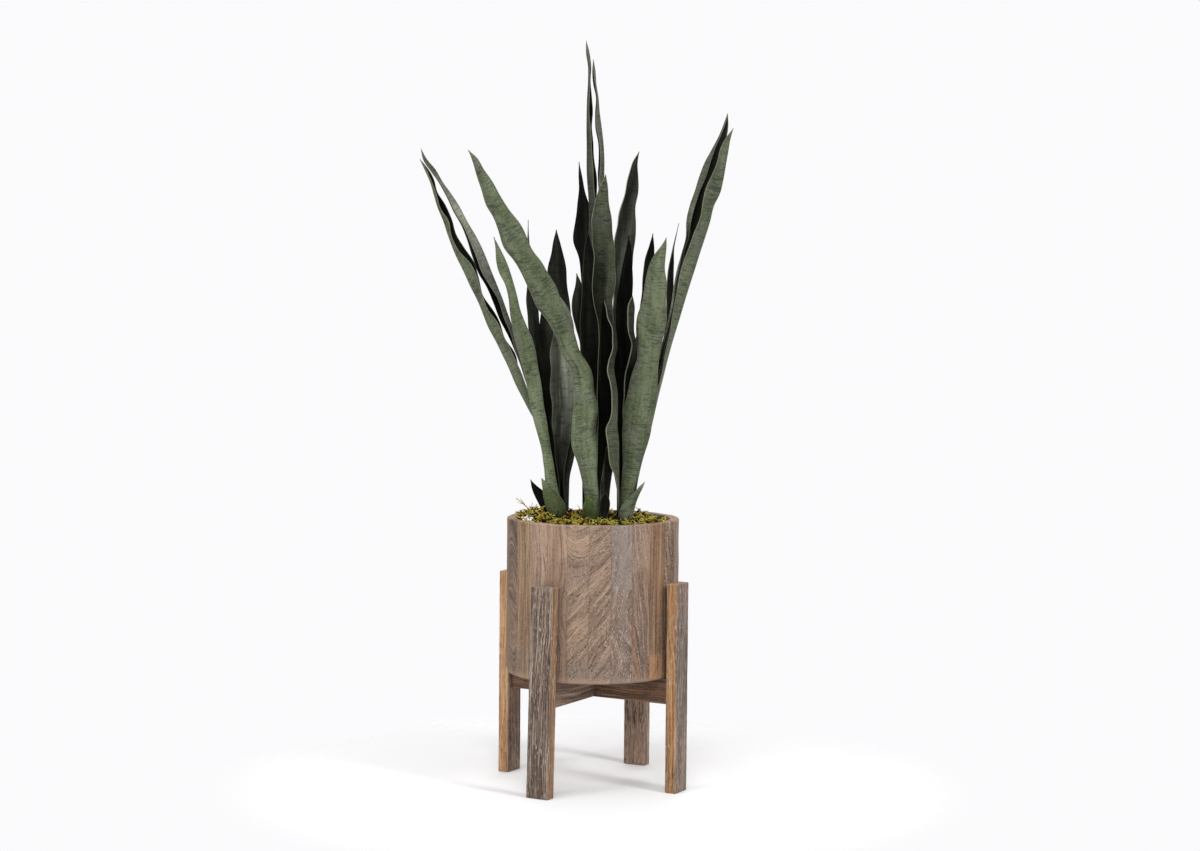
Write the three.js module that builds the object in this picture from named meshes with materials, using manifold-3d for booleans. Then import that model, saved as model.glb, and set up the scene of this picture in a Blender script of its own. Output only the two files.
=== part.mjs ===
// Potted snake plant: three clumps of upright leaves in a cylindrical pot built of wooden
// staves, carried by a low four-legged wooden stand. Millimetres, +Z up, front towards -Y,
// feet on z = 0. The origin is the centre of the whole object's footprint box at floor level.
import * as THREE from 'three';
import { mergeVertices } from 'three/addons/utils/BufferGeometryUtils.js';
import Module from 'manifold-3d';

const wasm = await Module();
wasm.setup();

// ---- driving dimensions -------------------------------------------------------------------
const GAP = 0.3;                 // clearance between pieces that touch
// pot
const POT_RADIUS = 130;          // outside
const POT_WALL = 14;
const POT_BOTTOM_Z = 168.8;
const POT_RIM_Z = 402.3;
const RIM_EASE = 1.6;            // eased outer edge of the rim
const FOOT_ROUND = 4.6;          // rounded lower edge of the wall
const BASE_THICKNESS = 15;
const FRONT_STAVE_DEG = 14.4;    // width of the ten staves on the front
const FRONT_STAVES = 10;
const FRONT_START_DEG = -74.2;   // left edge of the first front stave, measured from the front
const STAVES = 24;
// filling
const SOIL_TOP_Z = 387.7;
const LEAF_FOOT_Z = 388;
const MOSS_EDGE_Z = 397.5;       // height of the moss at the wall
const MOSS_CROWN_Z = 403.5;      // height of the moss in the middle
// stand
const STAND_TURN = 0.5162;       // radians the stand is turned from the front
const LEG_WIDTH = 37.5;
const LEG_THICKNESS = 18;
const LEG_HEIGHT = 312.6;
const LEG_INNER_RADIUS = 136.8;  // pot axis to the inner face of a leg
const LEG_EASE = 1.5;
const FRONT_LEFT_LEAN = 6.2;     // sideways lean of the front left leg over its height
const BAR_HEIGHT = 37.5;
const BAR_THICKNESS = 18;
// leaves
const LEAF_CORE = 2.4;           // thickness along the midrib
const LEAF_EDGE = 1.0;           // thickness at the margins
const ACROSS = 4;                // facets across a leaf

const COLOR = {
  outer: 0x6b7a5c, wood: [0x8d7360, 0x9a7d66, 0x84705f, 0xa5815c, 0x7a6a5e, 0x927866],
  stand: 0x8a7a6a, base: 0x7d6a58, soil: 0x2f241b, moss: 0x9a8a2a, sprout: 0x4f6b3e,
};

// Every leaf is a channel-shaped blade. Each row is one cross-section from the foot to the tip:
// first edge x y z, keel (bottom of the channel) x y z, second edge x y z, from the pot's axis.
const LEAVES = {
  leaf_left_tall_outer: { clump: 'left', rows: [
    [-63.4, 20.5, 388, -68.9, 28, 388, -63.7, 35.5, 388],
    [-63.4, 20.5, 407.8, -68.9, 28, 407, -63.7, 35.5, 406.3],
    [-67.6, 19.3, 464.4, -73.1, 28.9, 463, -68, 38.5, 462.9],
    [-74.9, 18.9, 519.9, -80.2, 30.5, 518, -75.4, 42.1, 518.5],
    [-92.7, 19.2, 571.8, -101.6, 32.7, 567.9, -93.4, 46.1, 570.6],
    [-112, 21, 622.4, -125.4, 35.5, 616.1, -114.3, 49.9, 621.1],
    [-135.4, 25, 670.2, -148.1, 38.9, 663.9, -136.3, 52.8, 669.7],
    [-147.3, 27.2, 693.7, -160.6, 40.7, 686.9, -145.5, 54.3, 694.5],
    [-172.5, 32.4, 738.6, -180.6, 44.9, 734.2, -172.4, 57.4, 738.6],
    [-190.9, 38.3, 785, -203.2, 49.5, 779.2, -186.3, 60.6, 787.8],
    [-219, 45.1, 824.9, -222.7, 54.5, 824, -213.9, 63.8, 828.6],
    [-236.9, 52.7, 867.9, -239.5, 59.7, 867.9, -230.2, 66.7, 873],
    [-251.2, 61.1, 910.4, -253.8, 65.1, 909.8, -248.3, 69.1, 913.2],
    [-270.2, 70, 943.8, -270.2, 70, 943.8, -270.2, 70, 943.8],
  ] },
  leaf_left_tall_inner: { clump: 'left', rows: [
    [-61.1, 21, 388, -55.9, 28, 388, -61.7, 35, 388],
    [-61.1, 21, 407.7, -55.9, 28, 407.1, -61.7, 35, 406.4],
    [-65.5, 19.9, 465.6, -60.4, 28.8, 465.2, -66.3, 37.8, 464.2],
    [-73.1, 19.4, 522.3, -68.9, 30.2, 522, -74.2, 41, 521.1],
    [-91.1, 19.5, 575.5, -82.9, 32, 576.8, -92.6, 44.6, 574.5],
    [-110.1, 20.8, 627.4, -105, 34.3, 628, -111.6, 47.8, 626.9],
    [-128.4, 24.1, 678.7, -124.1, 37.1, 679.4, -133.4, 50.1, 677.4],
    [-137.3, 26, 704, -132.8, 38.6, 705, -145.4, 51.2, 701.6],
    [-159.6, 30.3, 751.8, -151.4, 41.9, 755, -165.8, 53.6, 750.1],
    [-182.2, 35.2, 797.9, -171.4, 45.6, 803.1, -188.5, 56, 796.6],
    [-202.9, 40.9, 843.6, -195.9, 49.6, 847.3, -205.4, 58.3, 844],
    [-225.8, 47.3, 886.2, -221.3, 53.8, 888.7, -228.3, 60.3, 886.6],
    [-250.9, 54.3, 924.3, -245.7, 58.1, 927.2, -252.7, 61.9, 924.8],
    [-268, 62, 959, -268, 62, 959, -268, 62, 959],
  ] },
  leaf_front_diagonal: { clump: 'centre', rows: [
    [-10.6, -38, 388, -0.9, -42.3, 388, 8.8, -38, 388],
    [-10.6, -38, 406.3, -0.9, -42.3, 406.2, 8.8, -38, 406.5],
    [-16.7, -42.6, 463.6, -4.9, -45.7, 464, 6, -40.2, 465],
    [-33, -49.7, 518, -13.1, -53.9, 519.6, 5, -45.2, 522.9],
    [-30.6, -59.2, 573.9, -12.5, -61.8, 575.9, 3, -52.9, 579.8],
    [-34.3, -70.8, 628.1, -20.3, -71.7, 630.6, -9.3, -63.4, 634],
    [-57.8, -84.5, 676.8, -42.6, -85.3, 679.6, -30.7, -76.5, 684],
    [-68.6, -92, 700, -52.6, -93.1, 703.7, -40, -84, 709.1],
    [-95.3, -108.2, 743.1, -76.3, -110.4, 748.6, -61.1, -100.7, 756.9],
    [-117.9, -126.1, 786.7, -101.8, -127.9, 791.4, -89.1, -119.5, 798.6],
    [-139.7, -145.3, 827.8, -123.5, -147.8, 832.9, -110.7, -140.1, 841.3],
    [-157.6, -165.5, 868.5, -145.6, -167.7, 872.1, -136.2, -162.1, 878.7],
    [-169.7, -186.1, 907.8, -163.3, -187.6, 909.9, -158.7, -184.5, 914],
    [-180.6, -205, 940.6, -180.6, -205, 940.6, -180.6, -205, 940.6],
  ] },
  leaf_left_front: { clump: 'left', rows: [
    [-59.4, 13, 388, -53.4, 10.3, 388, -47.3, 13, 388],
    [-59.4, 13, 405.5, -53.4, 10.3, 405.4, -47.3, 13, 405.6],
    [-70, 11.6, 455.2, -63.6, 7.6, 455.4, -56.4, 9.5, 456.2],
    [-79.3, 8.1, 504.5, -72.9, 3, 504.9, -65, 4.1, 506.3],
    [-91.7, 2.4, 552.2, -83.3, -4.1, 553.1, -72.9, -2.9, 555.5],
    [-100.9, -5.4, 599.6, -91.6, -12.5, 600.6, -80.3, -11.4, 603.6],
    [-106.4, -10.1, 622.5, -96.1, -17.5, 623.7, -83.9, -16.1, 627.2],
    [-119, -20.9, 667, -107.3, -28.4, 668.4, -94, -26.5, 672.7],
    [-126.3, -33.4, 710.9, -119.3, -38.8, 711.2, -110.8, -37.9, 713.7],
    [-133.8, -47.1, 752.4, -128, -51.3, 752.7, -121.4, -50.2, 755.2],
    [-146.4, -61.6, 789.3, -140.5, -64.9, 790, -134.5, -63.1, 792.7],
    [-149.7, -75, 822.4, -149.7, -75, 822.4, -149.7, -75, 822.4],
  ] },
  leaf_left_back_spike: { clump: 'left', rows: [
    [-57.8, 52, 388, -53.6, 53.8, 388, -49.4, 52, 388],
    [-57.8, 52, 404.8, -53.6, 53.8, 404.4, -49.4, 52, 404.9],
    [-60.4, 58.1, 437.9, -56.7, 60.9, 437.4, -51.9, 60.9, 437.7],
    [-70, 70.7, 503, -66.3, 76.1, 502.3, -60.1, 78.3, 502.7],
    [-81.5, 84.1, 566.7, -76.6, 91.5, 566.1, -68.5, 95, 566.8],
    [-87.2, 91.2, 598.1, -81.6, 99.2, 597.6, -72.6, 103, 598.5],
    [-92.9, 98.6, 629.2, -86.7, 106.8, 628.7, -77.1, 110.6, 629.9],
    [-103.5, 114, 690.3, -96.5, 121.9, 690, -86.5, 124.9, 691.4],
    [-106.5, 130.1, 750, -101, 136.1, 749.9, -93.2, 138, 751],
    [-106.4, 138.1, 778.9, -103.1, 142.5, 778.8, -97.9, 144.1, 779.5],
    [-106.5, 146, 806.7, -105.2, 148.7, 806.6, -102.4, 149.9, 806.9],
    [-106.1, 160, 855.3, -106.1, 160, 855.3, -106.1, 160, 855.3],
  ] },
  leaf_left_back_broad: { clump: 'left', rows: [
    [-46.9, 38, 388, -42.2, 40.1, 388, -37.6, 38, 388],
    [-46.9, 38, 406.2, -42.2, 40.1, 406.2, -37.6, 38, 406.3],
    [-53.1, 40.8, 462.9, -44.6, 43.8, 462.9, -36.2, 40.8, 463.3],
    [-57.9, 43.5, 490.6, -43.7, 48, 490.1, -29.5, 43.5, 490.6],
    [-67.8, 51.4, 545.1, -45.8, 57.7, 544.2, -23.7, 51.4, 545.4],
    [-76.3, 62.5, 598.7, -51.7, 69.2, 597.6, -27.1, 62.5, 599.6],
    [-84, 76.4, 651.5, -58.6, 83, 650, -33.2, 76.4, 652.3],
    [-85.2, 84.3, 677.6, -60.5, 90.7, 675.9, -35.9, 84.3, 678.3],
    [-80.5, 101.9, 728.4, -60.4, 107.2, 726.8, -40.2, 101.9, 729.1],
    [-73.8, 121.2, 777.1, -59.8, 125.2, 775.8, -45.9, 121.2, 777.8],
    [-69.4, 131.2, 800.1, -59.8, 134.2, 799.1, -50.3, 131.2, 800.8],
    [-61.7, 150, 840.2, -61.7, 150, 840.2, -61.7, 150, 840.2],
  ] },
  leaf_left_middle: { clump: 'left', rows: [
    [-50.5, 24, 388, -45.5, 26.8, 388, -40.6, 24, 388],
    [-50.5, 24, 404.5, -45.5, 26.8, 404.2, -40.6, 24, 404.6],
    [-51.1, 25.2, 429.2, -48.1, 28.8, 429, -43.4, 27.9, 429.3],
    [-56.1, 27.9, 477.6, -51.7, 35.1, 477.6, -43.4, 35.6, 478.4],
    [-61.7, 31.5, 525, -50.1, 43.4, 524.8, -33.5, 42.4, 525.7],
    [-63.4, 33.7, 548.4, -48.8, 47.1, 548, -29.1, 45.5, 549.2],
    [-64.7, 36.2, 571.5, -48, 50.5, 571.1, -26.2, 48.2, 572.6],
    [-67, 42, 616.6, -49, 56.1, 616.5, -26.5, 52.9, 618.6],
    [-66, 48.7, 660, -49.8, 60.5, 660.4, -30.2, 56.6, 662.7],
    [-64.1, 52.2, 680.7, -49.5, 62.3, 681.4, -32.4, 58.2, 683.9],
    [-61.9, 55.7, 700.6, -49.4, 63.9, 701.5, -35.4, 59.6, 704.1],
    [-53.2, 62, 734.4, -53.2, 62, 734.4, -53.2, 62, 734.4],
  ] },
  leaf_centre_tall_left: { clump: 'centre', rows: [
    [4.3, -18.5, 388, -0.2, -12, 388, 4.8, -5.5, 388],
    [4.3, -18.5, 409.1, -0.2, -12, 408.4, 4.8, -5.5, 407.8],
    [3, -15.4, 467.9, -2.6, -7.3, 467.2, 3.8, 0.7, 466.7],
    [2.3, -11.2, 555.1, -7, -1, 554.4, 3, 9.3, 554.2],
    [1.7, -8.7, 612.5, -9.1, 2.9, 611.8, 2.5, 14.6, 611.8],
    [1.2, -6.1, 669.1, -10.1, 6.5, 668.6, 2, 19.1, 668.9],
    [1, -2.4, 724.9, -10.2, 9.8, 724.6, 1.7, 22, 725.2],
    [1, 1.1, 780, -9, 12.8, 779.9, 1.7, 24.5, 780.7],
    [-0.6, 6.2, 860.7, -9.3, 16.7, 860.8, 1, 27.3, 862],
    [-3.6, 9.6, 913.1, -12.3, 19, 913.3, 0.3, 28.5, 914.7],
    [-7.3, 13, 964, -13.9, 21.1, 964.4, -5.1, 29.1, 965.7],
    [-11.6, 18.2, 1037.1, -13.3, 23.6, 1037.5, -7.7, 29, 1038.5],
    [-10.4, 21.9, 1082.5, -13.4, 25, 1082.7, -9.2, 28, 1083.4],
    [-16.6, 26, 1120.8, -16.6, 26, 1120.8, -16.6, 26, 1120.8],
  ] },
  leaf_centre_tall_right: { clump: 'centre', rows: [
    [10.4, -18, 388, 14.9, -12, 388, 9.9, -6, 388],
    [10.4, -18, 409.1, 14.9, -12, 408.5, 9.9, -6, 407.9],
    [9.4, -14.6, 465.6, 14.8, -7.2, 465.1, 8.6, 0.2, 464.4],
    [8.3, -10.2, 549.4, 15.1, -0.7, 549, 7.6, 8.8, 548.4],
    [7.8, -7.6, 604.5, 16, 3.2, 604.2, 7.1, 13.9, 603.7],
    [7.3, -4.9, 658.9, 16.3, 6.7, 658.8, 6.6, 18.3, 658.4],
    [6.8, -1.4, 712.6, 16.6, 9.9, 712.7, 6.1, 21.2, 712.5],
    [6.5, 1.9, 765.5, 16.2, 12.7, 765.8, 5.6, 23.5, 765.8],
    [6.1, 6.7, 843.1, 14.9, 16.4, 843.7, 4.9, 26.1, 843.9],
    [5.2, 9.7, 893.5, 12.5, 18.4, 894.2, 4.2, 27.1, 894.5],
    [6.3, 12.8, 942.5, 11.1, 20.2, 943.3, 3.8, 27.6, 943.6],
    [-0.4, 17.3, 1012.3, 3.5, 22.3, 1012.9, -2.1, 27.2, 1013.3],
    [-3, 20.5, 1055.6, -1.7, 23.3, 1056, -5.6, 26.1, 1056.1],
    [-5.8, 24, 1092.7, -5.8, 24, 1092.7, -5.8, 24, 1092.7],
  ] },
  leaf_centre_front: { clump: 'centre', rows: [
    [3.8, -33, 388, 6.6, -34.8, 388, 9.5, -33, 388],
    [4.3, -33, 410.8, 7.1, -34.8, 410.8, 10, -33, 410.9],
    [4.7, -34.4, 465.5, 8.4, -36.4, 465.3, 12.1, -34.4, 465.2],
    [5.9, -36.7, 519.4, 12.4, -39.3, 519, 18.8, -36.7, 518.7],
    [5.4, -37.6, 572.4, 13.7, -41, 571.8, 22.1, -37.6, 571.2],
    [4.9, -37.4, 624.4, 15.5, -41.6, 623.6, 26.1, -37.4, 622.7],
    [4.2, -36.5, 700.3, 15.3, -40.9, 699.3, 26.4, -36.5, 698.2],
    [-4.6, -35.6, 748.6, 11.9, -41.6, 747.9, 28.3, -35.6, 746.9],
    [-1.6, -34.4, 796, 13.7, -40.1, 795.2, 29.1, -34.4, 794.1],
    [-5.6, -33, 841.3, 9.4, -38.6, 840.5, 24.3, -33, 839.3],
    [0.1, -31.5, 884, 9.7, -35.4, 882.9, 19.2, -31.5, 881.5],
    [14.4, -30, 917.5, 14.4, -30, 917.5, 14.4, -30, 917.5],
  ] },
  leaf_centre_back_left: { clump: 'centre', rows: [
    [-8.5, 8, 388, -2.5, 10.7, 388, 3.6, 8, 388],
    [-8.5, 8, 406.4, -2.5, 10.7, 406.3, 3.6, 8, 406.5],
    [-9.8, 13.2, 469, -3.1, 15.9, 468.8, 3.6, 13.2, 469.1],
    [-11.9, 20.6, 530.6, -4, 23.6, 530.3, 3.9, 20.6, 530.8],
    [-14, 29.9, 591.3, -5.3, 33.2, 590.8, 3.5, 29.9, 591.5],
    [-16.1, 41.2, 651, -6.8, 44.7, 650.4, 2.5, 41.2, 651.3],
    [-17.1, 47.5, 680.5, -7.7, 51, 679.9, 1.7, 47.5, 680.8],
    [-19.4, 61.3, 738.5, -9.9, 64.8, 737.8, -0.4, 61.3, 738.9],
    [-25.9, 76.5, 794.8, -14.1, 80.6, 794.1, -2.4, 76.5, 795.6],
    [-32.5, 92.8, 848.6, -19.6, 97.1, 848.2, -6.8, 92.8, 850.4],
    [-26.3, 109.5, 900.3, -22, 111.3, 900.1, -17.8, 109.5, 901.1],
    [-26.9, 125, 944.9, -26.9, 125, 944.9, -26.9, 125, 944.9],
  ] },
  leaf_centre_inner: { clump: 'centre', rows: [
    [-3.9, -25, 388, 2.1, -22.4, 388, 8.1, -25, 388],
    [-3.9, -25, 409.6, 2.1, -22.4, 409.6, 8.1, -25, 409.7],
    [-5, -24, 465.6, 1.7, -22.1, 465.6, 8.4, -24, 465.8],
    [-6, -23.4, 493.2, 1.4, -21.4, 493.3, 8.8, -23.4, 493.4],
    [-9.7, -22.4, 547.6, 0, -19.9, 547.7, 9.7, -22.4, 547.9],
    [-14.3, -21.4, 600.8, -1.8, -18.3, 601, 10.7, -21.4, 601.3],
    [-20.4, -20.4, 652.5, -4.1, -16.6, 652.8, 12.2, -20.4, 653.4],
    [-22.3, -20, 677.7, -5, -16, 678.2, 12.3, -20, 678.8],
    [-20.7, -19, 727.2, -5.7, -15.5, 727.6, 9.3, -19, 728.2],
    [-19, -18.1, 774.2, -8.1, -15.4, 774.4, 2.9, -18.1, 774.8],
    [-17.4, -17.7, 796.3, -9.2, -15.5, 796.4, -1.1, -17.7, 796.6],
    [-10.5, -17, 834.2, -10.5, -17, 834.2, -10.5, -17, 834.2],
  ] },
  leaf_centre_short_left: { clump: 'centre', rows: [
    [-16, -18, 388, -13, -16.7, 388, -10, -18, 388],
    [-16, -18, 408.8, -13, -16.7, 408.8, -10, -18, 408.9],
    [-16.2, -15.7, 435.9, -13.3, -14.5, 435.8, -10.5, -15.7, 435.9],
    [-16.7, -10.8, 489.2, -13.8, -9.6, 489.1, -10.9, -10.8, 489.2],
    [-17.6, -5.5, 541.5, -14.4, -4.2, 541.4, -11.3, -5.5, 541.5],
    [-18.3, -2.7, 567.2, -15, -1.3, 567.1, -11.6, -2.7, 567.2],
    [-19.2, 0.2, 592.6, -15.6, 1.6, 592.4, -12.1, 0.2, 592.6],
    [-21.1, 6.2, 642.2, -17.1, 7.7, 642, -13.1, 6.2, 642.2],
    [-28.7, 12.3, 689, -21.7, 14.7, 689.2, -14.7, 12.3, 690],
    [-34.4, 15.4, 711.1, -25.2, 18.4, 711.6, -16.1, 15.4, 712.8],
    [-34.1, 18.5, 733.1, -26, 21.2, 733.5, -18, 18.5, 734.8],
    [-28.2, 24, 771, -28.2, 24, 771, -28.2, 24, 771],
  ] },
  leaf_centre_back_right: { clump: 'centre', rows: [
    [12.7, 4, 388, 18, 7.3, 388, 23.3, 4, 388],
    [12.7, 4, 407, 18, 7.3, 406.6, 23.3, 4, 407.1],
    [12.4, 12.1, 465.5, 19.9, 16.4, 464.6, 27.4, 12.1, 465.1],
    [21.3, 21.2, 522.4, 29.3, 25.7, 521.3, 37.4, 21.2, 521.7],
    [23.5, 31.2, 579.8, 34.4, 37.1, 577.8, 45.6, 31.2, 578],
    [24.7, 42.1, 636.3, 37.7, 48.9, 633.7, 51.1, 42.1, 633.8],
    [26.8, 60, 719.5, 41.1, 67.3, 716.3, 55.9, 60, 716.4],
    [27.6, 72.7, 773.7, 41.4, 79.8, 770.3, 55.7, 72.7, 770.2],
    [29.6, 86, 826.6, 45.3, 93.7, 822.5, 61.5, 86, 822.5],
    [39.5, 99.5, 876.8, 50, 105.2, 873.5, 61.1, 99.5, 873.2],
    [50.4, 113, 923.9, 57.5, 117.2, 921.1, 65.2, 113, 920.7],
    [66.5, 125, 961.7, 66.5, 125, 961.7, 66.5, 125, 961.7],
  ] },
  leaf_right_inner: { clump: 'right', rows: [
    [36.3, 14, 388, 40.4, 15.8, 388, 44.6, 14, 388],
    [36.3, 14, 409.3, 40.4, 15.8, 409.5, 44.6, 14, 409.4],
    [35.6, 8.8, 464.9, 40.7, 10.8, 465.1, 45.7, 8.8, 464.9],
    [34.9, 7.1, 492.3, 40.6, 9.3, 492.3, 46.3, 7.1, 492.2],
    [33.4, 5.2, 546, 40.8, 7.9, 545.9, 48.2, 5.2, 545.8],
    [32.2, 5.3, 598.5, 41.7, 8.6, 598.1, 51.2, 5.3, 598],
    [30.9, 7.4, 649.5, 42.4, 11.3, 648.9, 54, 7.4, 648.9],
    [31, 9.2, 674.5, 43, 13.1, 673.8, 55.1, 9.2, 673.7],
    [33.1, 13.8, 723, 44.5, 17.6, 722.2, 56.1, 13.8, 722.2],
    [38.7, 19.8, 769, 47.5, 22.9, 768.2, 56.3, 19.8, 768.4],
    [43, 23.2, 790.5, 49.2, 25.6, 790, 55.5, 23.2, 790.3],
    [50.3, 30, 828, 50.3, 30, 828, 50.3, 30, 828],
  ] },
  leaf_right_wavy_long: { clump: 'right', rows: [
    [38.4, -7.5, 388, 40.4, -2, 388, 38.2, 3.5, 388],
    [38.4, -7.5, 405.3, 40.4, -2, 404.8, 38.2, 3.5, 404.2],
    [36.1, -28.8, 446.2, 38.2, -21.5, 445.1, 35.8, -14.1, 444.4],
    [25.3, -47.1, 484.1, 37.2, -38, 484.3, 27.4, -28.9, 482.4],
    [20.1, -62.3, 522, 36, -51.6, 522.2, 17.4, -41, 519],
    [23.5, -72.8, 558.4, 33.3, -62.5, 558.9, 11.2, -52.3, 555.3],
    [26.3, -76.9, 576.3, 33.5, -67, 576.9, 10.2, -57, 573.2],
    [22.9, -83, 611.2, 30.8, -73.9, 611.8, 9.6, -64.9, 608.3],
    [20.8, -86.2, 644.2, 28.6, -78.5, 645.3, 9.3, -70.8, 642.1],
    [26.6, -86.7, 675.6, 30.1, -80.8, 677.4, 9.2, -74.9, 674.4],
    [18.5, -84.6, 704.7, 20.9, -81.1, 705.8, 9.7, -77.7, 704.6],
    [13, -80, 730, 13, -80, 730, 13, -80, 730],
  ] },
  leaf_right_wavy_short: { clump: 'right', rows: [
    [45.6, 3.2, 388, 49.6, 7, 388, 45.1, 10.8, 388],
    [45.6, 3.2, 404.3, 49.6, 7, 404, 45.1, 10.8, 403.6],
    [44.8, -1.6, 430, 49.4, 2.9, 429.4, 44, 7.5, 429],
    [44.1, -10.4, 480.3, 49.6, -4.3, 479.3, 42.1, 1.7, 479],
    [43.8, -17.6, 529.2, 51.6, -10.3, 527.8, 40.4, -3.1, 527.7],
    [43.7, -20, 553.1, 52.7, -12.9, 551.6, 39.6, -5.8, 551.6],
    [43.9, -22, 576.6, 54.2, -15.2, 574.9, 39, -8.4, 575.1],
    [46.8, -24.9, 622.1, 59.4, -18.9, 620.1, 40.2, -12.9, 620.8],
    [56, -26.2, 664.8, 61.2, -21.5, 663.5, 46.3, -16.8, 664.1],
    [49.6, -26.3, 684.9, 57.7, -22.5, 684, 45.4, -18.6, 685],
    [48.9, -26, 705, 57.9, -23.2, 703.9, 46, -20.3, 705.1],
    [55.9, -24, 738.2, 55.9, -24, 738.2, 55.9, -24, 738.2],
  ] },
  leaf_right_front_broad: { clump: 'right', rows: [
    [42.1, -9, 388, 50.5, -12.6, 388, 58.8, -9, 388],
    [42.1, -9, 402.4, 50.5, -12.6, 402.1, 58.8, -9, 402.6],
    [41.7, -14.4, 449.3, 53.4, -19.1, 448.1, 65.2, -14.4, 448.1],
    [45.2, -21.5, 495.3, 59.2, -27, 493, 73.5, -21.5, 492.7],
    [43, -30.2, 540.7, 64, -37.7, 536.5, 85.3, -30.2, 535.6],
    [47.9, -40.3, 584.7, 70.1, -48.1, 579.8, 92.7, -40.3, 578.7],
    [63.5, -58.1, 647.3, 78.9, -63.9, 643, 95, -58.1, 642.2],
    [60.9, -71.5, 688.8, 81.2, -78.6, 683, 102.4, -71.5, 682.2],
    [68.7, -85.8, 727.2, 86, -92, 721.8, 104, -85.8, 721.1],
    [74.5, -100.8, 764.5, 88.8, -106.2, 759.2, 104.1, -100.8, 758.3],
    [85.7, -116.1, 797.5, 93.3, -119.4, 793.6, 101.7, -116.1, 792.7],
    [102.3, -130, 821.9, 102.3, -130, 821.9, 102.3, -130, 821.9],
  ] },
  leaf_right_back: { clump: 'right', rows: [
    [47.8, 22, 388, 52, 23.8, 388, 56.2, 22, 388],
    [47.8, 22, 408.6, 52, 23.8, 408.5, 56.2, 22, 408.7],
    [49.8, 26.3, 464.3, 55.7, 28.7, 464, 61.7, 26.3, 464.1],
    [51.5, 29.1, 491.8, 58.4, 31.8, 491.3, 65.3, 29.1, 491.4],
    [56.4, 35.8, 545.9, 64.7, 38.9, 545.1, 73.1, 35.8, 545.1],
    [59.5, 44.1, 598.9, 69.9, 47.5, 597.8, 80.3, 44.1, 597.8],
    [60.4, 53.7, 650.9, 73.8, 57.4, 649.4, 87.1, 53.7, 649.5],
    [64.5, 59, 676.3, 77.1, 62.7, 674.8, 90, 59, 674.9],
    [70.4, 70.3, 726.2, 81.6, 74.2, 724.5, 92.9, 70.3, 724.7],
    [73.7, 82.4, 773.8, 83.1, 85.8, 772.2, 92.7, 82.4, 772.4],
    [77.3, 88.6, 796.2, 84.2, 91.2, 794.8, 91.1, 88.6, 794.9],
    [88.5, 100, 834.2, 88.5, 100, 834.2, 88.5, 100, 834.2],
  ] },
  leaf_right_back_spike: { clump: 'right', rows: [
    [52, 29, 388, 55.8, 30.7, 388, 59.7, 29, 388],
    [52, 29, 408.5, 55.8, 30.7, 408.4, 59.7, 29, 408.6],
    [58.5, 32.2, 466.2, 62.2, 37.1, 465.8, 67.8, 39.4, 465.3],
    [64.7, 34.8, 494.5, 68, 41.2, 494.1, 74.1, 45.2, 493.4],
    [80.2, 37.5, 550.3, 83, 46.3, 549.8, 89.6, 52.8, 549],
    [94.1, 43.3, 605.1, 96.6, 53.4, 604.6, 103.5, 61.1, 603.8],
    [103.9, 53.4, 658.9, 106.5, 63.3, 658.4, 113.3, 70.9, 657.9],
    [106.9, 60.3, 685.5, 109.7, 69.8, 684.9, 116.6, 76.9, 684.5],
    [109.9, 76.3, 737.7, 113.4, 84, 736.9, 120.2, 89.2, 736.8],
    [114.2, 94, 787.6, 116.8, 98.9, 787, 121.6, 101.8, 786.9],
    [120, 103.1, 810.8, 120.1, 105.9, 810.8, 121.9, 108.2, 810.7],
    [129.5, 120, 851.6, 129.5, 120, 851.6, 129.5, 120, 851.6],
  ] },
  leaf_right_tall_inner: { clump: 'right', rows: [
    [55.1, 1, 388, 52.7, 8, 388, 56.1, 15, 388],
    [55.1, 1, 407.7, 52.7, 8, 407, 56.1, 15, 406.3],
    [61.1, 0.5, 463.5, 56.6, 9.2, 463.1, 62.2, 18, 462.1],
    [72.7, 0.6, 517.8, 66.4, 11.2, 517.8, 73.9, 21.7, 516.5],
    [84.7, 1.6, 571, 78.4, 13.7, 571.5, 86, 25.9, 569.9],
    [98, 3.3, 623.1, 91.9, 16.9, 623.9, 99.5, 30.5, 622.3],
    [110.8, 7.5, 674.4, 105.5, 20.7, 675.5, 112.7, 33.9, 674],
    [125.8, 15.2, 750.7, 120.6, 27.4, 752.5, 132.9, 39.6, 749.8],
    [134.9, 21.3, 800.6, 132.3, 32.5, 802.3, 145.3, 43.8, 799.3],
    [144.1, 28.2, 849.3, 140, 38.1, 851.3, 160.7, 48, 846.8],
    [157.3, 35.8, 895.8, 153, 44, 897.8, 174.2, 52.2, 893.3],
    [172.9, 44, 939.7, 167.7, 50.1, 942.2, 188, 56.3, 937.8],
    [188.5, 52.9, 980.9, 187.6, 56.4, 981.6, 198.6, 59.9, 980.3],
    [199.8, 62, 1016.6, 199.8, 62, 1016.6, 199.8, 62, 1016.6],
  ] },
  leaf_right_tall_outer: { clump: 'right', rows: [
    [57.4, 1.5, 388, 59.9, 8, 388, 58.6, 14.5, 388],
    [57.4, 1.5, 407.7, 59.9, 8, 407.1, 58.6, 14.5, 406.4],
    [64.8, -2.7, 462, 67, 5.4, 461.2, 66, 13.6, 460.7],
    [76.5, -5.9, 515, 80.1, 3.9, 513.9, 77.8, 13.6, 513.7],
    [88.3, -8.1, 566.7, 92, 3.2, 565.5, 89.8, 14.5, 565.5],
    [100, -9.2, 617.4, 104, 3.5, 616, 101.9, 16.1, 616.4],
    [109.5, -7.7, 667.7, 115.5, 4.6, 665.7, 113.2, 16.8, 666.6],
    [122.2, -3.6, 741.7, 136.6, 7.8, 737.6, 126, 19.1, 741.1],
    [132.7, 0.5, 789.4, 151.3, 10.9, 784.1, 136.3, 21.3, 789],
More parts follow.
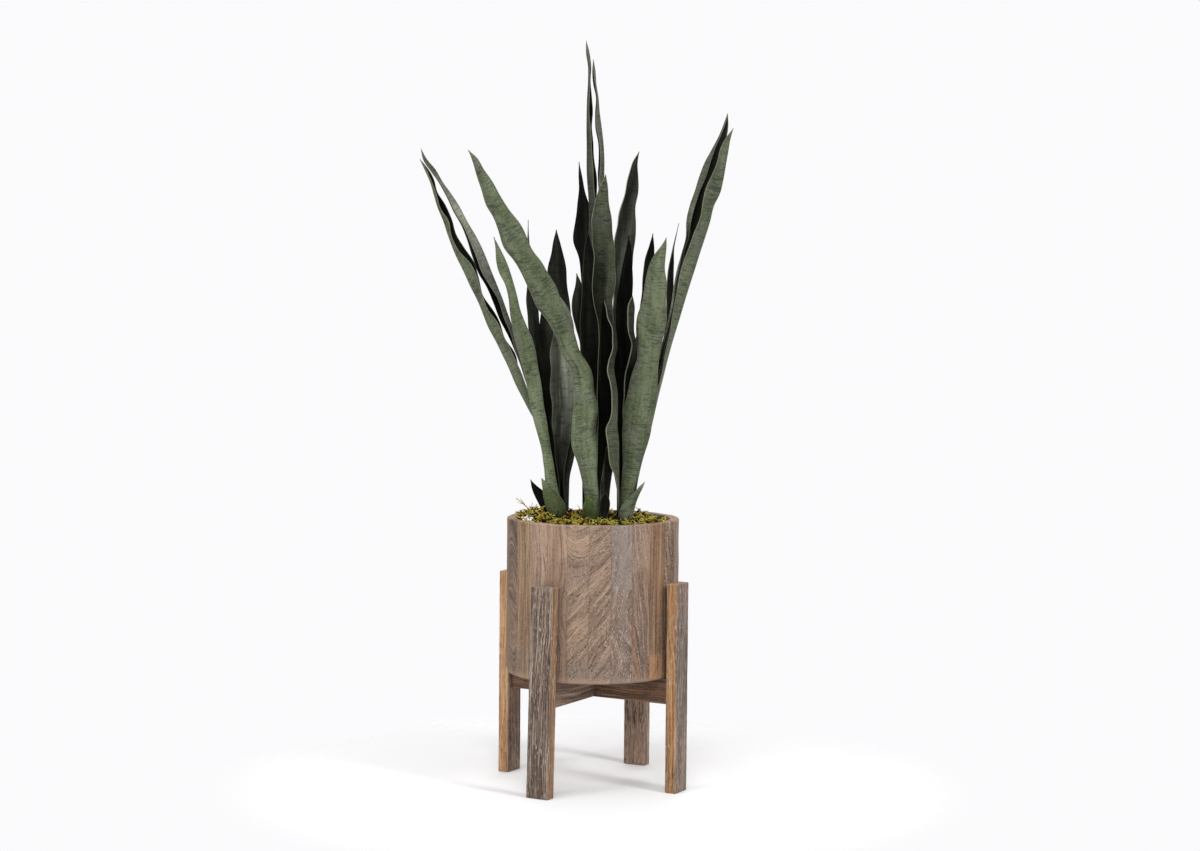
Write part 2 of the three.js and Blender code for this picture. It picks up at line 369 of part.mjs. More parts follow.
    [149, 5.5, 834.4, 165.4, 14.7, 829.6, 152.5, 23.9, 834.2],
    [160.6, 11.4, 879.1, 177.3, 19.1, 874.3, 164.2, 26.7, 879],
    [175, 18.3, 921.3, 191.6, 23.9, 916.1, 178.2, 29.6, 921.3],
    [187.5, 25.9, 961.4, 199.1, 29.1, 957.3, 190.6, 32.4, 961.1],
    [206.8, 34, 992, 206.8, 34, 992, 207.7, 34, 992],
  ] },
  sprout_left_dark: { clump: 'left', rows: [
    [-76.4, 24, 388, -73.4, 25.5, 388, -70.3, 24, 388],
    [-76.4, 24, 407.3, -73.4, 25.5, 407.5, -70.3, 24, 407.4],
    [-80.8, 23.2, 416.2, -76.5, 25.2, 417.4, -72.1, 23.2, 418.1],
    [-85.2, 21.7, 424.9, -79.7, 24.2, 427.3, -73.9, 21.7, 428.8],
    [-92.6, 16.6, 442, -88.1, 18.7, 444.3, -83.1, 16.6, 445.3],
    [-94.4, 13.3, 450.4, -92.3, 14.4, 451.4, -90, 13.3, 451.6],
    [-95.2, 10, 457.8, -95.2, 10, 457.8, -95.2, 10, 457.8],
  ] },
  sprout_left_curled: { clump: 'left', rows: [
    [-65.3, 2, 388, -54.7, -2.8, 388, -44.1, 2, 388],
    [-65.3, 2, 405, -54.7, -2.8, 403.8, -44.1, 2, 403.6],
    [-69.7, 0.9, 413.3, -55.8, -5, 413.4, -41.9, 0.9, 415],
    [-74.9, -1.7, 430.5, -62.9, -6.9, 431.7, -51.2, -1.7, 434.6],
    [-76, -3.2, 439.1, -67.2, -7.3, 440, -58.7, -3.2, 442.3],
    [-77.9, -6.5, 455.2, -74.8, -8.2, 455.7, -72, -6.5, 456.9],
    [-78.4, -8, 461.8, -78.4, -8, 461.8, -78.4, -8, 461.8],
  ] },
  sprout_centre_front: { clump: 'centre', rows: [
    [-12.8, -47, 388, -3.5, -51.1, 388, 5.9, -47, 388],
    [-12.8, -47, 404.2, -3.5, -51.1, 403, 5.9, -47, 402.8],
    [-14.9, -48, 411.1, -4.1, -52, 410.3, 6.7, -48, 410.7],
    [-15.6, -49.1, 417.8, -5.2, -52.9, 417.4, 5.1, -49.1, 418.2],
    [-12.9, -51.5, 430.5, -6.8, -54, 430.5, -0.8, -51.5, 431.6],
    [-11, -52.8, 436.2, -7.8, -54.3, 436.2, -4.8, -52.8, 436.9],
    [-8.9, -54, 440.9, -8.9, -54, 440.9, -8.9, -54, 440.9],
  ] },
  sprout_centre_right: { clump: 'centre', rows: [
    [10.5, -46, 388, 15.7, -44, 388, 20.8, -46, 388],
    [10.5, -46, 408.8, 15.7, -44, 408.3, 20.8, -46, 407.4],
    [9.6, -46.6, 415.6, 16.4, -43.9, 415.1, 23.2, -46.6, 414.3],
    [9.4, -46.9, 422.1, 16.9, -44, 421.8, 24.5, -46.9, 421.3],
    [11.4, -46.8, 434.6, 17.7, -44.3, 434.5, 23.8, -46.8, 434.7],
    [14.6, -46.5, 439.8, 17.9, -44.8, 439.8, 21.2, -46.5, 440],
    [17.4, -46, 443.9, 17.4, -46, 443.9, 17.4, -46, 443.9],
  ] },
  sprout_right_curled: { clump: 'right', rows: [
    [39.8, -17, 388, 49.2, -21.1, 388, 58.6, -17, 388],
    [39.8, -17, 403.2, 49.2, -21.1, 402.9, 58.6, -17, 403.4],
    [39.9, -17.8, 414.1, 50.4, -21.8, 412.8, 61, -17.8, 412.3],
    [51.1, -21.4, 432.4, 58.1, -24.3, 430.4, 65.4, -21.4, 429.9],
    [58.2, -24.1, 439.9, 63.2, -26.2, 438.3, 68.4, -24.1, 438.1],
    [71, -30.7, 454.1, 72.9, -31.6, 453.1, 75, -30.7, 453],
    [76.8, -34, 459.5, 76.8, -34, 459.5, 76.8, -34, 459.5],
  ] },};

// ---- helpers ------------------------------------------------------------------------------
const wood = (hex) => new THREE.MeshStandardMaterial({ color: hex, roughness: 0.75, metalness: 0 });
const V = (x, y, z) => new THREE.Vector3(x, y, z);

function geometryOf(points, triangles) {
  const g = new THREE.BufferGeometry();
  g.setAttribute('position', new THREE.Float32BufferAttribute(points.flatMap((p) => [p.x, p.y, p.z]), 3));
  g.setIndex(triangles);
  return g;
}

function signedVolume(g) {
  const p = g.attributes.position, i = g.index.array;
  let v = 0;
  for (let k = 0; k < i.length; k += 3) {
    const a = new THREE.Vector3().fromBufferAttribute(p, i[k]);
    const b = new THREE.Vector3().fromBufferAttribute(p, i[k + 1]);
    const c = new THREE.Vector3().fromBufferAttribute(p, i[k + 2]);
    v += a.dot(b.cross(c));
  }
  return v / 6;
}

function facingOut(g) {
  if (signedVolume(g) < 0) {
    const i = Array.from(g.index.array);
    for (let k = 0; k < i.length; k += 3) [i[k + 1], i[k + 2]] = [i[k + 2], i[k + 1]];
    g.setIndex(i);
  }
  return g;
}

// rings of equal point count, joined into a closed skin; the two ends are closed by the
// triangles that `cap` gives for one ring
function skin(rings, cap) {
  const m = rings[0].length, pts = rings.flat(), tri = [];
  for (let i = 0; i + 1 < rings.length; i++) {
    for (let j = 0; j < m; j++) {
      const a = i * m + j, b = i * m + (j + 1) % m, c = b + m, d = a + m;
      tri.push(a, b, c, a, c, d);
    }
  }
  const last = (rings.length - 1) * m;
  for (const [a, b, c] of cap) tri.push(a, c, b, last + a, last + b, last + c);
  return facingOut(geometryOf(pts, tri));
}

function toSolid(geometry) {
  const g = geometry.clone();
  g.deleteAttribute('normal');
  g.deleteAttribute('uv');
  const m = mergeVertices(g, 1e-4);
  return new wasm.Manifold(new wasm.Mesh({
    numProp: 3,
    vertProperties: new Float32Array(m.attributes.position.array),
    triVerts: new Uint32Array(m.index.array),
  }));
}

function toGeometry(solid) {
  const m = solid.getMesh();
  const g = new THREE.BufferGeometry();
  g.setAttribute('position', new THREE.Float32BufferAttribute(new Float32Array(m.vertProperties), 3));
  g.setIndex(Array.from(m.triVerts));
  return g;
}

// ---- leaves -------------------------------------------------------------------------------
const readRow = (r) => ({ e1: V(r[0], r[1], r[2]), k: V(r[3], r[4], r[5]), e2: V(r[6], r[7], r[8]) });

function acrossPoint({ e1, k, e2 }, s) {
  const c = k.clone().multiplyScalar(2).sub(e1.clone().add(e2).multiplyScalar(0.5));
  return e1.clone().multiplyScalar((1 - s) ** 2)
    .add(c.multiplyScalar(2 * s * (1 - s)))
    .add(e2.clone().multiplyScalar(s * s));
}

function leafGeometry(table) {
  const rows = table.map(readRow), n = rows.length;
  const grid = rows.map((r) => Array.from({ length: ACROSS + 1 }, (_, j) => acrossPoint(r, j / ACROSS)));
  const rings = grid.map((line, i) => {
    const fade = Math.min(1, Math.max(0.35, (1 - i / (n - 1)) / 0.12));
    const up = [], down = [];
    line.forEach((p, j) => {
      const du = grid[Math.min(n - 1, i + 1)][j].clone().sub(grid[Math.max(0, i - 1)][j]);
      const dv = line[Math.min(ACROSS, j + 1)].clone().sub(line[Math.max(0, j - 1)]);
      let nrm = du.cross(dv);
      if (nrm.length() < 1e-6) nrm = grid[i - 1][j].clone().sub(grid[i - 2][j]).cross(grid[i - 1][ACROSS].clone().sub(grid[i - 1][0]));
      nrm.normalize();
      const s = j / ACROSS;
      const half = 0.5 * fade * (LEAF_EDGE + (LEAF_CORE - LEAF_EDGE) * (1 - (2 * s - 1) ** 2));
      // at the very tip the section keeps a small width of its own
      const spread = i === n - 1 ? rows[n - 2].e2.clone().sub(rows[n - 2].e1).normalize().multiplyScalar((s - 0.5) * 1.2) : V(0, 0, 0);
      const q = p.clone().add(spread);
      up.push(q.clone().addScaledVector(nrm, half));
      down.push(q.clone().addScaledVector(nrm, -half));
    });
    return [...up, ...down.reverse()];
  });
  const m = 2 * (ACROSS + 1), cap = [];
  for (let j = 0; j < ACROSS; j++) cap.push([j, j + 1, m - 2 - j], [j, m - 2 - j, m - 1 - j]);
  return skin(rings, cap);
}

// ---- pot ----------------------------------------------------------------------------------
const WALL_PROFILE = [
  [POT_RADIUS - POT_WALL, POT_BOTTOM_Z],
  [POT_RADIUS - FOOT_ROUND, POT_BOTTOM_Z],
  [POT_RADIUS - FOOT_ROUND * 0.29, POT_BOTTOM_Z + FOOT_ROUND * 0.29],
  [POT_RADIUS, POT_BOTTOM_Z + FOOT_ROUND],
  [POT_RADIUS, POT_RIM_Z - RIM_EASE],
  [POT_RADIUS - RIM_EASE, POT_RIM_Z],
  [POT_RADIUS - POT_WALL + 1, POT_RIM_Z],
  [POT_RADIUS - POT_WALL, POT_RIM_Z - 1],
];

// angle measured from the front (-Y) towards +X
const onRing = (r, deg, z) => V(r * Math.sin(deg * Math.PI / 180), -r * Math.cos(deg * Math.PI / 180), z);

function staveGeometry(from, to) {
  const halfGap = (GAP / 2) / POT_RADIUS * 180 / Math.PI;
  const a = from + halfGap, b = to - halfGap, steps = 4;
  const rings = [];
  for (let i = 0; i <= steps; i++) {
    const deg = a + (b - a) * i / steps;
    rings.push(WALL_PROFILE.map(([r, z]) => onRing(r, deg, z)));
  }
  const cap = THREE.ShapeUtils.triangulateShape(WALL_PROFILE.map(([x, y]) => new THREE.Vector2(x, y)), []);
  return skin(rings, cap);
}

function disc(radius, z0, z1, segments = 48) {
  const g = new THREE.CylinderGeometry(radius, radius, z1 - z0, segments);
  g.rotateX(Math.PI / 2);
  g.translate(0, 0, (z0 + z1) / 2);
  return g;
}

// ---- moss ---------------------------------------------------------------------------------
// a low cushion over the soil, a little lumpy, with an opening round the foot of each clump
function mossHeight(x, y) {
  const r = Math.hypot(x, y) / (POT_RADIUS - POT_WALL);
  const lumps = 1.3 * Math.sin(x * 0.11 + 1.3) * Math.cos(y * 0.13) + 0.9 * Math.sin(x * 0.23 - y * 0.19);
  return MOSS_EDGE_Z + (MOSS_CROWN_Z - MOSS_EDGE_Z) * (1 - Math.min(1, r) ** 3) + lumps * (1 - r * 0.5);
}

function mossBlank() {
  const radius = POT_RADIUS - POT_WALL - GAP, rings = 6, around = 36;
  const z0 = SOIL_TOP_Z + GAP, pts = [], tri = [];
  pts.push(V(0, 0, z0), V(0, 0, mossHeight(0, 0)));
  for (let i = 1; i <= rings; i++) {
    for (let j = 0; j < around; j++) {
      const t = 2 * Math.PI * j / around, r = radius * i / rings;
      const x = r * Math.cos(t), y = r * Math.sin(t);
      pts.push(V(x, y, mossHeight(x, y)));
    }
  }
  const foot = pts.length;
  for (let j = 0; j < around; j++) {
    const t = 2 * Math.PI * j / around;
    pts.push(V(radius * Math.cos(t), radius * Math.sin(t), z0));
  }
  const at = (i, j) => 2 + (i - 1) * around + (j % around);
  for (let j = 0; j < around; j++) {
    tri.push(1, at(1, j), at(1, j + 1));
    for (let i = 1; i < rings; i++) tri.push(at(i, j), at(i + 1, j), at(i + 1, j + 1), at(i, j), at(i + 1, j + 1), at(i, j + 1));
    tri.push(at(rings, j), foot + j, foot + (j + 1) % around, at(rings, j), foot + (j + 1) % around, at(rings, j + 1));
    tri.push(0, foot + (j + 1) % around, foot + j);
  }
  return facingOut(geometryOf(pts, tri));
}

function hull2d(points) {
  const p = [...points].sort((a, b) => a.x - b.x || a.y - b.y);
  const cross = (o, a, b) => (a.x - o.x) * (b.y - o.y) - (a.y - o.y) * (b.x - o.x);
  const half = (list) => {
    const h = [];
    for (const q of list) {
      while (h.length > 1 && cross(h[h.length - 2], h[h.length - 1], q) <= 0) h.pop();
      h.push(q);
    }
    h.pop();
    return h;
  };
  return [...half(p), ...half([...p].reverse())];
}

// outline of the place where one clump comes through the moss
function clumpOutline(clump) {
  const foot = [];
  for (const { clump: c, rows } of Object.values(LEAVES)) {
    if (c !== clump) continue;
    rows.map(readRow).forEach((r, i) => {
      const next = rows[i + 1] ? readRow(rows[i + 1]) : r;
      for (const key of ['e1', 'k', 'e2']) {
        if (r[key].z <= MOSS_CROWN_Z + 5) foot.push(new THREE.Vector2(r[key].x, r[key].y));
        // where a blade crosses the top of the moss between two rows
        if (r[key].z < MOSS_CROWN_Z + 5 && next[key].z > MOSS_CROWN_Z + 5) {
          const t = (MOSS_CROWN_Z + 5 - r[key].z) / (next[key].z - r[key].z);
          foot.push(new THREE.Vector2(r[key].x + t * (next[key].x - r[key].x), r[key].y + t * (next[key].y - r[key].y)));
        }
      }
    });
  }
  const mid = foot.reduce((s, p) => s.add(p), new THREE.Vector2()).divideScalar(foot.length);
  return hull2d(foot).map((p) => {
    const d = p.clone().sub(mid);
    return p.clone().addScaledVector(d.normalize(), 3.2);
  });
}

function mossGeometry() {
  let moss = toSolid(mossBlank());
  for (const clump of ['left', 'centre', 'right']) {
    const shape = new THREE.Shape(clumpOutline(clump));
    const plug = new THREE.ExtrudeGeometry(shape, { depth: 40, bevelEnabled: false });
    plug.translate(0, 0, SOIL_TOP_Z - 10);
    moss = moss.subtract(toSolid(plug));
  }
  return toGeometry(moss);
}

// ---- stand --------------------------------------------------------------------------------
// a length of rectangular stock with eased long edges, section in XY, standing on z = 0
function stock(width, thickness, height, ease) {
  const w = width / 2, t = thickness / 2, e = ease;
  const outline = [[-w + e, -t], [w - e, -t], [w, -t + e], [w, t - e], [w - e, t], [-w + e, t], [-w, t - e], [-w, -t + e]];
  const shape = new THREE.Shape(outline.map(([x, y]) => new THREE.Vector2(x, y)));
  return new THREE.ExtrudeGeometry(shape, { depth: height, bevelEnabled: false });
}

function barGeometry(notchFromTop) {
  const length = 2 * (LEG_INNER_RADIUS - GAP);
  const bar = toSolid(new THREE.BoxGeometry(length, BAR_THICKNESS, BAR_HEIGHT));
  const cut = new THREE.BoxGeometry(BAR_THICKNESS + 2 * GAP, BAR_THICKNESS + 4, BAR_HEIGHT);
  cut.translate(0, 0, (notchFromTop ? 1 : -1) * (BAR_HEIGHT / 2 - GAP / 2));
  return toGeometry(bar.subtract(toSolid(cut)));
}

// ---- assembly -----------------------------------------------------------------------------
const assembly = new THREE.Group();
function add(name, geometry, material, parent = assembly) {
  const mesh = new THREE.Mesh(geometry, material);
  mesh.name = name;
  parent.add(mesh);
  return mesh;
}

const pot = new THREE.Group();
assembly.add(pot);
const edges = [];
for (let i = 0; i <= FRONT_STAVES; i++) edges.push(FRONT_START_DEG + i * FRONT_STAVE_DEG);
const rest = (360 - FRONT_STAVES * FRONT_STAVE_DEG) / (STAVES - FRONT_STAVES);
for (let i = 1; i <= STAVES - FRONT_STAVES; i++) edges.push(edges[FRONT_STAVES] + i * rest);
for (let i = 0; i < STAVES; i++) {
  const name = `stave_${String(i + 1).padStart(2, '0')}`;
  add(name, staveGeometry(edges[i], edges[i + 1]), wood(COLOR.wood[i % COLOR.wood.length]), pot);
}
const inside = POT_RADIUS - POT_WALL - GAP;
add('pot_base', disc(inside, POT_BOTTOM_Z, POT_BOTTOM_Z + BASE_THICKNESS), wood(COLOR.base), pot);
add('potting_soil', disc(inside, POT_BOTTOM_Z + BASE_THICKNESS + GAP, SOIL_TOP_Z),
  new THREE.MeshStandardMaterial({ color: COLOR.soil, roughness: 1, metalness: 0 }), pot);
add('moss_topdressing', mossGeometry(),
  new THREE.MeshStandardMaterial({ color: COLOR.moss, roughness: 1, metalness: 0 }), pot);

const stand = new THREE.Group();
stand.rotation.z = -STAND_TURN;
assembly.add(stand);
const LEGS = [
  ['stand_leg_front_left', -90], ['stand_leg_front_right', 0], ['stand_leg_back_right', 90], ['stand_leg_back_left', 180],
];
for (const [name, deg] of LEGS) {
  const arm = new THREE.Group();
  arm.rotation.z = deg * Math.PI / 180;
  stand.add(arm);
  const g = stock(LEG_THICKNESS, LEG_WIDTH, LEG_HEIGHT, LEG_EASE);
  if (name === 'stand_leg_front_left') {
    // leans sideways: the foot a little to the left, the top a little to the right
    const k = FRONT_LEFT_LEAN / LEG_HEIGHT;
    g.applyMatrix4(new THREE.Matrix4().set(1, 0, 0, 0, 0, 1, k, -FRONT_LEFT_LEAN / 2, 0, 0, 1, 0, 0, 0, 0, 1));
  }
  const leg = add(name, g, wood(COLOR.stand), arm);
  leg.position.set(LEG_INNER_RADIUS + LEG_THICKNESS / 2, 0, 0);
}
const barZ = POT_BOTTOM_Z - GAP - BAR_HEIGHT / 2;
const upper = add('stand_bar_upper', barGeometry(false), wood(COLOR.stand), stand);
upper.position.set(0, 0, barZ);
const lower = add('stand_bar_lower', barGeometry(true), wood(COLOR.stand), stand);
lower.position.set(0, 0, barZ);
lower.rotation.z = Math.PI / 2;

const plant = new THREE.Group();
assembly.add(plant);
for (const [name, { rows }] of Object.entries(LEAVES)) {
  const green = new THREE.MeshStandardMaterial({
    color: name.startsWith('sprout') ? COLOR.sprout : COLOR.outer, roughness: 0.5, metalness: 0, side: THREE.DoubleSide,
  });
  add(name, leafGeometry(rows), green, plant);
}

// centre the footprint box on the origin
assembly.updateMatrixWorld(true);
const box = new THREE.Box3();
assembly.traverse((o) => { if (o.isMesh) box.expandByObject(o, true); });
const middle = box.getCenter(new THREE.Vector3());
assembly.position.set(-middle.x, -middle.y, -box.min.z);

const part = new THREE.Group();
part.add(assembly);
part.updateMatrixWorld(true);
export default part;
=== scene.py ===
"""Looks of the potted snake plant: blades, stave pot, moss and stand, in metres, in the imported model's frame."""

import math

import bpy
import numpy as np
from mathutils import Matrix, Vector


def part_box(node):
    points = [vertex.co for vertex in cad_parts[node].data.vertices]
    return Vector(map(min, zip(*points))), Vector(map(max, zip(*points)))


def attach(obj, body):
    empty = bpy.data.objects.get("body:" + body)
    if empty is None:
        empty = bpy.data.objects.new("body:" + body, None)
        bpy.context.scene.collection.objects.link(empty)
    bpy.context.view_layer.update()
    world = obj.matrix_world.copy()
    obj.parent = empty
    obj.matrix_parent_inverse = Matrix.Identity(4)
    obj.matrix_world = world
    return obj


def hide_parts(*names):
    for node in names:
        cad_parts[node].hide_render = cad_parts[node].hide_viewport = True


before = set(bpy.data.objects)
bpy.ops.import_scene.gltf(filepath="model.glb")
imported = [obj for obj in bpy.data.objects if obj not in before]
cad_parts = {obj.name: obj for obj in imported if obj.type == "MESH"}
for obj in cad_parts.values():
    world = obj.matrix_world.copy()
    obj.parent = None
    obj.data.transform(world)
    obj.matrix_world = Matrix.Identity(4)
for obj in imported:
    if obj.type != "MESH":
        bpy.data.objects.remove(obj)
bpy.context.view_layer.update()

scene = bpy.context.scene
_lo, _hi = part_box("pot_base")
AX, AY = (_lo.x + _hi.x) / 2, (_lo.y + _hi.y) / 2       # the pot's axis
MM = 0.001

# ---- camera, at the photograph's viewing angle ---------------------------------------------
CAM = (0.0, -3418.3, 737.04)                             # from the pot's axis, mm
PITCH, YAW, ROLL = 0.0571, 0.0027, 0.0092
FOCAL_PX = 2266.8                                        # on the 1200-pixel width


def make_camera():
    fwd = np.array([math.sin(YAW) * math.cos(PITCH), math.cos(YAW) * math.cos(PITCH), -math.sin(PITCH)])
    right = np.array([math.cos(YAW), -math.sin(YAW), 0.0])
    up = np.cross(right, fwd)
    r2 = math.cos(ROLL) * right + math.sin(ROLL) * up
    u2 = -math.sin(ROLL) * right + math.cos(ROLL) * up
    data = bpy.data.cameras.new("camera")
    data.sensor_width = 36.0
    data.sensor_fit = "HORIZONTAL"
    data.lens = FOCAL_PX / 1200 * 36.0
    data.clip_start, data.clip_end = 0.1, 60.0
    cam = bpy.data.objects.new("camera", data)
    scene.collection.objects.link(cam)
    pos = (AX + CAM[0] * MM, AY + CAM[1] * MM, CAM[2] * MM)
    cam.matrix_world = Matrix((
        (r2[0], u2[0], -fwd[0], pos[0]),
        (r2[1], u2[1], -fwd[1], pos[1]),
        (r2[2], u2[2], -fwd[2], pos[2]),
        (0, 0, 0, 1)))
    scene.camera = cam


make_camera()


# ---- small helpers --------------------------------------------------------------------------
def lin(r, g, b):
    """An sRGB colour, 0 to 255, as a linear RGBA value."""
    def one(c):
        c /= 255
        return c / 12.92 if c <= 0.04045 else ((c + 0.055) / 1.055) ** 2.4
    return (one(r), one(g), one(b), 1.0)


def mesh_object(name, verts, faces, point_attrs=None, material=None, smooth=True, replaces=()):
    """A new piece: verts n by 3 in metres, faces as index lists, attributes per point."""
    me = bpy.data.meshes.new(name)
    me.from_pydata([tuple(v) for v in np.asarray(verts, float)], [], faces)
    me.validate()
    for key, value in (point_attrs or {}).items():
        value = np.asarray(value, np.float32)
        if value.ndim == 1:
            me.attributes.new(key, "FLOAT", "POINT").data.foreach_set("value", value)
        else:
            me.attributes.new(key, "FLOAT_VECTOR", "POINT").data.foreach_set("vector", value.ravel())
    if smooth:
        me.polygons.foreach_set("use_smooth", [True] * len(me.polygons))
    if material:
        for m in (material if isinstance(material, (list, tuple)) else [material]):
            me.materials.append(m)
    me.update()
    ob = bpy.data.objects.new(name, me)
    scene.collection.objects.link(ob)
    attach(ob, "root")
    if replaces:
        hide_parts(*replaces)
    return ob


class Graph:
    """A material and short calls for its nodes."""

    def __init__(self, name):
        self.mat = bpy.data.materials.new(name)
        self.mat.use_nodes = True
        self.t = self.mat.node_tree
        self.t.nodes.clear()
        self.out = self.t.nodes.new("ShaderNodeOutputMaterial")
        self.x = 0

    def node(self, kind, props=None, **inputs):
        n = self.t.nodes.new("ShaderNode" + kind)
        n.location = (self.x, 0)
        self.x += 40
        for k, v in (props or {}).items():
            setattr(n, k, v)
        for k, v in inputs.items():
            key = int(k[1:]) if k[0] == "i" and k[1:].isdigit() else k.replace("_", " ")
            self.put(n.inputs[key], v)
        return n

    def put(self, socket, v):
        if isinstance(v, bpy.types.NodeSocket):
            self.t.links.new(v, socket)
        elif v is not None:
            socket.default_value = v

    def attr(self, name, kind="Fac"):
        return self.node("Attribute", {"attribute_name": name}).outputs[kind]

    def math(self, op, a, b=None, c=None, clamp=False):
        n = self.node("Math", {"operation": op, "use_clamp": clamp})
        for i, v in enumerate((a, b, c)):
            if v is not None:
                self.put(n.inputs[i], v)
        return n.outputs[0]

    def vec(self, op, a, b=None, scale=None):
        n = self.node("VectorMath", {"operation": op})
        self.put(n.inputs[0], a)
        if b is not None:
            self.put(n.inputs[1], b)
        if scale is not None:
            self.put(n.inputs["Scale"], scale)
        return n.outputs["Value" if op in ("LENGTH", "DOT_PRODUCT", "DISTANCE") else "Vector"]

    def xyz(self, x, y, z):
        n = self.node("CombineXYZ")
        for i, v in enumerate((x, y, z)):
            self.put(n.inputs[i], v)
        return n.outputs[0]

    def split(self, v):
        return self.node("SeparateXYZ", None, i0=v).outputs

    def noise(self, vector, scale=1.0, detail=2.0, rough=0.5, distortion=0.0, colour=False, lac=2.0):
        n = self.node("TexNoise", None, Vector=vector, Scale=scale, Detail=detail, Roughness=rough,
                      Lacunarity=lac, Distortion=distortion)
        return n.outputs["Color" if colour else "Fac"]

    def ramp(self, fac, a, b, lo=0.0, hi=1.0, smooth=True):
        """fac from a..b mapped to lo..hi, clamped."""
        n = self.node("MapRange", {"interpolation_type": "SMOOTHSTEP" if smooth else "LINEAR", "clamp": True})
        for i, v in enumerate((fac, a, b, lo, hi)):
            self.put(n.inputs[i], v)
        return n.outputs[0]

    def mix(self, fac, a, b, blend="MIX"):
        n = self.node("Mix", {"data_type": "RGBA", "blend_type": blend, "clamp_factor": True})
        self.put(n.inputs["Factor"], fac)
        self.put(n.inputs[6], a)
        self.put(n.inputs[7], b)
        return n.outputs[2]

    def bump(self, height, strength, distance, normal=None):
        n = self.node("Bump", None, Height=height, Strength=strength, Distance=distance)
        if normal is not None:
            self.put(n.inputs["Normal"], normal)
        return n.outputs[0]

    def surface(self, colour, rough, normal=None, **consts):
        n = self.node("BsdfPrincipled")
        self.put(n.inputs["Base Color"], colour)
        self.put(n.inputs["Roughness"], rough)
        if normal is not None:
            self.put(n.inputs["Normal"], normal)
        for k, v in consts.items():
            self.put(n.inputs[k.replace("_", " ")], v)
        self.t.links.new(n.outputs[0], self.out.inputs[0])
        return self.mat


def smoothstep(a, b, x):
    t = np.clip((np.asarray(x, float) - a) / (b - a), 0, 1)
    return t * t * (3 - 2 * t)


class Waves:
    """Smooth seeded noise in one or two variables, as a sum of sines, about -1 to 1."""

    def __init__(self, seed, length, n=6, spread=0.7):
        r = np.random.RandomState(seed)
        k = 2 * math.pi / length * np.exp(r.uniform(-spread, spread, n))
        ang = r.uniform(0, 2 * math.pi, n)
        self.kx, self.ky = k * np.cos(ang), k * np.sin(ang)
        self.k, self.ph = k, r.uniform(0, 2 * math.pi, n)
        self.a = r.uniform(0.6, 1.0, n) / math.sqrt(n / 2) * 0.8

    def __call__(self, x, y=None):
        x = np.asarray(x, float)[..., None]
        arg = x * self.k if y is None else x * self.kx + np.asarray(y, float)[..., None] * self.ky
        return (self.a * np.sin(arg + self.ph)).sum(-1)


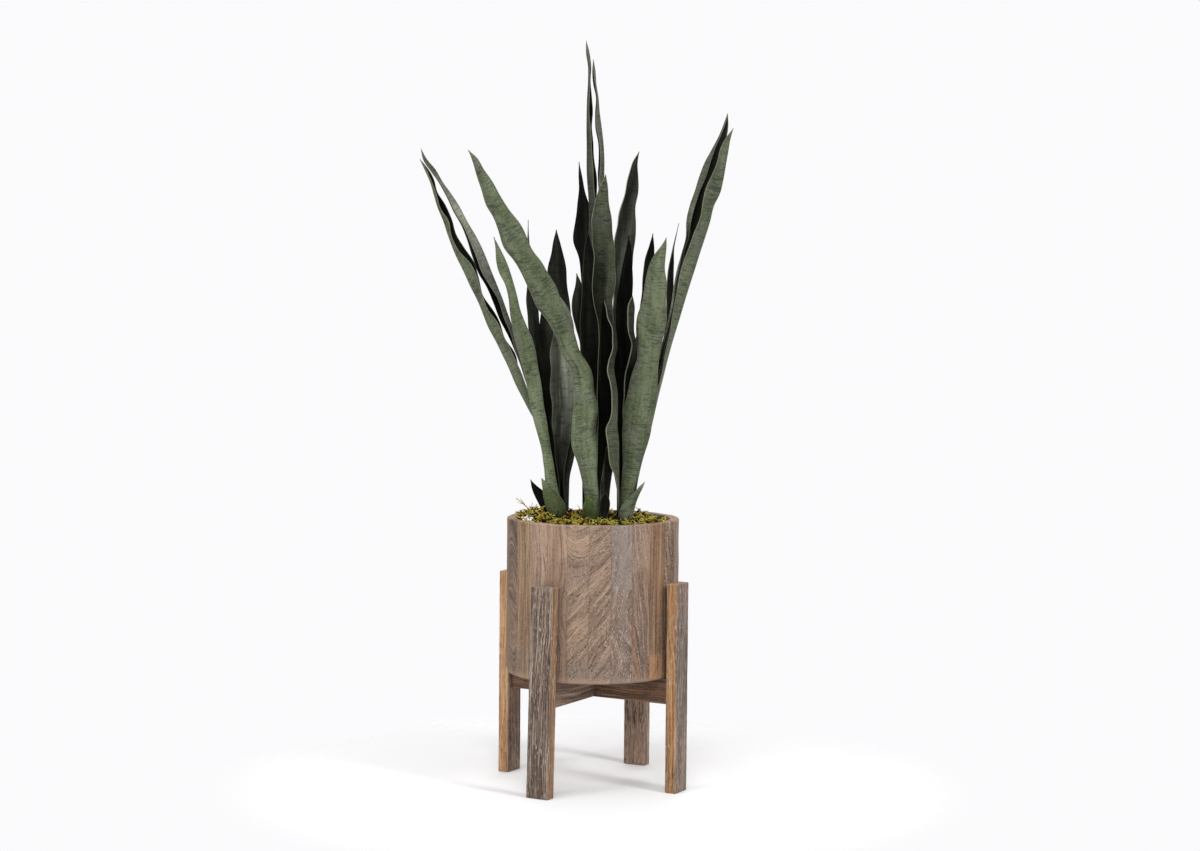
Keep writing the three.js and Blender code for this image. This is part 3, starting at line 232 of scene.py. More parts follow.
# ---- leaves ---------------------------------------------------------------------------------
# one row per cross-section, foot to tip, mm from the pot's axis: first margin, keel, second margin
LEAVES = {
    "leaf_left_tall_outer": [
        (-63.4, 20.5, 388, -68.9, 28, 388, -63.7, 35.5, 388),
        (-63.4, 20.5, 407.8, -68.9, 28, 407, -63.7, 35.5, 406.3),
        (-65.2, 19.8, 436.2, -70.8, 28.4, 435.1, -65.6, 36.9, 434.7),
        (-67.6, 19.4, 464.4, -73.1, 28.9, 463, -68, 38.5, 462.9),
        (-70.8, 19, 492.3, -75.9, 29.6, 490.6, -71.2, 40.2, 490.8),
        (-74.9, 18.9, 519.9, -80.2, 30.5, 518, -75.4, 42.1, 518.5),
        (-82.7, 19, 546.2, -88.6, 31.5, 543.8, -83.3, 44, 544.9),
        (-92.7, 19.2, 571.8, -101.6, 32.7, 567.9, -93.4, 46.1, 570.6),
        (-102.2, 19.7, 597.2, -114, 34, 591.8, -103.7, 48.3, 596),
        (-112, 21, 622.4, -125.4, 35.5, 616.1, -114.3, 50, 621.1),
        (-123.9, 22.9, 646.3, -136.7, 37.1, 640.1, -122.3, 51.3, 646.8),
        (-135.4, 25, 670.2, -148.1, 38.9, 663.9, -136.3, 52.8, 669.7),
        (-147.2, 27.2, 693.7, -160.6, 40.7, 686.9, -145.5, 54.3, 694.5),
        (-162.3, 29.7, 714.9, -170.8, 42.8, 710.6, -158.7, 55.8, 717.1),
        (-172.5, 32.4, 738.6, -180.6, 44.9, 734.2, -172.4, 57.4, 738.6),
        (-178.7, 35.2, 763.4, -192.1, 47.1, 756.8, -179, 59, 763.6),
        (-190.9, 38.3, 785, -203.2, 49.5, 779.2, -186.3, 60.6, 787.8),
        (-208, 41.6, 803.5, -214.1, 51.9, 801.4, -200.8, 62.2, 808.1),
        (-219, 45.1, 825, -222.7, 54.5, 824, -213.9, 63.8, 828.6),
        (-224.1, 48.8, 848.2, -230.7, 57.1, 846.4, -220.2, 65.3, 852),
        (-236.9, 52.7, 867.9, -239.5, 59.7, 867.9, -230.2, 66.7, 873),
        (-243.6, 56.8, 889.8, -247, 62.4, 889.2, -242.9, 68, 892.1),
        (-251.2, 61.1, 910.4, -253.8, 65.1, 909.8, -248.3, 69.1, 913.2),
        (-260.3, 65.5, 929, -262.7, 67.7, 928.1, -258.8, 69.9, 930.6),
        (-270.2, 70, 943.8, -270.2, 70, 943.8, -270.2, 70, 943.8),
    ],
    "leaf_left_tall_inner": [
        (-61.1, 21, 388, -55.9, 28, 388, -61.7, 35, 388), (-61.1, 21, 407.7, -55.9, 28, 407.1, -61.7, 35, 406.4),
        (-63, 20.4, 436.8, -57.7, 28.4, 436.3, -63.7, 36.3, 435.4),
        (-65.5, 19.9, 465.6, -60.4, 28.8, 465.2, -66.3, 37.8, 464.2),
        (-68.7, 19.6, 494.1, -64.3, 29.5, 493.7, -69.6, 39.3, 492.8),
        (-73.1, 19.4, 522.3, -69, 30.2, 522, -74.2, 41, 521.1),
        (-81.7, 19.4, 549, -75.5, 31, 549.6, -83.1, 42.8, 547.9),
        (-91.1, 19.5, 575.5, -82.9, 32, 576.8, -92.6, 44.6, 574.5),
        (-100.8, 19.8, 601.5, -94.8, 33.1, 602.1, -102.4, 46.5, 600.7),
        (-110.1, 20.8, 627.4, -105, 34.3, 628, -111.6, 47.8, 626.9),
        (-119.8, 22.4, 653, -114.8, 35.6, 653.7, -122.4, 48.9, 652.3),
        (-128.4, 24.1, 678.7, -124.1, 37.1, 679.4, -133.4, 50, 677.4),
        (-137.3, 26, 704, -132.8, 38.6, 705, -145.4, 51.2, 701.6),
        (-147.3, 28, 728.6, -142.1, 40.2, 730.2, -156.2, 52.4, 725.8),
        (-159.6, 30.2, 751.8, -151.4, 41.9, 755, -165.8, 53.6, 750.1),
        (-173.5, 32.6, 773.6, -161.4, 43.8, 779.2, -179.5, 54.8, 772.5),
        (-182.2, 35.2, 797.9, -171.4, 45.6, 803.1, -188.5, 56, 796.6),
        (-191.8, 38, 821.3, -183.3, 47.6, 825.6, -196.2, 57.2, 820.9),
        (-202.9, 40.9, 843.6, -195.9, 49.6, 847.3, -205.4, 58.3, 844),
        (-215.5, 44, 864.5, -208.4, 51.7, 868.5, -218.2, 59.4, 864.9),
        (-225.8, 47.3, 886.2, -221.3, 53.8, 888.7, -228.3, 60.3, 886.6),
        (-237.6, 50.7, 906.2, -234.7, 56, 907.8, -239.4, 61.2, 906.9),
        (-250.9, 54.3, 924.2, -245.7, 58.1, 927.2, -252.7, 61.8, 924.8),
        (-262.4, 58.1, 942, -259.1, 60.2, 943.3, -264.3, 62.3, 942.2), (-268, 62, 959, -268, 62, 959, -268, 62, 959),
    ],
    "leaf_front_diagonal": [
        (-10.6, -38, 388, -0.9, -42.3, 388, 8.8, -38, 388), (-10.6, -38, 406.3, -0.9, -42.3, 406.2, 8.8, -38, 406.5),
        (-12.6, -40, 435.2, -2.3, -43.2, 435.3, 7.6, -38.8, 435.8),
        (-16.7, -42.6, 463.6, -4.9, -45.6, 464, 6, -40.2, 465),
        (-25.7, -45.9, 490.6, -9.5, -49.6, 491.8, 5.3, -42.4, 494),
        (-33, -49.7, 518, -13.1, -53.9, 519.6, 5, -45.2, 522.8),
        (-32.2, -54.2, 545.9, -12.9, -57.6, 547.8, 4.3, -48.7, 551.5),
        (-30.6, -59.2, 573.9, -12.6, -61.8, 575.9, 3, -52.9, 579.8),
        (-30.3, -64.8, 601.6, -14, -66.5, 603.8, -0.5, -57.8, 607.7),
        (-34.3, -70.8, 628.2, -20.3, -71.7, 630.6, -9.4, -63.4, 634),
        (-47.7, -77.4, 651.9, -33.6, -78.1, 654.5, -22.6, -69.6, 658.2),
        (-57.8, -84.4, 676.8, -42.6, -85.3, 679.6, -30.7, -76.5, 684),
        (-68.6, -92, 700, -52.6, -93.1, 703.7, -40, -84, 709.1),
        (-85.1, -99.9, 719.8, -66.3, -101.9, 725.2, -51.1, -92, 732.9),
        (-95.3, -108.2, 743.1, -76.3, -110.4, 748.6, -61.1, -100.7, 756.9),
        (-105.1, -117, 765.9, -87.9, -118.9, 771, -74.2, -109.8, 778.6),
        (-117.9, -126.1, 786.7, -101.8, -127.9, 791.4, -89.1, -119.5, 798.6),
        (-132.1, -135.5, 806, -113.8, -138.2, 811.6, -99.2, -129.6, 820.6),
        (-139.7, -145.3, 827.8, -123.5, -147.8, 832.9, -110.6, -140.1, 841.4),
        (-147, -155.3, 849.4, -134.6, -157.2, 853, -125, -151, 859.4),
        (-157.6, -165.5, 868.5, -145.6, -167.7, 872.1, -136.2, -162.1, 878.7),
        (-164.6, -175.8, 888.3, -155.1, -177.8, 891.2, -147.9, -173.3, 896.7),
        (-169.7, -186.1, 907.8, -163.3, -187.6, 909.9, -158.7, -184.5, 914),
        (-175.1, -196.2, 925.8, -171.2, -197.4, 927.4, -168.6, -195.4, 930.3),
        (-180.6, -205, 940.6, -180.6, -205, 940.6, -180.6, -205, 940.6),
    ],
    "leaf_left_front": [
        (-59.4, 13, 388, -53.4, 10.3, 388, -47.3, 13, 388), (-59.4, 13, 405.5, -53.4, 10.3, 405.4, -47.3, 13, 405.6),
        (-64.3, 12.6, 430.5, -57.7, 9.1, 430.7, -50.7, 11.5, 431.2),
        (-70, 11.6, 455.2, -63.6, 7.6, 455.4, -56.4, 9.5, 456.2),
        (-75.1, 10.1, 479.9, -68.5, 5.5, 480.2, -60.6, 7, 481.4),
        (-79.3, 8.1, 504.5, -72.9, 3, 504.9, -65, 4.1, 506.3),
        (-84.8, 5.5, 528.7, -77.9, -0.1, 529.2, -69.1, 0.8, 531),
        (-91.7, 2.4, 552.2, -83.2, -4.1, 553.1, -72.9, -2.9, 555.5),
        (-96.9, -1.3, 575.9, -87.7, -8.2, 576.9, -76.6, -7, 579.7),
        (-100.9, -5.4, 599.6, -91.6, -12.5, 600.6, -80.3, -11.4, 603.6),
        (-106.4, -10.1, 622.5, -96.1, -17.5, 623.7, -84, -16.1, 627.2),
        (-112.8, -15.3, 645, -101.3, -22.9, 646.3, -88.2, -21.2, 650.3),
        (-119, -20.9, 667, -107.3, -28.4, 668.4, -94, -26.5, 672.7),
        (-123.3, -27, 689, -113.7, -33.5, 689.9, -102.8, -32.1, 693.4),
        (-126.3, -33.4, 710.9, -119.3, -38.8, 711.2, -110.8, -37.9, 713.7),
        (-128.3, -40.1, 732.3, -122.7, -44.7, 732.6, -115.9, -44, 734.9),
        (-133.8, -47.1, 752.4, -128, -51.3, 752.8, -121.4, -50.2, 755.2),
        (-142, -54.3, 770.7, -134.8, -58.5, 771.5, -127.3, -56.6, 774.6),
        (-146.4, -61.6, 789.3, -140.5, -64.9, 790, -134.4, -63.1, 792.6),
        (-147.6, -68.7, 807.3, -145, -70.4, 807.6, -142.4, -69.4, 808.9),
        (-149.7, -75, 822.4, -149.7, -75, 822.4, -149.7, -75, 822.4),
    ],
    "leaf_left_back_spike": [
        (-57.8, 52, 388, -53.6, 53.8, 388, -49.4, 52, 388), (-57.8, 52, 404.8, -53.6, 53.8, 404.4, -49.4, 52, 404.9),
        (-60.4, 58.1, 437.9, -56.7, 60.9, 437.4, -51.9, 60.9, 437.7),
        (-65.2, 64.3, 470.6, -61.4, 68.5, 470, -55.8, 69.7, 470.3),
        (-70, 70.7, 503, -66.2, 76, 502.3, -60.1, 78.4, 502.7),
        (-75.6, 77.2, 535, -71.4, 83.7, 534.3, -64.3, 86.8, 534.9),
        (-81.5, 84.1, 566.7, -76.6, 91.5, 566.1, -68.5, 95, 566.8),
        (-87.2, 91.2, 598.1, -81.6, 99.2, 597.6, -72.6, 103, 598.6),
        (-92.8, 98.6, 629.2, -86.7, 106.8, 628.7, -77.1, 110.6, 629.9),
        (-98.5, 106.2, 659.9, -91.8, 114.4, 659.5, -81.8, 117.9, 660.8),
        (-103.4, 114, 690.3, -96.5, 121.9, 690, -86.5, 124.9, 691.4),
        (-106.1, 122, 720.4, -98.9, 129.3, 720.3, -89.1, 131.6, 721.6),
        (-106.5, 130.1, 750, -101, 136.1, 749.9, -93.2, 138, 751),
        (-106.4, 138.1, 778.9, -103.1, 142.5, 778.8, -97.9, 144.1, 779.5),
        (-106.6, 146, 806.7, -105.2, 148.7, 806.6, -102.4, 149.9, 806.9),
        (-106.6, 153.5, 832.9, -106.3, 154.8, 832.8, -105.1, 155.3, 832.9),
        (-106.2, 160, 855.3, -106.2, 160, 855.3, -106.2, 160, 855.3),
    ],
    "leaf_left_back_broad": [
        (-46.9, 38, 388, -42.2, 40, 388, -37.6, 38, 388), (-46.9, 38, 406.2, -42.2, 40, 406.2, -37.6, 38, 406.3),
        (-48.9, 39, 434.8, -43.1, 41.1, 434.8, -37.3, 39, 435),
        (-53.1, 40.8, 462.9, -44.6, 43.8, 462.9, -36.2, 40.8, 463.3),
        (-57.9, 43.5, 490.6, -43.7, 48, 490.1, -29.5, 43.5, 490.6),
        (-62.8, 47.1, 518, -43.9, 52.6, 517.1, -24.9, 47.1, 517.9),
        (-67.8, 51.4, 545.1, -45.8, 57.7, 544.2, -23.7, 51.4, 545.4),
        (-72.3, 56.6, 572, -48.6, 63.2, 571, -25, 56.6, 572.6),
        (-76.2, 62.5, 598.7, -51.6, 69.2, 597.6, -27.1, 62.5, 599.6),
        (-80, 69.1, 625.2, -55, 75.8, 623.9, -30.1, 69.1, 626.1),
        (-84, 76.4, 651.5, -58.6, 83, 650, -33.2, 76.4, 652.3),
        (-85.2, 84.3, 677.6, -60.5, 90.7, 675.9, -35.9, 84.3, 678.3),
        (-84, 92.8, 703.2, -60.5, 98.8, 701.6, -37.2, 92.8, 704),
        (-80.5, 101.8, 728.4, -60.4, 107.2, 726.8, -40.2, 101.8, 729.1),
        (-76.4, 111.4, 753.1, -59.7, 116, 751.6, -43.2, 111.4, 753.8),
        (-73.8, 121.2, 777.2, -59.8, 125.2, 775.8, -45.9, 121.2, 777.8),
        (-69.4, 131.2, 800.1, -59.8, 134.2, 799.1, -50.3, 131.2, 800.8),
        (-66.1, 141.1, 821.9, -61, 142.9, 821.2, -56, 141.1, 822.1),
        (-61.7, 150, 840.2, -61.7, 150, 840.2, -61.7, 150, 840.2),
    ],
    "leaf_left_middle": [
        (-50.5, 24, 388, -45.5, 26.8, 388, -40.6, 24, 388), (-50.5, 24, 404.5, -45.5, 26.8, 404.2, -40.6, 24, 404.6),
        (-51.1, 25.2, 429.2, -48, 28.8, 429, -43.4, 27.9, 429.3),
        (-52.6, 26.4, 453.6, -50.3, 31.4, 453.4, -44.9, 31.8, 453.9),
        (-56.1, 27.9, 477.6, -51.7, 35.1, 477.6, -43.4, 35.6, 478.4),
        (-59.1, 29.5, 501.5, -51.4, 39.2, 501.4, -39, 39.1, 502.3),
        (-61.7, 31.5, 525, -50.1, 43.4, 524.8, -33.5, 42.4, 525.7),
        (-63.4, 33.7, 548.4, -48.8, 47.1, 548, -29.1, 45.4, 549.2),
        (-64.7, 36.2, 571.5, -48, 50.5, 571.1, -26.2, 48.2, 572.6),
        (-66.1, 39, 594.2, -48.4, 53.4, 593.9, -25.8, 50.7, 595.7),
        (-67, 42, 616.6, -49, 56.1, 616.5, -26.5, 52.9, 618.6),
        (-66.9, 45.3, 638.6, -49.4, 58.4, 638.7, -28, 54.8, 641),
        (-66, 48.7, 660, -49.8, 60.5, 660.4, -30.2, 56.6, 662.8),
        (-64.1, 52.2, 680.7, -49.5, 62.3, 681.4, -32.4, 58.2, 683.9),
        (-61.9, 55.7, 700.6, -49.4, 63.9, 701.5, -35.4, 59.6, 704.1),
        (-57.9, 59.1, 719, -50.8, 63.9, 719.8, -43, 60.9, 721.7),
        (-53.2, 62, 734.4, -53.2, 62, 734.4, -53.2, 62, 734.4),
    ],
    "leaf_centre_tall_left": [
        (4.3, -18.5, 388, -0.2, -12, 388, 4.8, -5.5, 388), (4.3, -18.5, 409.1, -0.2, -12, 408.4, 4.8, -5.5, 407.8),
        (3.5, -16.9, 438.6, -1.2, -9.6, 437.9, 4.2, -2.4, 437.3),
        (3, -15.4, 467.9, -2.6, -7.4, 467.2, 3.8, 0.7, 466.7), (2.8, -13.9, 497.1, -4.4, -5.1, 496.4, 3.6, 3.6, 496),
        (2.5, -12.5, 526.2, -6, -3, 525.4, 3.3, 6.5, 525.2), (2.2, -11.2, 555.1, -7, -1, 554.4, 3, 9.3, 554.2),
        (2, -9.9, 583.9, -7.9, 1, 583.2, 2.8, 12, 583.1), (1.7, -8.7, 612.5, -9.1, 2.9, 611.8, 2.5, 14.6, 611.8),
        (1.5, -7.5, 640.9, -9.8, 4.8, 640.3, 2.2, 17, 640.4), (1.2, -6.1, 669.1, -10.1, 6.5, 668.6, 2, 19.1, 668.9),
        (1, -4.2, 697.1, -10.4, 8.2, 696.7, 1.7, 20.6, 697.2), (1, -2.4, 724.9, -10.2, 9.8, 724.6, 1.8, 22, 725.2),
        (1.2, -0.7, 752.6, -9.6, 11.3, 752.4, 1.9, 23.3, 753.1), (1, 1.1, 780, -9, 12.8, 779.8, 1.7, 24.5, 780.7),
        (0.7, 2.8, 807.2, -8.5, 14.2, 807.1, 1.5, 25.5, 808.1),
        (0.3, 4.5, 834.1, -8.6, 15.5, 834.1, 1.2, 26.4, 835.2), (-0.6, 6.2, 860.7, -9.3, 16.7, 860.8, 1, 27.3, 862),
        (-1.8, 7.9, 887.1, -10.6, 17.9, 887.2, 0.7, 27.9, 888.6),
        (-3.6, 9.6, 913.1, -12.3, 19, 913.3, 0.3, 28.5, 914.7),
        (-5.7, 11.3, 938.7, -13.2, 20.1, 939, -2.3, 28.9, 940.4),
        (-7.3, 13, 964, -13.9, 21.1, 964.4, -5.1, 29.1, 965.7),
        (-9.4, 14.7, 988.9, -14.4, 22, 989.3, -7.8, 29.2, 990.5),
        (-10.8, 16.5, 1013.3, -13.8, 22.8, 1013.7, -5.9, 29.2, 1014.8),
        (-11.6, 18.2, 1037.1, -13.3, 23.6, 1037.5, -7.7, 29, 1038.5),
        (-11.1, 20, 1060.3, -12.9, 24.3, 1060.6, -10.2, 28.6, 1061.3),
        (-10.4, 21.9, 1082.5, -13.4, 25, 1082.7, -9.2, 28, 1083.4),
        (-12.8, 23.9, 1103.3, -16.7, 25.5, 1103.3, -11.9, 27.2, 1103.9),
        (-16.6, 26, 1120.8, -16.6, 26, 1120.8, -16.6, 26, 1120.8),
    ],
    "leaf_centre_tall_right": [
        (10.4, -18, 388, 14.9, -12, 388, 9.9, -6, 388), (10.4, -18, 409.1, 14.9, -12, 408.5, 9.9, -6, 407.9),
        (10.1, -16.3, 437.4, 14.7, -9.6, 436.9, 9.3, -2.8, 436.2),
        (9.4, -14.6, 465.6, 14.8, -7.2, 465.1, 8.6, 0.2, 464.4),
        (8.8, -13.1, 493.6, 14.9, -5, 493.2, 8.1, 3.2, 492.5), (8.6, -11.6, 521.6, 15, -2.8, 521.1, 7.9, 6, 520.5),
        (8.3, -10.2, 549.4, 15.1, -0.7, 549, 7.6, 8.8, 548.4), (8.1, -8.8, 577, 15.6, 1.3, 576.7, 7.4, 11.4, 576.1),
        (7.8, -7.6, 604.5, 16, 3.2, 604.2, 7.1, 13.9, 603.7), (7.6, -6.3, 631.8, 16.2, 5, 631.6, 6.9, 16.3, 631.2),
        (7.3, -4.9, 658.9, 16.3, 6.7, 658.8, 6.6, 18.3, 658.4),
        (7.1, -3.1, 685.8, 16.4, 8.3, 685.9, 6.4, 19.8, 685.6),
        (6.8, -1.4, 712.6, 16.6, 9.9, 712.7, 6.1, 21.2, 712.5),
        (6.6, 0.3, 739.1, 16.4, 11.4, 739.4, 5.9, 22.4, 739.3),
        (6.5, 1.9, 765.5, 16.2, 12.7, 765.8, 5.6, 23.5, 765.8), (6.4, 3.6, 791.6, 16, 14, 792, 5.4, 24.5, 792.1),
        (6.3, 5.1, 817.5, 15.5, 15.3, 818, 5.2, 25.4, 818.1), (6.1, 6.7, 843.1, 14.9, 16.4, 843.7, 4.9, 26.1, 843.9),
        (5.8, 8.2, 868.5, 13.9, 17.5, 869.1, 4.7, 26.7, 869.3),
        (5.2, 9.8, 893.5, 12.5, 18.4, 894.2, 4.2, 27.2, 894.5),
        (5.2, 11.2, 918.2, 11.2, 19.4, 918.9, 2.8, 27.4, 919.2),
        (6.3, 12.8, 942.5, 11.1, 20.2, 943.3, 3.8, 27.6, 943.6), (4.7, 14.3, 966.4, 9.6, 21, 967, 3.1, 27.6, 967.5),
        (0.1, 15.8, 989.4, 6.8, 21.6, 990.3, -1.5, 27.5, 990.5),
        (-0.4, 17.3, 1012.3, 3.5, 22.2, 1012.9, -2.1, 27.2, 1013.3),
        (0.3, 18.9, 1034.5, 1.6, 22.8, 1035, -1.1, 26.7, 1035.4),
        (-3, 20.5, 1055.6, -1.6, 23.3, 1056, -5.6, 26.1, 1056.1),
        (-5.6, 22.1, 1075.5, -2.8, 23.7, 1076, -7.2, 25.2, 1076),
        (-5.8, 24, 1092.7, -5.8, 24, 1092.7, -5.8, 24, 1092.7),
    ],
    "leaf_centre_front": [
        (3.8, -33, 388, 6.6, -34.8, 388, 9.5, -33, 388), (4.3, -33, 410.8, 7.1, -34.8, 410.8, 10, -33, 410.9),
        (3.8, -33.5, 438.3, 6.7, -35.3, 438.2, 9.5, -33.5, 438.1),
        (4.7, -34.4, 465.5, 8.4, -36.4, 465.3, 12.1, -34.4, 465.2),
        (5.3, -35.7, 492.6, 10.7, -38, 492.3, 16, -35.7, 492),
        (5.9, -36.7, 519.4, 12.4, -39.3, 519, 18.8, -36.7, 518.7),
        (6.2, -37.5, 546, 13.1, -40.5, 545.5, 20, -37.5, 545),
        (5.4, -37.6, 572.4, 13.7, -41, 571.8, 22, -37.6, 571.2),
        (4.8, -37.5, 598.5, 14.5, -41.4, 597.8, 24.2, -37.5, 597),
        (4.9, -37.4, 624.4, 15.5, -41.6, 623.6, 26.1, -37.4, 622.7),
        (5.6, -37.2, 650.1, 16, -41.4, 649.1, 26.5, -37.2, 648.1),
        (7, -36.9, 675.4, 16.8, -40.9, 674.4, 26.5, -36.9, 673.3),
        (4.2, -36.6, 700.3, 15.3, -41, 699.3, 26.4, -36.6, 698.2),
        (-1.2, -36.1, 724.5, 12.7, -41.4, 723.7, 26.7, -36.1, 722.7),
        (-4.6, -35.6, 748.6, 11.9, -41.6, 747.9, 28.3, -35.6, 746.9),
        (-2.9, -35.1, 772.5, 13.5, -41, 771.8, 29.9, -35.1, 770.7),
        (-1.6, -34.4, 796, 13.7, -40.1, 795.2, 29.1, -34.4, 794.1),
        (-5.5, -33.8, 818.9, 10.8, -39.7, 818.1, 27.1, -33.8, 817),
        (-5.6, -33, 841.3, 9.4, -38.6, 840.5, 24.3, -33, 839.3),
        (-3, -32.3, 863.1, 9.2, -37, 862.1, 21.4, -32.3, 860.8),
        (0.1, -31.5, 884, 9.7, -35.4, 882.9, 19.2, -31.5, 881.6),
        (7.2, -30.7, 902.3, 12.2, -33.1, 901.8, 17.3, -30.7, 901.1),
        (14.4, -30, 917.5, 14.4, -30, 917.5, 14.4, -30, 917.5),
    ],
    "leaf_centre_back_left": [
        (-8.5, 8, 388, -2.5, 10.7, 388, 3.6, 8, 388), (-8.5, 8, 406.4, -2.5, 10.7, 406.3, 3.6, 8, 406.5),
        (-9.1, 10.3, 437.8, -2.8, 12.9, 437.7, 3.6, 10.3, 438),
        (-9.8, 13.2, 469, -3.1, 15.9, 468.8, 3.6, 13.2, 469.1),
        (-10.8, 16.6, 499.9, -3.5, 19.5, 499.7, 3.7, 16.6, 500.1),
        (-11.9, 20.6, 530.6, -4, 23.6, 530.3, 3.9, 20.6, 530.8), (-12.9, 25, 561, -4.6, 28.2, 560.7, 3.7, 25, 561.3),
        (-14, 30, 591.3, -5.3, 33.2, 590.8, 3.4, 30, 591.5), (-15, 35.4, 621.2, -5.9, 38.8, 620.8, 3.1, 35.4, 621.6),
        (-16.1, 41.2, 651, -6.8, 44.6, 650.4, 2.5, 41.2, 651.3),
        (-17.1, 47.5, 680.4, -7.7, 51, 679.9, 1.7, 47.5, 680.8),
        (-18.1, 54.2, 709.6, -8.7, 57.6, 709, 0.6, 54.2, 710),
        (-19.4, 61.3, 738.5, -9.9, 64.8, 737.8, -0.4, 61.3, 738.9),
        (-21.5, 68.7, 767, -11.3, 72.4, 766.3, -1.2, 68.7, 767.5),
        (-25.9, 76.5, 794.8, -14.1, 80.6, 794.1, -2.4, 76.5, 795.6),
        (-33.1, 84.5, 821.5, -18.6, 89.3, 821, -4.4, 84.5, 823.3),
        (-32.5, 92.8, 848.6, -19.6, 97.1, 848.2, -6.8, 92.8, 850.4),
        (-28.6, 101.1, 874.8, -19.5, 104.4, 874.6, -10.6, 101.1, 876.6),
        (-26.3, 109.5, 900.3, -22, 111.3, 900.1, -17.8, 109.5, 901.1),
        (-27.3, 117.8, 924.3, -24.8, 118.9, 924.1, -22.3, 117.8, 924.8),
        (-26.9, 125, 944.9, -26.9, 125, 944.9, -26.9, 125, 944.9),
    ],
    "leaf_centre_inner": [
        (-3.9, -25, 388, 2.1, -22.4, 388, 8.1, -25, 388), (-3.9, -25, 409.6, 2.1, -22.4, 409.6, 8.1, -25, 409.7),
        (-4.4, -24.5, 437.7, 1.9, -22.3, 437.8, 8.2, -24.5, 437.9),
        (-5, -24, 465.6, 1.7, -22.1, 465.6, 8.4, -24, 465.8),
        (-6, -23.4, 493.2, 1.4, -21.4, 493.3, 8.8, -23.4, 493.4),
        (-7.8, -22.9, 520.6, 0.8, -20.7, 520.6, 9.3, -22.9, 520.8),
        (-9.7, -22.4, 547.6, 0, -19.9, 547.7, 9.7, -22.4, 547.9),
        (-11.9, -21.9, 574.4, -0.9, -19.1, 574.5, 10.1, -21.9, 574.8),
        (-14.3, -21.4, 600.8, -1.8, -18.3, 601, 10.7, -21.4, 601.3),
        (-17.2, -20.9, 626.8, -2.9, -17.5, 627.1, 11.4, -20.9, 627.5),
        (-20.4, -20.4, 652.4, -4.1, -16.6, 652.8, 12.2, -20.4, 653.4),
        (-22.3, -20, 677.7, -5, -16, 678.2, 12.3, -20, 678.8),
        (-21.8, -19.5, 702.7, -5.3, -15.6, 703.2, 11.2, -19.5, 703.8),
        (-20.7, -19, 727.2, -5.7, -15.5, 727.6, 9.3, -19, 728.2),
        (-19.5, -18.6, 751, -6.8, -15.5, 751.4, 5.9, -18.6, 751.8),
        (-19, -18.2, 774.2, -8.1, -15.4, 774.4, 2.9, -18.2, 774.8),
        (-17.4, -17.7, 796.3, -9.2, -15.6, 796.4, -1.1, -17.7, 796.6),
        (-15.2, -17.3, 817.1, -10.8, -16, 817, -6.3, -17.3, 816.9),
        (-10.5, -17, 834.2, -10.5, -17, 834.2, -10.5, -17, 834.2),
    ],
    "leaf_centre_short_left": [
        (-16, -18, 388, -13, -16.7, 388, -10, -18, 388), (-16, -18, 408.8, -13, -16.7, 408.8, -10, -18, 408.9),
        (-16.2, -15.7, 435.9, -13.4, -14.5, 435.8, -10.4, -15.7, 435.9),
        (-16.5, -13.3, 462.6, -13.6, -12.1, 462.6, -10.8, -13.3, 462.7),
        (-16.7, -10.8, 489.2, -13.8, -9.6, 489.1, -10.9, -10.8, 489.2),
        (-17, -8.2, 515.5, -14, -6.9, 515.4, -11, -8.2, 515.5),
        (-17.6, -5.4, 541.5, -14.4, -4.2, 541.4, -11.2, -5.4, 541.5),
        (-18.3, -2.6, 567.2, -15, -1.3, 567.1, -11.6, -2.6, 567.2),
        (-19.2, 0.2, 592.6, -15.6, 1.6, 592.4, -12.1, 0.2, 592.6),
        (-20.2, 3.2, 617.6, -16.4, 4.6, 617.4, -12.6, 3.2, 617.6),
        (-21.1, 6.2, 642.2, -17.1, 7.7, 642, -13.1, 6.2, 642.2),
        (-22.6, 9.2, 666.3, -18.2, 10.9, 666.1, -13.8, 9.2, 666.4),
        (-28.7, 12.3, 689, -21.7, 14.7, 689.2, -14.8, 12.3, 690),
        (-34.4, 15.4, 711.1, -25.2, 18.4, 711.6, -16.1, 15.4, 712.8),
        (-34.1, 18.5, 733.1, -26, 21.2, 733.5, -18, 18.5, 734.8),
        (-30, 21.4, 753.4, -25.3, 23.2, 754.3, -20.8, 21.4, 755.6), (-28.2, 24, 771, -28.2, 24, 771, -28.2, 24, 771),
    ],
    "leaf_centre_back_right": [
        (12.7, 4, 388, 18, 7.3, 388, 23.3, 4, 388), (12.7, 4, 407, 18, 7.3, 406.6, 23.3, 4, 407.1),
        (10.9, 7.9, 436.3, 17.6, 11.9, 435.7, 24.4, 7.9, 436.2),
        (12.4, 12.1, 465.5, 19.9, 16.4, 464.6, 27.4, 12.1, 465.1),
        (16.1, 16.5, 494.2, 24, 21, 493.2, 32, 16.5, 493.5),
        (21.3, 21.2, 522.4, 29.3, 25.7, 521.3, 37.4, 21.2, 521.7),
        (22.6, 26.1, 551.2, 32.1, 31.3, 549.6, 41.7, 26.1, 549.9),
        (23.5, 31.2, 579.8, 34.4, 37.1, 577.8, 45.6, 31.2, 578),
        (24.1, 36.6, 608.1, 36.3, 43, 605.8, 48.8, 36.6, 606),
        (24.6, 42.1, 636.3, 37.7, 48.9, 633.7, 51.1, 42.1, 633.8),
        (25.3, 47.9, 664.2, 39, 54.9, 661.4, 53, 47.9, 661.6), (26, 53.9, 692, 40.2, 61.1, 689, 54.8, 53.9, 689.1),
        (26.8, 60, 719.5, 41.2, 67.2, 716.3, 55.9, 60, 716.4),
        (27.4, 66.3, 746.8, 41.6, 73.5, 743.4, 56.2, 66.3, 743.4),
        (27.6, 72.7, 773.7, 41.4, 79.8, 770.3, 55.7, 72.7, 770.2),
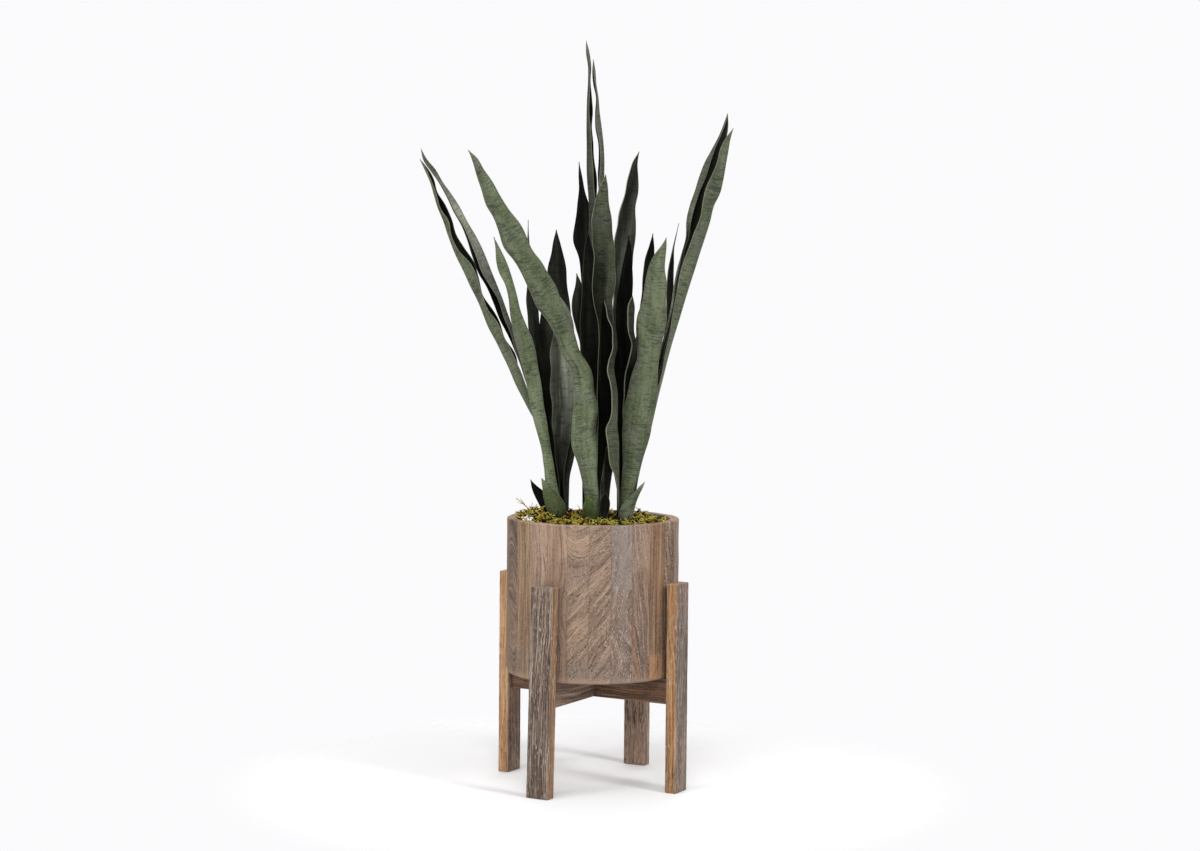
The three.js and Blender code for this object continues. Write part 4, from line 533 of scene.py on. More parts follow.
        (28, 79.3, 800.4, 42.4, 86.6, 796.7, 57.3, 79.3, 796.6),
        (29.6, 86, 826.6, 45.3, 93.7, 822.6, 61.5, 86, 822.5),
        (33.6, 92.7, 852.1, 47.2, 99.7, 848.3, 61.3, 92.7, 848.1),
        (39.5, 99.5, 876.8, 50, 105.2, 873.5, 61.1, 99.5, 873.2),
        (45.1, 106.3, 900.8, 54.8, 111.6, 897.6, 65, 106.3, 897.3),
        (50.4, 113, 923.9, 57.6, 117.2, 921.1, 65.2, 113, 920.7),
        (56.6, 119.4, 945.5, 60.2, 121.9, 943.4, 64.2, 119.4, 942.8),
        (66.5, 125, 961.7, 66.5, 125, 961.7, 66.5, 125, 961.7),
    ],
    "leaf_right_inner": [
        (36.3, 14, 388, 40.4, 15.8, 388, 44.6, 14, 388), (36.3, 14, 409.3, 40.4, 15.8, 409.5, 44.6, 14, 409.4),
        (36, 11.1, 437.3, 40.6, 13, 437.4, 45.2, 11.1, 437.3), (35.6, 8.8, 465, 40.7, 10.8, 465.1, 45.7, 8.8, 464.9),
        (34.9, 7.1, 492.3, 40.6, 9.3, 492.4, 46.3, 7.1, 492.2),
        (34.1, 5.8, 519.3, 40.6, 8.3, 519.3, 47.1, 5.8, 519.1), (33.4, 5.2, 546, 40.8, 7.9, 545.9, 48.2, 5.2, 545.8),
        (32.8, 5, 572.4, 41.2, 8, 572.2, 49.6, 5, 572), (32.2, 5.3, 598.4, 41.7, 8.6, 598.2, 51.2, 5.3, 598),
        (31.5, 6.2, 624.2, 42.1, 9.8, 623.7, 52.7, 6.2, 623.6), (30.9, 7.4, 649.5, 42.4, 11.3, 649, 54, 7.4, 648.9),
        (31, 9.2, 674.5, 43, 13.1, 673.8, 55.1, 9.2, 673.7), (31.8, 11.3, 699, 43.8, 15.2, 698.2, 55.7, 11.3, 698.2),
        (33.1, 13.8, 723, 44.6, 17.6, 722.2, 56.1, 13.8, 722.2),
        (35.1, 16.7, 746.4, 45.7, 20.3, 745.6, 56.3, 16.7, 745.6),
        (38.7, 19.8, 769, 47.5, 22.9, 768.2, 56.3, 19.8, 768.4),
        (43, 23.2, 790.5, 49.2, 25.6, 790, 55.5, 23.2, 790.3),
        (47.1, 26.8, 810.7, 50.4, 28.2, 810.5, 53.8, 26.8, 810.8), (50.3, 30, 828, 50.3, 30, 828, 50.3, 30, 828),
    ],
    "leaf_right_wavy_long": [
        (38.4, -7.5, 388, 40.4, -2, 388, 38.2, 3.5, 388), (38.4, -7.5, 405.3, 40.4, -2, 404.8, 38.2, 3.5, 404.2),
        (37.2, -18.5, 425.9, 39, -12.1, 425.1, 37.2, -5.7, 424.5),
        (36.1, -28.8, 446.2, 38.2, -21.5, 445.1, 35.8, -14.1, 444.4),
        (33, -38.3, 465.9, 37.6, -30.1, 464.9, 32.8, -21.9, 463.7),
        (25.3, -47.1, 484.1, 37.2, -38, 484.3, 27.4, -28.9, 482.4),
        (22, -55.1, 502.9, 36.8, -45.2, 503.4, 22.2, -35.3, 500.7),
        (20.1, -62.3, 522, 36, -51.6, 522.2, 17.4, -41, 519),
        (18.5, -68, 540.6, 33.8, -57.4, 540.7, 13.9, -46.9, 537.2),
        (23.5, -72.8, 558.4, 33.3, -62.5, 558.9, 11.2, -52.3, 555.3),
        (26.3, -76.9, 576.3, 33.5, -67, 576.9, 10.2, -57, 573.2),
        (26.3, -80.3, 594, 33.1, -70.8, 594.6, 9.8, -61.2, 590.9),
        (22.9, -83, 611.2, 30.8, -73.9, 611.8, 9.6, -64.9, 608.3),
        (18.5, -85, 628, 28.3, -76.5, 628.7, 9.4, -68.1, 625.4),
        (20.8, -86.2, 644.2, 28.6, -78.5, 645.3, 9.3, -70.8, 642.1),
        (27.1, -86.8, 659.6, 31.3, -79.9, 661.4, 9.2, -73, 658.5),
        (26.6, -86.7, 675.6, 30.1, -80.8, 677.4, 9.2, -74.9, 674.4),
        (24.4, -86, 690.9, 27, -81.2, 692.3, 9.3, -76.4, 689.8),
        (18.5, -84.6, 704.7, 20.9, -81.1, 705.8, 9.7, -77.7, 704.6),
        (16.3, -82.6, 718.6, 18.1, -80.7, 719.7, 10.6, -78.8, 718.5), (13, -80, 730, 13, -80, 730, 13, -80, 730),
    ],
    "leaf_right_wavy_short": [
        (45.6, 3.2, 388, 49.6, 7, 388, 45.1, 10.8, 388), (45.6, 3.2, 404.3, 49.6, 7, 404, 45.1, 10.8, 403.6),
        (44.8, -1.6, 430, 49.4, 2.9, 429.4, 44, 7.4, 429), (44.4, -6.2, 455.3, 49.2, -0.9, 454.5, 43, 4.5, 454.2),
        (44.1, -10.4, 480.3, 49.6, -4.3, 479.3, 42.1, 1.8, 479),
        (43.8, -14.3, 504.9, 50.6, -7.5, 503.8, 41.2, -0.7, 503.5),
        (43.8, -17.6, 529.2, 51.6, -10.3, 527.8, 40.4, -3.1, 527.7),
        (43.8, -20, 553.1, 52.7, -12.9, 551.6, 39.6, -5.8, 551.6),
        (43.9, -22, 576.6, 54.2, -15.2, 574.9, 39, -8.4, 575.1),
        (44.7, -23.6, 599.6, 56.1, -17.2, 597.8, 39, -10.7, 598.2),
        (46.8, -24.9, 622.1, 59.4, -18.9, 620.1, 40.2, -12.9, 620.8),
        (51.2, -25.8, 643.8, 61, -20.3, 642, 43.5, -14.9, 642.8),
        (56, -26.2, 664.8, 61.2, -21.5, 663.5, 46.3, -16.8, 664.1),
        (49.6, -26.3, 684.9, 57.7, -22.5, 684, 45.4, -18.6, 685),
        (48.9, -26, 705, 58, -23.2, 703.9, 46, -20.3, 705.1),
        (49.5, -25.3, 723.9, 59, -23.7, 722.5, 49.2, -22.1, 723.5),
        (55.9, -24, 738.2, 55.9, -24, 738.2, 55.9, -24, 738.2),
    ],
    "leaf_right_front_broad": [
        (42.2, -9, 388, 50.5, -12.6, 388, 58.8, -9, 388), (42.2, -9, 402.4, 50.5, -12.6, 402.1, 58.8, -9, 402.6),
        (41.3, -11.5, 426, 51.1, -15.6, 425.3, 60.8, -11.5, 425.6),
        (41.7, -14.4, 449.3, 53.4, -19.2, 448.1, 65.2, -14.4, 448.2),
        (43.6, -17.8, 472.4, 56, -22.7, 470.8, 68.4, -17.8, 470.7),
        (45.2, -21.5, 495.3, 59.2, -27, 493, 73.5, -21.5, 492.7),
        (43.3, -25.7, 518.1, 61.6, -32.4, 514.8, 80.2, -25.7, 514.1),
        (43, -30.2, 540.6, 64, -37.7, 536.5, 85.3, -30.2, 535.6),
        (44, -35.1, 562.9, 66.1, -42.8, 558.4, 88.5, -35.1, 557.4),
        (47.9, -40.3, 584.7, 70, -48.1, 579.8, 92.7, -40.3, 578.7),
        (52.5, -45.9, 606, 72.9, -53.2, 601.1, 93.9, -45.9, 600.1),
        (57.6, -51.9, 626.9, 75.7, -58.4, 622.3, 94.3, -51.9, 621.4),
        (63.5, -58.1, 647.3, 79, -63.9, 643, 95, -58.1, 642.2),
        (62.4, -64.6, 668.1, 79.8, -71, 663.2, 97.9, -64.6, 662.4),
        (60.9, -71.5, 688.8, 81.2, -78.6, 683, 102.4, -71.5, 682.2),
        (62.8, -78.5, 708.3, 83.7, -85.8, 702.4, 105.4, -78.5, 701.7),
        (68.7, -85.8, 727.2, 86, -92, 721.8, 104, -85.8, 721),
        (72.1, -93.2, 746, 87.5, -98.9, 740.8, 103.7, -93.2, 740),
        (74.5, -100.8, 764.5, 88.8, -106.2, 759.2, 104.1, -100.8, 758.3),
        (78.5, -108.5, 782, 89.4, -112.8, 777, 101.3, -108.5, 775.8),
        (85.7, -116.1, 797.4, 93.3, -119.4, 793.6, 101.7, -116.1, 792.7),
        (95.3, -123.5, 810.3, 98.9, -125.3, 808.6, 102.9, -123.5, 808.5),
        (102.4, -130, 821.9, 102.4, -130, 821.9, 102.4, -130, 821.9),
    ],
    "leaf_right_back": [
        (47.8, 22, 388, 52, 23.8, 388, 56.2, 22, 388), (47.8, 22, 408.6, 52, 23.8, 408.5, 56.2, 22, 408.7),
        (48.6, 23.9, 436.6, 53.6, 26, 436.4, 58.7, 23.9, 436.6),
        (49.8, 26.3, 464.3, 55.8, 28.7, 464, 61.7, 26.3, 464.1),
        (51.5, 29.1, 491.8, 58.4, 31.8, 491.3, 65.3, 29.1, 491.4),
        (53.8, 32.2, 519, 61.6, 35.2, 518.3, 69.4, 32.2, 518.3),
        (56.4, 35.8, 545.9, 64.7, 39, 545.1, 73.1, 35.8, 545.1),
        (58.4, 39.8, 572.5, 67.5, 43, 571.6, 76.7, 39.8, 571.6),
        (59.5, 44.1, 598.9, 69.9, 47.5, 597.8, 80.3, 44.1, 597.8),
        (59.5, 48.7, 625, 71.6, 52.3, 623.8, 83.9, 48.7, 623.8),
        (60.5, 53.7, 650.9, 73.8, 57.4, 649.4, 87.2, 53.7, 649.5),
        (64.5, 59, 676.3, 77.1, 62.7, 674.8, 90, 59, 674.9), (68.8, 64.6, 701.4, 80.2, 68.4, 699.8, 91.8, 64.6, 700),
        (70.4, 70.3, 726.2, 81.6, 74.2, 724.5, 92.9, 70.3, 724.7),
        (72.5, 76.3, 750.3, 82.6, 79.9, 748.7, 92.8, 76.3, 748.8),
        (73.7, 82.4, 773.8, 83.1, 85.8, 772.2, 92.7, 82.4, 772.4),
        (77.3, 88.6, 796.2, 84.2, 91.2, 794.8, 91.1, 88.6, 795),
        (83.3, 94.6, 816.7, 86.9, 96.2, 816.1, 90.6, 94.6, 816.3),
        (88.6, 100, 834.2, 88.6, 100, 834.2, 88.6, 100, 834.2),
    ],
    "leaf_right_back_spike": [
        (52, 29, 388, 55.8, 30.7, 388, 59.7, 29, 388), (52, 29, 408.5, 55.8, 30.7, 408.4, 59.7, 29, 408.6),
        (56, 30.3, 437.6, 59.4, 33.5, 437.4, 64, 34, 437.2),
        (58.5, 32.2, 466.2, 62.2, 37.1, 465.8, 67.8, 39.4, 465.3),
        (64.7, 34.8, 494.5, 68, 41.2, 494.1, 74.1, 45.1, 493.4),
        (73.3, 35.7, 522.6, 76.3, 43.5, 522.1, 82.6, 48.8, 521.3),
        (80.2, 37.5, 550.3, 83, 46.3, 549.8, 89.6, 52.8, 549),
        (87.5, 40, 577.8, 90.1, 49.6, 577.3, 96.8, 56.9, 576.5),
        (94, 43.3, 605.1, 96.6, 53.4, 604.6, 103.5, 61.1, 603.8),
        (100.2, 47.9, 632.1, 102.7, 58.1, 631.6, 109.6, 65.9, 631),
        (103.9, 53.4, 658.9, 106.5, 63.3, 658.4, 113.3, 70.9, 657.9),
        (106.9, 60.4, 685.5, 109.7, 69.8, 684.9, 116.6, 76.9, 684.5),
        (108.9, 68, 711.8, 112, 76.8, 711.1, 118.8, 83, 710.8),
        (110, 76.3, 737.7, 113.4, 84, 736.9, 120.2, 89.2, 736.8),
        (111.3, 85, 763, 114.8, 91.5, 762.3, 121.1, 95.5, 762.2),
        (114.2, 94, 787.6, 116.8, 98.9, 787, 121.6, 101.8, 786.9),
        (120, 103.1, 810.8, 120.1, 105.9, 810.8, 121.8, 108.2, 810.7),
        (124.9, 112.1, 832.8, 125, 113.4, 832.8, 125.9, 114.4, 832.7),
        (129.5, 120, 851.6, 129.5, 120, 851.6, 129.5, 120, 851.6),
    ],
    "leaf_right_tall_inner": [
        (55.1, 1, 388, 52.7, 8, 388, 56.1, 15, 388), (55.1, 1, 407.7, 52.7, 8, 407, 56.1, 15, 406.3),
        (57, 0.6, 435.7, 54, 8.5, 435.2, 58, 16.4, 434.3), (61.1, 0.5, 463.4, 56.6, 9.2, 463.1, 62.2, 18, 462.1),
        (66.2, 0.5, 490.8, 60.9, 10.1, 490.6, 67.4, 19.8, 489.4),
        (72.7, 0.6, 517.8, 66.4, 11.2, 517.8, 74, 21.7, 516.5), (78.7, 1, 544.5, 72.3, 12.4, 544.8, 80, 23.7, 543.3),
        (84.7, 1.6, 571, 78.4, 13.7, 571.5, 86, 25.9, 569.9), (91.2, 2.3, 597.2, 85, 15.2, 597.8, 92.7, 28.2, 596.2),
        (98, 3.3, 623.1, 92, 16.9, 623.9, 99.5, 30.5, 622.3), (104.4, 5.3, 648.8, 99, 18.7, 649.7, 106, 32.2, 648.3),
        (110.8, 7.5, 674.4, 105.5, 20.7, 675.5, 112.7, 33.9, 674),
        (116.7, 9.9, 699.9, 111.4, 22.8, 701.3, 119.9, 35.8, 699.4),
        (121.7, 12.4, 725.3, 116.4, 25.1, 727, 126.9, 37.7, 724.6),
        (125.8, 15.2, 750.7, 120.6, 27.4, 752.6, 132.9, 39.6, 749.8),
        (129.4, 18.2, 776, 125.7, 29.9, 777.8, 138.9, 41.7, 774.7),
        (134.9, 21.3, 800.6, 132.3, 32.5, 802.3, 145.3, 43.8, 799.3),
        (140.4, 24.6, 824.9, 138.8, 35.2, 826.7, 153.4, 45.9, 823.1),
        (144.1, 28.2, 849.3, 140, 38.1, 851.3, 160.7, 48, 846.8),
        (149.5, 31.9, 873.1, 145.2, 41, 875, 167.3, 50.1, 870.3),
        (157.3, 35.8, 895.8, 153, 44, 897.8, 174.2, 52.2, 893.4),
        (165.9, 39.8, 917.7, 159.6, 47, 920.6, 181, 54.3, 915.9),
        (173, 44, 939.7, 167.7, 50.1, 942.2, 188, 56.3, 937.8),
        (180.3, 48.4, 960.9, 178, 53.3, 962.2, 193.5, 58.2, 959.5),
        (188.5, 52.9, 980.9, 187.6, 56.4, 981.6, 198.6, 59.9, 980.3),
        (195.9, 57.4, 999.6, 194.4, 59.4, 1000.8, 201, 61.3, 1000.2),
        (199.8, 62, 1016.6, 199.8, 62, 1016.6, 199.8, 62, 1016.6),
    ],
    "leaf_right_tall_outer": [
        (57.4, 1.5, 388, 59.8, 8, 388, 58.6, 14.5, 388), (57.4, 1.5, 407.7, 59.8, 8, 407.1, 58.6, 14.5, 406.4),
        (60.2, -0.7, 435, 63, 6.6, 434.3, 61.4, 13.9, 433.8), (64.8, -2.7, 462, 67, 5.4, 461.2, 66, 13.6, 460.7),
        (70.3, -4.4, 488.6, 72.7, 4.5, 487.7, 71.6, 13.5, 487.3),
        (76.5, -5.9, 515, 80.1, 3.9, 513.9, 77.8, 13.6, 513.7), (82.4, -7.1, 541, 86.2, 3.4, 539.8, 83.8, 14, 539.7),
        (88.3, -8.1, 566.7, 92, 3.2, 565.5, 89.8, 14.5, 565.5),
        (94.2, -8.8, 592.2, 97.8, 3.2, 590.9, 95.7, 15.2, 591.1), (100, -9.2, 617.4, 104, 3.5, 616, 102, 16.1, 616.4),
        (104.7, -8.6, 642.7, 109.4, 3.9, 641, 108.4, 16.4, 641.4),
        (109.5, -7.7, 667.7, 115.5, 4.6, 665.7, 113.2, 16.8, 666.6),
        (114.1, -6.6, 692.5, 122.4, 5.4, 690, 117.8, 17.5, 691.6),
        (118.4, -5.2, 717.2, 129.5, 6.5, 713.9, 122.1, 18.2, 716.4),
        (122.2, -3.6, 741.7, 136.6, 7.8, 737.6, 126, 19.1, 741.1),
        (126.5, -1.7, 765.9, 144, 9.2, 761, 130.2, 20.2, 765.5),
        (132.7, 0.5, 789.4, 151.3, 10.9, 784.1, 136.3, 21.3, 789),
        (140.7, 2.8, 812.1, 158.3, 12.7, 807, 144.3, 22.6, 811.9),
        (149, 5.5, 834.4, 165.4, 14.7, 829.6, 152.5, 23.9, 834.2),
        (157.4, 8.3, 856.3, 172, 16.8, 851.9, 161.1, 25.3, 856.2),
        (160.6, 11.4, 879.1, 177.3, 19.1, 874.3, 164.2, 26.7, 879),
        (166, 14.7, 901, 186.8, 21.4, 894.7, 169.5, 28.2, 901),
        (175, 18.3, 921.4, 191.6, 24, 916.1, 178.2, 29.6, 921.3),
        (182.5, 22, 941.3, 195.3, 26.5, 937.2, 185.8, 31.1, 941),
        (187.5, 25.9, 961.4, 199.1, 29.1, 957.3, 190.6, 32.4, 961.1),
        (196.6, 29.9, 978.8, 202.6, 31.7, 976.2, 198.4, 33.5, 978.8),
        (206.8, 34, 992, 206.8, 34, 992, 207.7, 34, 992),
    ],
    "sprout_left_dark": [
        (-76.4, 24, 388, -73.4, 25.5, 388, -70.3, 24, 388), (-76.4, 24, 407.3, -73.4, 25.5, 407.4, -70.3, 24, 407.4),
        (-80.8, 23.2, 416.2, -76.5, 25.2, 417.4, -72.1, 23.2, 418.1),
        (-85.2, 21.7, 424.9, -79.7, 24.2, 427.3, -73.9, 21.7, 428.8),
        (-89.3, 19.4, 433.4, -82.9, 22.3, 437, -75.8, 19.4, 439.1),
        (-92.6, 16.6, 442, -88.1, 18.7, 444.3, -83.1, 16.6, 445.3),
        (-94.4, 13.3, 450.4, -92.3, 14.4, 451.4, -90, 13.3, 451.6),
        (-95.2, 10, 457.8, -95.2, 10, 457.8, -95.2, 10, 457.8),
    ],
    "sprout_left_curled": [
        (-65.3, 2, 388, -54.7, -2.8, 388, -44.1, 2, 388), (-65.3, 2, 405, -54.7, -2.8, 403.8, -44.1, 2, 403.6),
        (-69.7, 1, 413.2, -55.8, -5, 413.4, -41.9, 1, 415), (-72.8, -0.3, 421.8, -58.8, -6.2, 423, -45, -0.3, 425.8),
        (-74.9, -1.7, 430.5, -62.9, -6.9, 431.7, -51.2, -1.7, 434.6),
        (-76, -3.2, 439.1, -67.2, -7.2, 440, -58.7, -3.2, 442.3),
        (-76.7, -4.8, 447.4, -71.2, -7.6, 447.9, -65.9, -4.8, 449.5),
        (-77.9, -6.5, 455.2, -74.8, -8.2, 455.7, -72, -6.5, 456.9),
        (-78.4, -8, 461.8, -78.4, -8, 461.8, -78.4, -8, 461.8),
    ],
    "sprout_centre_front": [
        (-12.8, -47, 388, -3.5, -51.1, 388, 5.9, -47, 388), (-12.8, -47, 404.2, -3.5, -51.1, 403, 5.9, -47, 402.8),
        (-14.9, -48, 411, -4.1, -52, 410.3, 6.7, -48, 410.7),
        (-15.6, -49.1, 417.8, -5.2, -52.9, 417.4, 5.1, -49.1, 418.2),
        (-14.6, -50.3, 424.3, -6, -53.6, 424.2, 2.6, -50.3, 425.2),
        (-12.9, -51.5, 430.5, -6.8, -54, 430.5, -0.8, -51.5, 431.6),
        (-11, -52.8, 436.2, -7.8, -54.3, 436.2, -4.8, -52.8, 436.9),
        (-8.9, -54, 440.9, -8.9, -54, 440.9, -8.9, -54, 440.9),
    ],
    "sprout_centre_right": [
        (10.5, -46, 388, 15.7, -44, 388, 20.8, -46, 388), (10.5, -46, 408.8, 15.7, -44, 408.3, 20.8, -46, 407.4),
        (9.6, -46.6, 415.6, 16.4, -43.9, 415.1, 23.2, -46.6, 414.3),
        (9.4, -46.9, 422.2, 16.9, -44, 421.8, 24.5, -46.9, 421.3),
        (9.6, -47, 428.5, 17.3, -44, 428.3, 25, -47, 428.1),
        (11.4, -46.8, 434.6, 17.7, -44.3, 434.5, 23.8, -46.8, 434.7),
        (14.6, -46.5, 439.8, 17.9, -44.8, 439.8, 21.2, -46.5, 440),
        (17.4, -46, 443.9, 17.4, -46, 443.9, 17.4, -46, 443.9),
    ],
    "sprout_right_curled": [
        (39.8, -17, 388, 49.2, -21.1, 388, 58.6, -17, 388), (39.8, -17, 403.2, 49.2, -21.1, 402.9, 58.6, -17, 403.4),
        (39.8, -17.8, 414.1, 50.4, -21.8, 412.8, 61, -17.8, 412.3),
        (44.8, -19.3, 424, 53.8, -22.8, 422, 63.1, -19.3, 421.2),
        (51.1, -21.4, 432.4, 58.1, -24.3, 430.4, 65.4, -21.4, 429.9),
        (58.2, -24.1, 440, 63.2, -26.2, 438.3, 68.4, -24.1, 438.1),
        (65.1, -27.2, 447, 68.3, -28.7, 445.8, 71.7, -27.2, 445.8),
        (71, -30.7, 454.1, 72.9, -31.6, 453.1, 75, -30.7, 453),
        (76.8, -34, 459.5, 76.8, -34, 459.5, 76.8, -34, 459.5),
    ],
}


def clean_rows(name):
    """Rows at an even spacing, as smooth curves through the traced ones: n by 9, mm from the pot's axis."""
    rows = np.array(LEAVES[name], float)
    keel = rows[:, 3:6]
    d = np.r_[0, np.cumsum(np.linalg.norm(np.diff(keel, axis=0), axis=1))]
    keep = np.r_[True, np.diff(d) > 1e-6]
    rows, d = rows[keep], d[keep]
    length = d[-1]
    n = max(24, int(round(length / 4.0)))
    t = np.linspace(0, length, n + 1)
    tan = np.gradient(rows, d, axis=0)
    i = np.clip(np.searchsorted(d, t, side="right") - 1, 0, len(d) - 2)
    h = (d[i + 1] - d[i])[:, None]
    u = ((t - d[i])[:, None]) / h
    h00, h10 = 2 * u ** 3 - 3 * u ** 2 + 1, u ** 3 - 2 * u ** 2 + u
    h01, h11 = -2 * u ** 3 + 3 * u ** 2, u ** 3 - u ** 2
    out = h00 * rows[i] + h10 * h * tan[i] + h01 * rows[i + 1] + h11 * h * tan[i + 1]
    return out, t


ACROSS = 14
# how light each blade is near its tip, at a third, at two thirds and at its foot: 1 is the front blades' green; this is
# painted light and shade, darker where a blade sits in its neighbours' shade and lighter at painted highlights where it
# turns to the light.
# a blade that turns on its way down has pairs instead: how far down from the tip, and how light
OUTER_TONE_AND_LIGHT = {
    "leaf_left_tall_outer": (1.0, 0.88, 0.9, 0.85),
    "leaf_left_tall_inner": ((0.05, 0.5), (0.17, 1.5), (0.3, 0.85), (0.45, 0.5), (0.6, 0.2)),
    "leaf_centre_tall_left": (0.6, 0.3, 0.2, 0.2), "leaf_centre_tall_right": (0.58, 0.62, 0.4, 0.4),
    "leaf_front_diagonal": ((0.05, 1.0), (0.3, 0.85), (0.5, 0.8), (0.7, 1.05), (0.95, 0.95)),
    "leaf_left_front": (1.4, 0.95, 1.35, 1.75), "leaf_centre_front": ((0.05, 0.6), (0.29, 0.1), (0.48, 0.12), (0.65, 0.01), (0.9, 0.03)),
    "leaf_right_tall_inner": ((0.05, 0.55), (0.2, 0.8), (0.3, 1.3), (0.5, 1.6), (0.58, 0.3), (0.7, 0.2)),
    "leaf_right_tall_outer": (0.6, 0.75, 0.8, 0.8),
    "leaf_right_front_broad": (1.0, 0.9, 0.9, 0.95), "leaf_right_wavy_long": (0.02, 0.35, 0.6, 0.6),
    "leaf_right_wavy_short": (0.3, 0.03, 0.02, 0.02), "sprout_centre_front": (1.05, 0.75, 0.5, 0.4),
    "sprout_left_curled": (0.9, 0.9, 0.8, 0.7), "sprout_right_curled": (1.4, 1.1, 1.1, 1.0), "sprout_left_dark": (0.12, 0.1, 0.1, 0.1),
    "sprout_centre_right": (0.3, 0.2, 0.2, 0.15),
}
# and its hollow side, with painted light and shade too: 1 is a mid grey-green, the blades deep in the clumps are
# painted near-black as shade
INNER_TONE_AND_LIGHT = {
    "leaf_centre_back_left": (0.12, 0.01, 0.01, 0.01), "leaf_centre_back_right": (0.2, 0.5, 0.2, 0.3),
    "leaf_centre_short_left": (0.22, 0.02, 0.02, 0.02), "leaf_left_back_broad": (0.14, 0.2, 0.1, 0.5),
    "leaf_left_back_spike": (0.3, 0.3, 0.1, 0.05), "leaf_left_middle": ((0.05, 2.2), (0.3, 2.8), (0.5, 1.5), (0.68, 0.35), (0.9, 0.03)), "leaf_right_back_spike": (0.1, 0.1, 0.1, 0.1),
    "leaf_right_inner": (0.05, 0.03, 0.03, 0.03), "leaf_right_wavy_long": (0.02, 0.02, 0.02, 0.02),
    "leaf_right_wavy_short": (0.04, 0.04, 0.04, 0.04), "sprout_left_dark": (0.12, 0.1, 0.1, 0.1),
    "sprout_centre_right": (0.15, 0.12, 0.1, 0.12),
    # these turn their hollow side to the back of the pot
    "leaf_front_diagonal": (0.6, 0.6, 0.5, 0.35), "leaf_left_front": (0.5, 0.5, 0.4, 0.3),
    "leaf_right_front_broad": (0.5, 0.5, 0.4, 0.3),
}
# blades deep in the clumps: they take a shaded copy of the banded material, with no sheen, and no dry tips
DEEP_SHADED = ("leaf_centre_front", "leaf_right_wavy_short", "leaf_centre_inner", "leaf_right_inner", "leaf_centre_back_left",
        "leaf_centre_back_right", "leaf_centre_short_left", "leaf_left_back_broad", "leaf_left_back_spike", "leaf_right_back",
        "sprout_left_dark", "sprout_centre_right")
# how pale the thin margins are, first and second: partly the blade's own pale rim, partly a painted highlight where an
# edge catches the light
MARGIN = {
    "leaf_centre_front": (0.75, 0.35), "leaf_right_wavy_long": (0.6, 0.0), "leaf_right_wavy_short": (0.6, 0.0),
    "leaf_left_middle": (0.15, 0.2), "leaf_centre_inner": (0.1, 0.2), "leaf_centre_back_left": (0.0, 0.0),
    "leaf_centre_back_right": (0.9, 0.05), "leaf_right_inner": (0.0, 0.0), "leaf_left_back_broad": (0.0, 0.0),
    "leaf_left_back_spike": (0.0, 0.0), "sprout_left_curled": (0.1, 0.6), "sprout_right_curled": (0.2, 0.8),
    "sprout_centre_right": (0.1, 0.1), "sprout_left_dark": (0.05, 0.05), "sprout_centre_front": (0.1, 0.1),
}
# how much greyer than green, how fresh and how dry at the tip
GREY = {
    "leaf_left_tall_inner": 0.7, "leaf_centre_tall_right": 0.7, "leaf_centre_tall_left": 0.5, "leaf_right_tall_inner": 0.5,
    "leaf_centre_front": 0.3, "leaf_right_wavy_long": 0.3, "leaf_right_wavy_short": 0.5, "leaf_right_tall_outer": 0.1,
    "leaf_left_tall_outer": 0.15, "sprout_right_curled": 0.3,
}
FRESH = {"sprout_left_curled": 0.6, "sprout_centre_front": 1.0, "sprout_right_curled": 0.15, "sprout_centre_right": 0.4, "sprout_left_dark": 0.3}
DRY = {"sprout_left_curled": 0.6, "sprout_right_curled": 0.7, "sprout_centre_front": 0.0, "sprout_left_dark": 0.0, "sprout_centre_right": 0.0,
       "leaf_right_wavy_long": 0.0, "leaf_right_wavy_short": 0.0, "leaf_right_back_spike": 0.0, "leaf_centre_front": 0.05}
# parts of an outer face that are in shade or in the light: heights, how far across, tone
SHADE = {
    "leaf_centre_front": [(715, 850, 0.62, 1.2, 0.42)],
    "leaf_right_tall_inner": [(560, 800, -0.2, 0.15, 0.02), (765, 845, -0.2, 0.19, 0.02)],
    "leaf_right_front_broad": [(650, 690, -0.2, 0.09, 0.12), (420, 460, 0.82, 1.2, 0.12)],
}
EDGE_WAVE = {"leaf_right_wavy_long": 2.2, "leaf_right_wavy_short": 2.4, "leaf_left_middle": 2.0, "leaf_front_diagonal": 1.6,
             "leaf_right_front_broad": 0.6}


def tone_along(z, values):
    """A blade's tone with its painted light and shade, at heights z, from the values near the tip, at a third, at two
    thirds and at the foot over the moss.
    """
    frac = (z.max() - z) / max(z.max() - 405.0, 1.0)
    where, what = zip(*values) if isinstance(values[0], tuple) else ((0.05, 0.35, 0.65, 0.95), values)
    return np.interp(frac, where, what)


